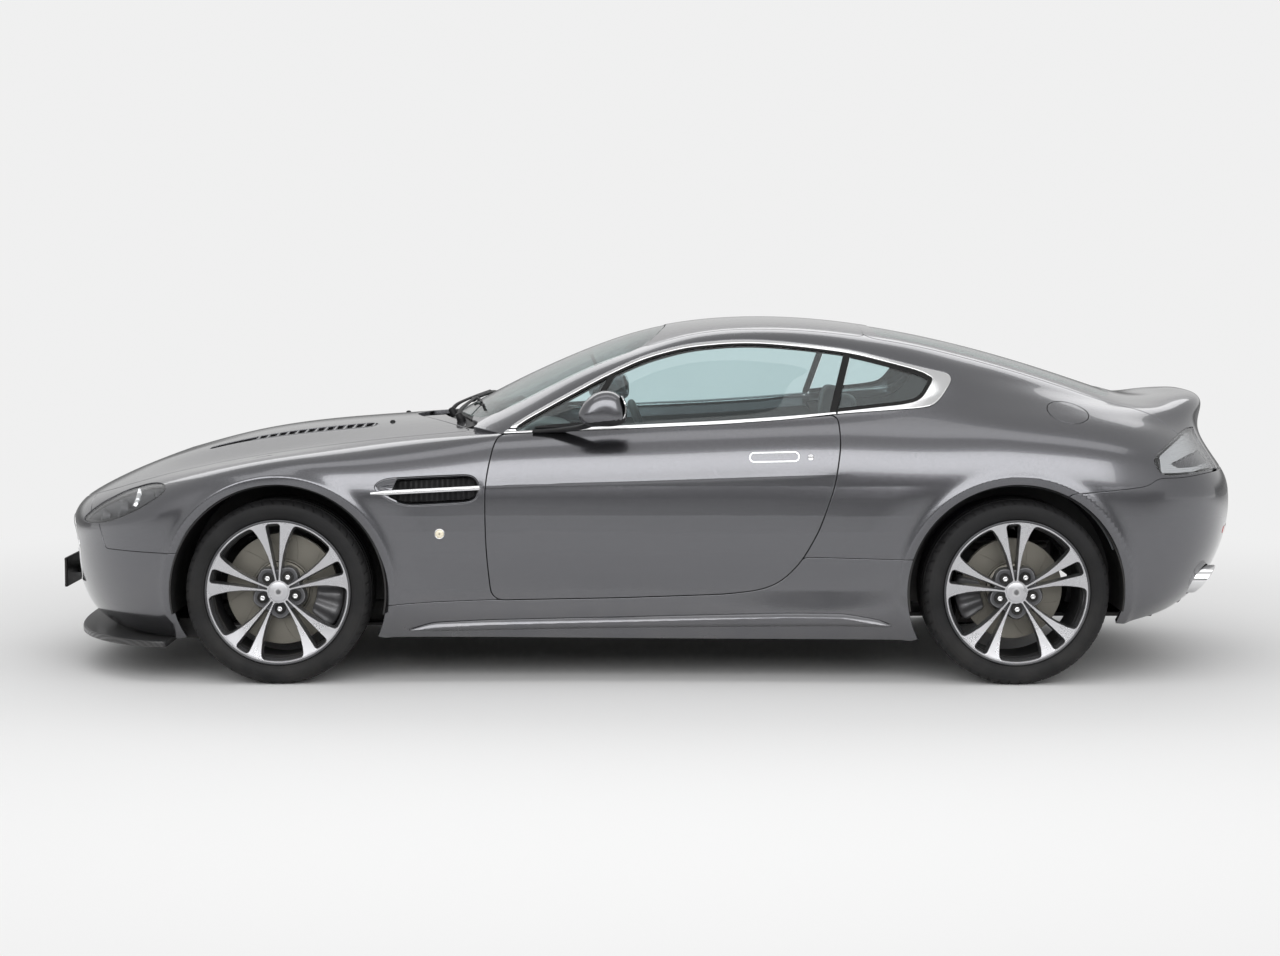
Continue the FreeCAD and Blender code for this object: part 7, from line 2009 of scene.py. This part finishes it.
DOOR_PIN = np.array([-455.0, 848.0, 600.0])
PIN_WAY = np.array([0.0, -math.sin(math.radians(2.0)), math.cos(math.radians(2.0))])
across = [slab(-638, 898, 150, 176, -545, 545), slab(-640, -602, 151, 800, -545, 545),
          beam([(-660, 790), (-640, 776), (-590, 776), (-562, 790), (-562, 838), (-660, 838)], -545, 545),
          slab(862, 898, 151, 556, -545, 545), slab(880, 1868, 548, 562, -560, 560),
          slab(880, 1868, 190, 206, -500, 500), slab(1856, 1872, 196, 556, -500, 500),
          slab(-1695, -640, 150.4, 162, -460, 460), slab(-1340, -1240, 158, 230, -403, 403, 10.0)]
one_side = [slab(-640, 900, 151, 175.6, 540, 700), slab(-640, -602, 152, 836, 540, 700),
            slab(-640, -608, 160, 745, 694, 802),
            slab(-905, -620, 151, 161, 440, 690), slab(-880, 915, 160, 284, 690, 832, 12.0),
            beam([(-1695, 156), (-600, 156), (-600, 240), (-1480, 240), (-1695, 212)], 353.7, 403.7, 8.0),
            beam([(1120, 192), (1500, 192), (1500, 226), (1460, 240), (1160, 240), (1120, 226)], 493.7,
                 523.7, 6.0),
            slab(862, 898, 176, 556, 540, 690),
            beam([(-610, 160), (-425, 160), (-425, 640), (-500, 760), (-610, 760)], 670, 718, 8.0, 20.0),
            slab(-610, -590, 780, 881, 609, 620, 3.0)]
for height in (420.0, 690.0):
    pin_at = DOOR_PIN + PIN_WAY * (height - 600.0)
    one_side.append(slab(pin_at[0] - 7.5, pin_at[0] + 7.5, pin_at[2] - 18, pin_at[2] + 18, 700,
                         pin_at[1] - 5.5, 2.0))
    one_side.append(spun([(0, -40), (5, -40), (6, -39), (6, 39), (5, 40), (0, 40)], pin_at, PIN_WAY, 32))
one_side.append(spun([(0, 0), (5, 0), (6, 1), (6, 26), (5, 27), (0, 27)], np.array([-600.0, 592.0, 872.0]),
                     [0.0, 1.0, 0.0], 32))
one_side = joined(*one_side)
make("floor_and_bulkheads", joined(*across, one_side, mirror(one_side)), "body", [black],
     ["underbody"])

# ------------------------------------------------------------------ nodes carried over
for name, finish in (("cowl_panel", black), ("engine", cast),
                     ("arch_liners_front", black), ("arch_liners_rear", black), ("suspension_arms", steel),
                     ("rear_axle", steel)):
    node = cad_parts[name]
    for place in node.material_slots:
        place.material = finish


# ------------------------------------------------------------------ studio
def studio():
    """Pale floor that fades into a pale backdrop, three long soft boxes, dark cloths that only mirrors see,
    which are painted shade for the dimmer floor and room away from the lamps, and the camera."""
    backdrop = (BACKDROP_TONE, BACKDROP_TONE, BACKDROP_TONE, 1)
    floor_mesh = bpy.data.meshes.new("studio_floor")
    floor_mesh.from_pydata([(-40, -40, 0), (40, -40, 0), (40, 40, 0), (-40, 40, 0)], [], [(0, 1, 2, 3)])
    floor = bpy.data.objects.new("studio_floor", floor_mesh)
    bpy.context.scene.collection.objects.link(floor)
    ground = bpy.data.materials.new("pale_floor")
    ground.use_nodes = True
    tree = ground.node_tree
    tree.nodes.clear()
    matt = add(tree, "BsdfDiffuse", {"Color": (FLOOR_TONE, FLOOR_TONE, FLOOR_TONE, 1)})
    far = add(tree, "Emission", {"Color": backdrop})
    distance = add(tree, "VectorMath", {0: add(tree, "TexCoord").outputs["Object"]}, operation="LENGTH")
    fade = add(tree, "MapRange", {"Value": distance.outputs["Value"], "From Min": FADE_START,
                                    "From Max": FADE_END}, interpolation_type="SMOOTHSTEP")
    mix = add(tree, "MixShader", {0: fade.outputs[0], 1: matt.outputs[0], 2: far.outputs[0]})
    add(tree, "OutputMaterial", {0: mix.outputs[0]})
    floor_mesh.materials.append(ground)

    world = bpy.data.worlds.new("studio")
    bpy.context.scene.world = world
    world.use_nodes = True
    tree = world.node_tree
    tree.nodes.clear()
    seen = add(tree, "Background", {"Color": backdrop})
    light = add(tree, "Background", {"Color": (SHADE_TONE, SHADE_TONE, SHADE_TONE, 1)})
    side = add(tree, "SeparateXYZ", {0: add(tree, "TexCoord").outputs["Generated"]}).outputs["Y"]
    glow = add(tree, "MapRange",
               {"Value": side, "From Min": -0.35, "From Max": -0.92, "To Min": 0.62, "To Max": 1.02})
    glint = add(tree, "Background", {"Color": (1.0, 1.0, 1.0, 1), "Strength": glow.outputs[0]})
    path = add(tree, "LightPath").outputs
    shown = sum_of(tree, "MAXIMUM", path["Is Camera Ray"], path["Is Transmission Ray"])
    shaded = add(tree, "MixShader", {0: path["Is Glossy Ray"], 1: light.outputs[0], 2: glint.outputs[0]})
    mix = add(tree, "MixShader", {0: shown, 1: shaded.outputs[0], 2: seen.outputs[0]})
    add(tree, "OutputWorld", {0: mix.outputs[0]})

    def lamp(name, place, aim, width, height, power):
        data = bpy.data.lights.new(name, "AREA")
        data.shape = "RECTANGLE"
        data.size = width
        data.size_y = height
        data.energy = power
        lamp_object = bpy.data.objects.new(name, data)
        lamp_object.location = place
        way = np.array(aim, float) - np.array(place, float)
        lamp_object.rotation_euler = Vector(way).to_track_quat("-Z", "Y").to_euler()
        lamp_object.visible_camera = False
        lamp_object.visible_transmission = False
        bpy.context.scene.collection.objects.link(lamp_object)

    def flag(name, corners, shade_finish):
        """Dark cloth that only mirrors see, painted shade for the unlit studio: the flanks show it as their
        dark horizon.
        """
        mesh = bpy.data.meshes.new(name)
        mesh.from_pydata(corners, [], [(0, 1, 2, 3)])
        cloth = bpy.data.objects.new(name, mesh)
        bpy.context.scene.collection.objects.link(cloth)
        mesh.materials.append(shade_finish)
        cloth.visible_camera = False
        cloth.visible_transmission = False
        cloth.visible_diffuse = False
        cloth.visible_shadow = False

    # The cloths are painted shade: the standing ones darken towards the floor and the lying ones darken
    # away from the car, for the studio growing dimmer away from the lamps.
    standing = shade_cloth("standing_shade_cloth", 2, 1.9, 0.9, 0.75)
    for name, y in (("near_flag", -8.0), ("far_flag", 8.0)):
        flag(name, [(-15, y, 0.02), (15, y, 0.02), (15, y, FLAG_TOP), (-15, y, FLAG_TOP)], standing)
        side = math.copysign(1.0, y)
        lying = shade_cloth("lying_shade_cloth_" + name, 1, side * 1.8, y, 0.62)
        flag(name + "_foot",
             [(-15, side * 1.8, 0.012), (15, side * 1.8, 0.012), (15, y, 0.012), (-15, y, 0.012)], lying)
    lamp("near_box", (0, -7.4, 3.7), (0, 0, 0.7), 12.0, 4.0, 360)
    lamp("far_box", (0, 6.0, 6.2), (0, 0, 0.6), 12.0, 3.2, 160)
    lamp("top_box", (0.6, -2.2, 7.6), (0.6, 0, 0.6), 12.0, 2.6, 90)

    camera_data = bpy.data.cameras.new("camera")
    camera_data.sensor_width = 36.0
    camera_data.lens = CAMERA_LENS
    camera_data.clip_end = 200.0
    camera = bpy.data.objects.new("camera", camera_data)
    camera.location = CAMERA_PLACE
    camera.rotation_euler = (math.radians(90.0 - CAMERA_TILT), 0.0, 0.0)
    bpy.context.scene.collection.objects.link(camera)
    bpy.context.scene.camera = camera
    bpy.context.scene.view_settings.view_transform = "Standard"


studio()
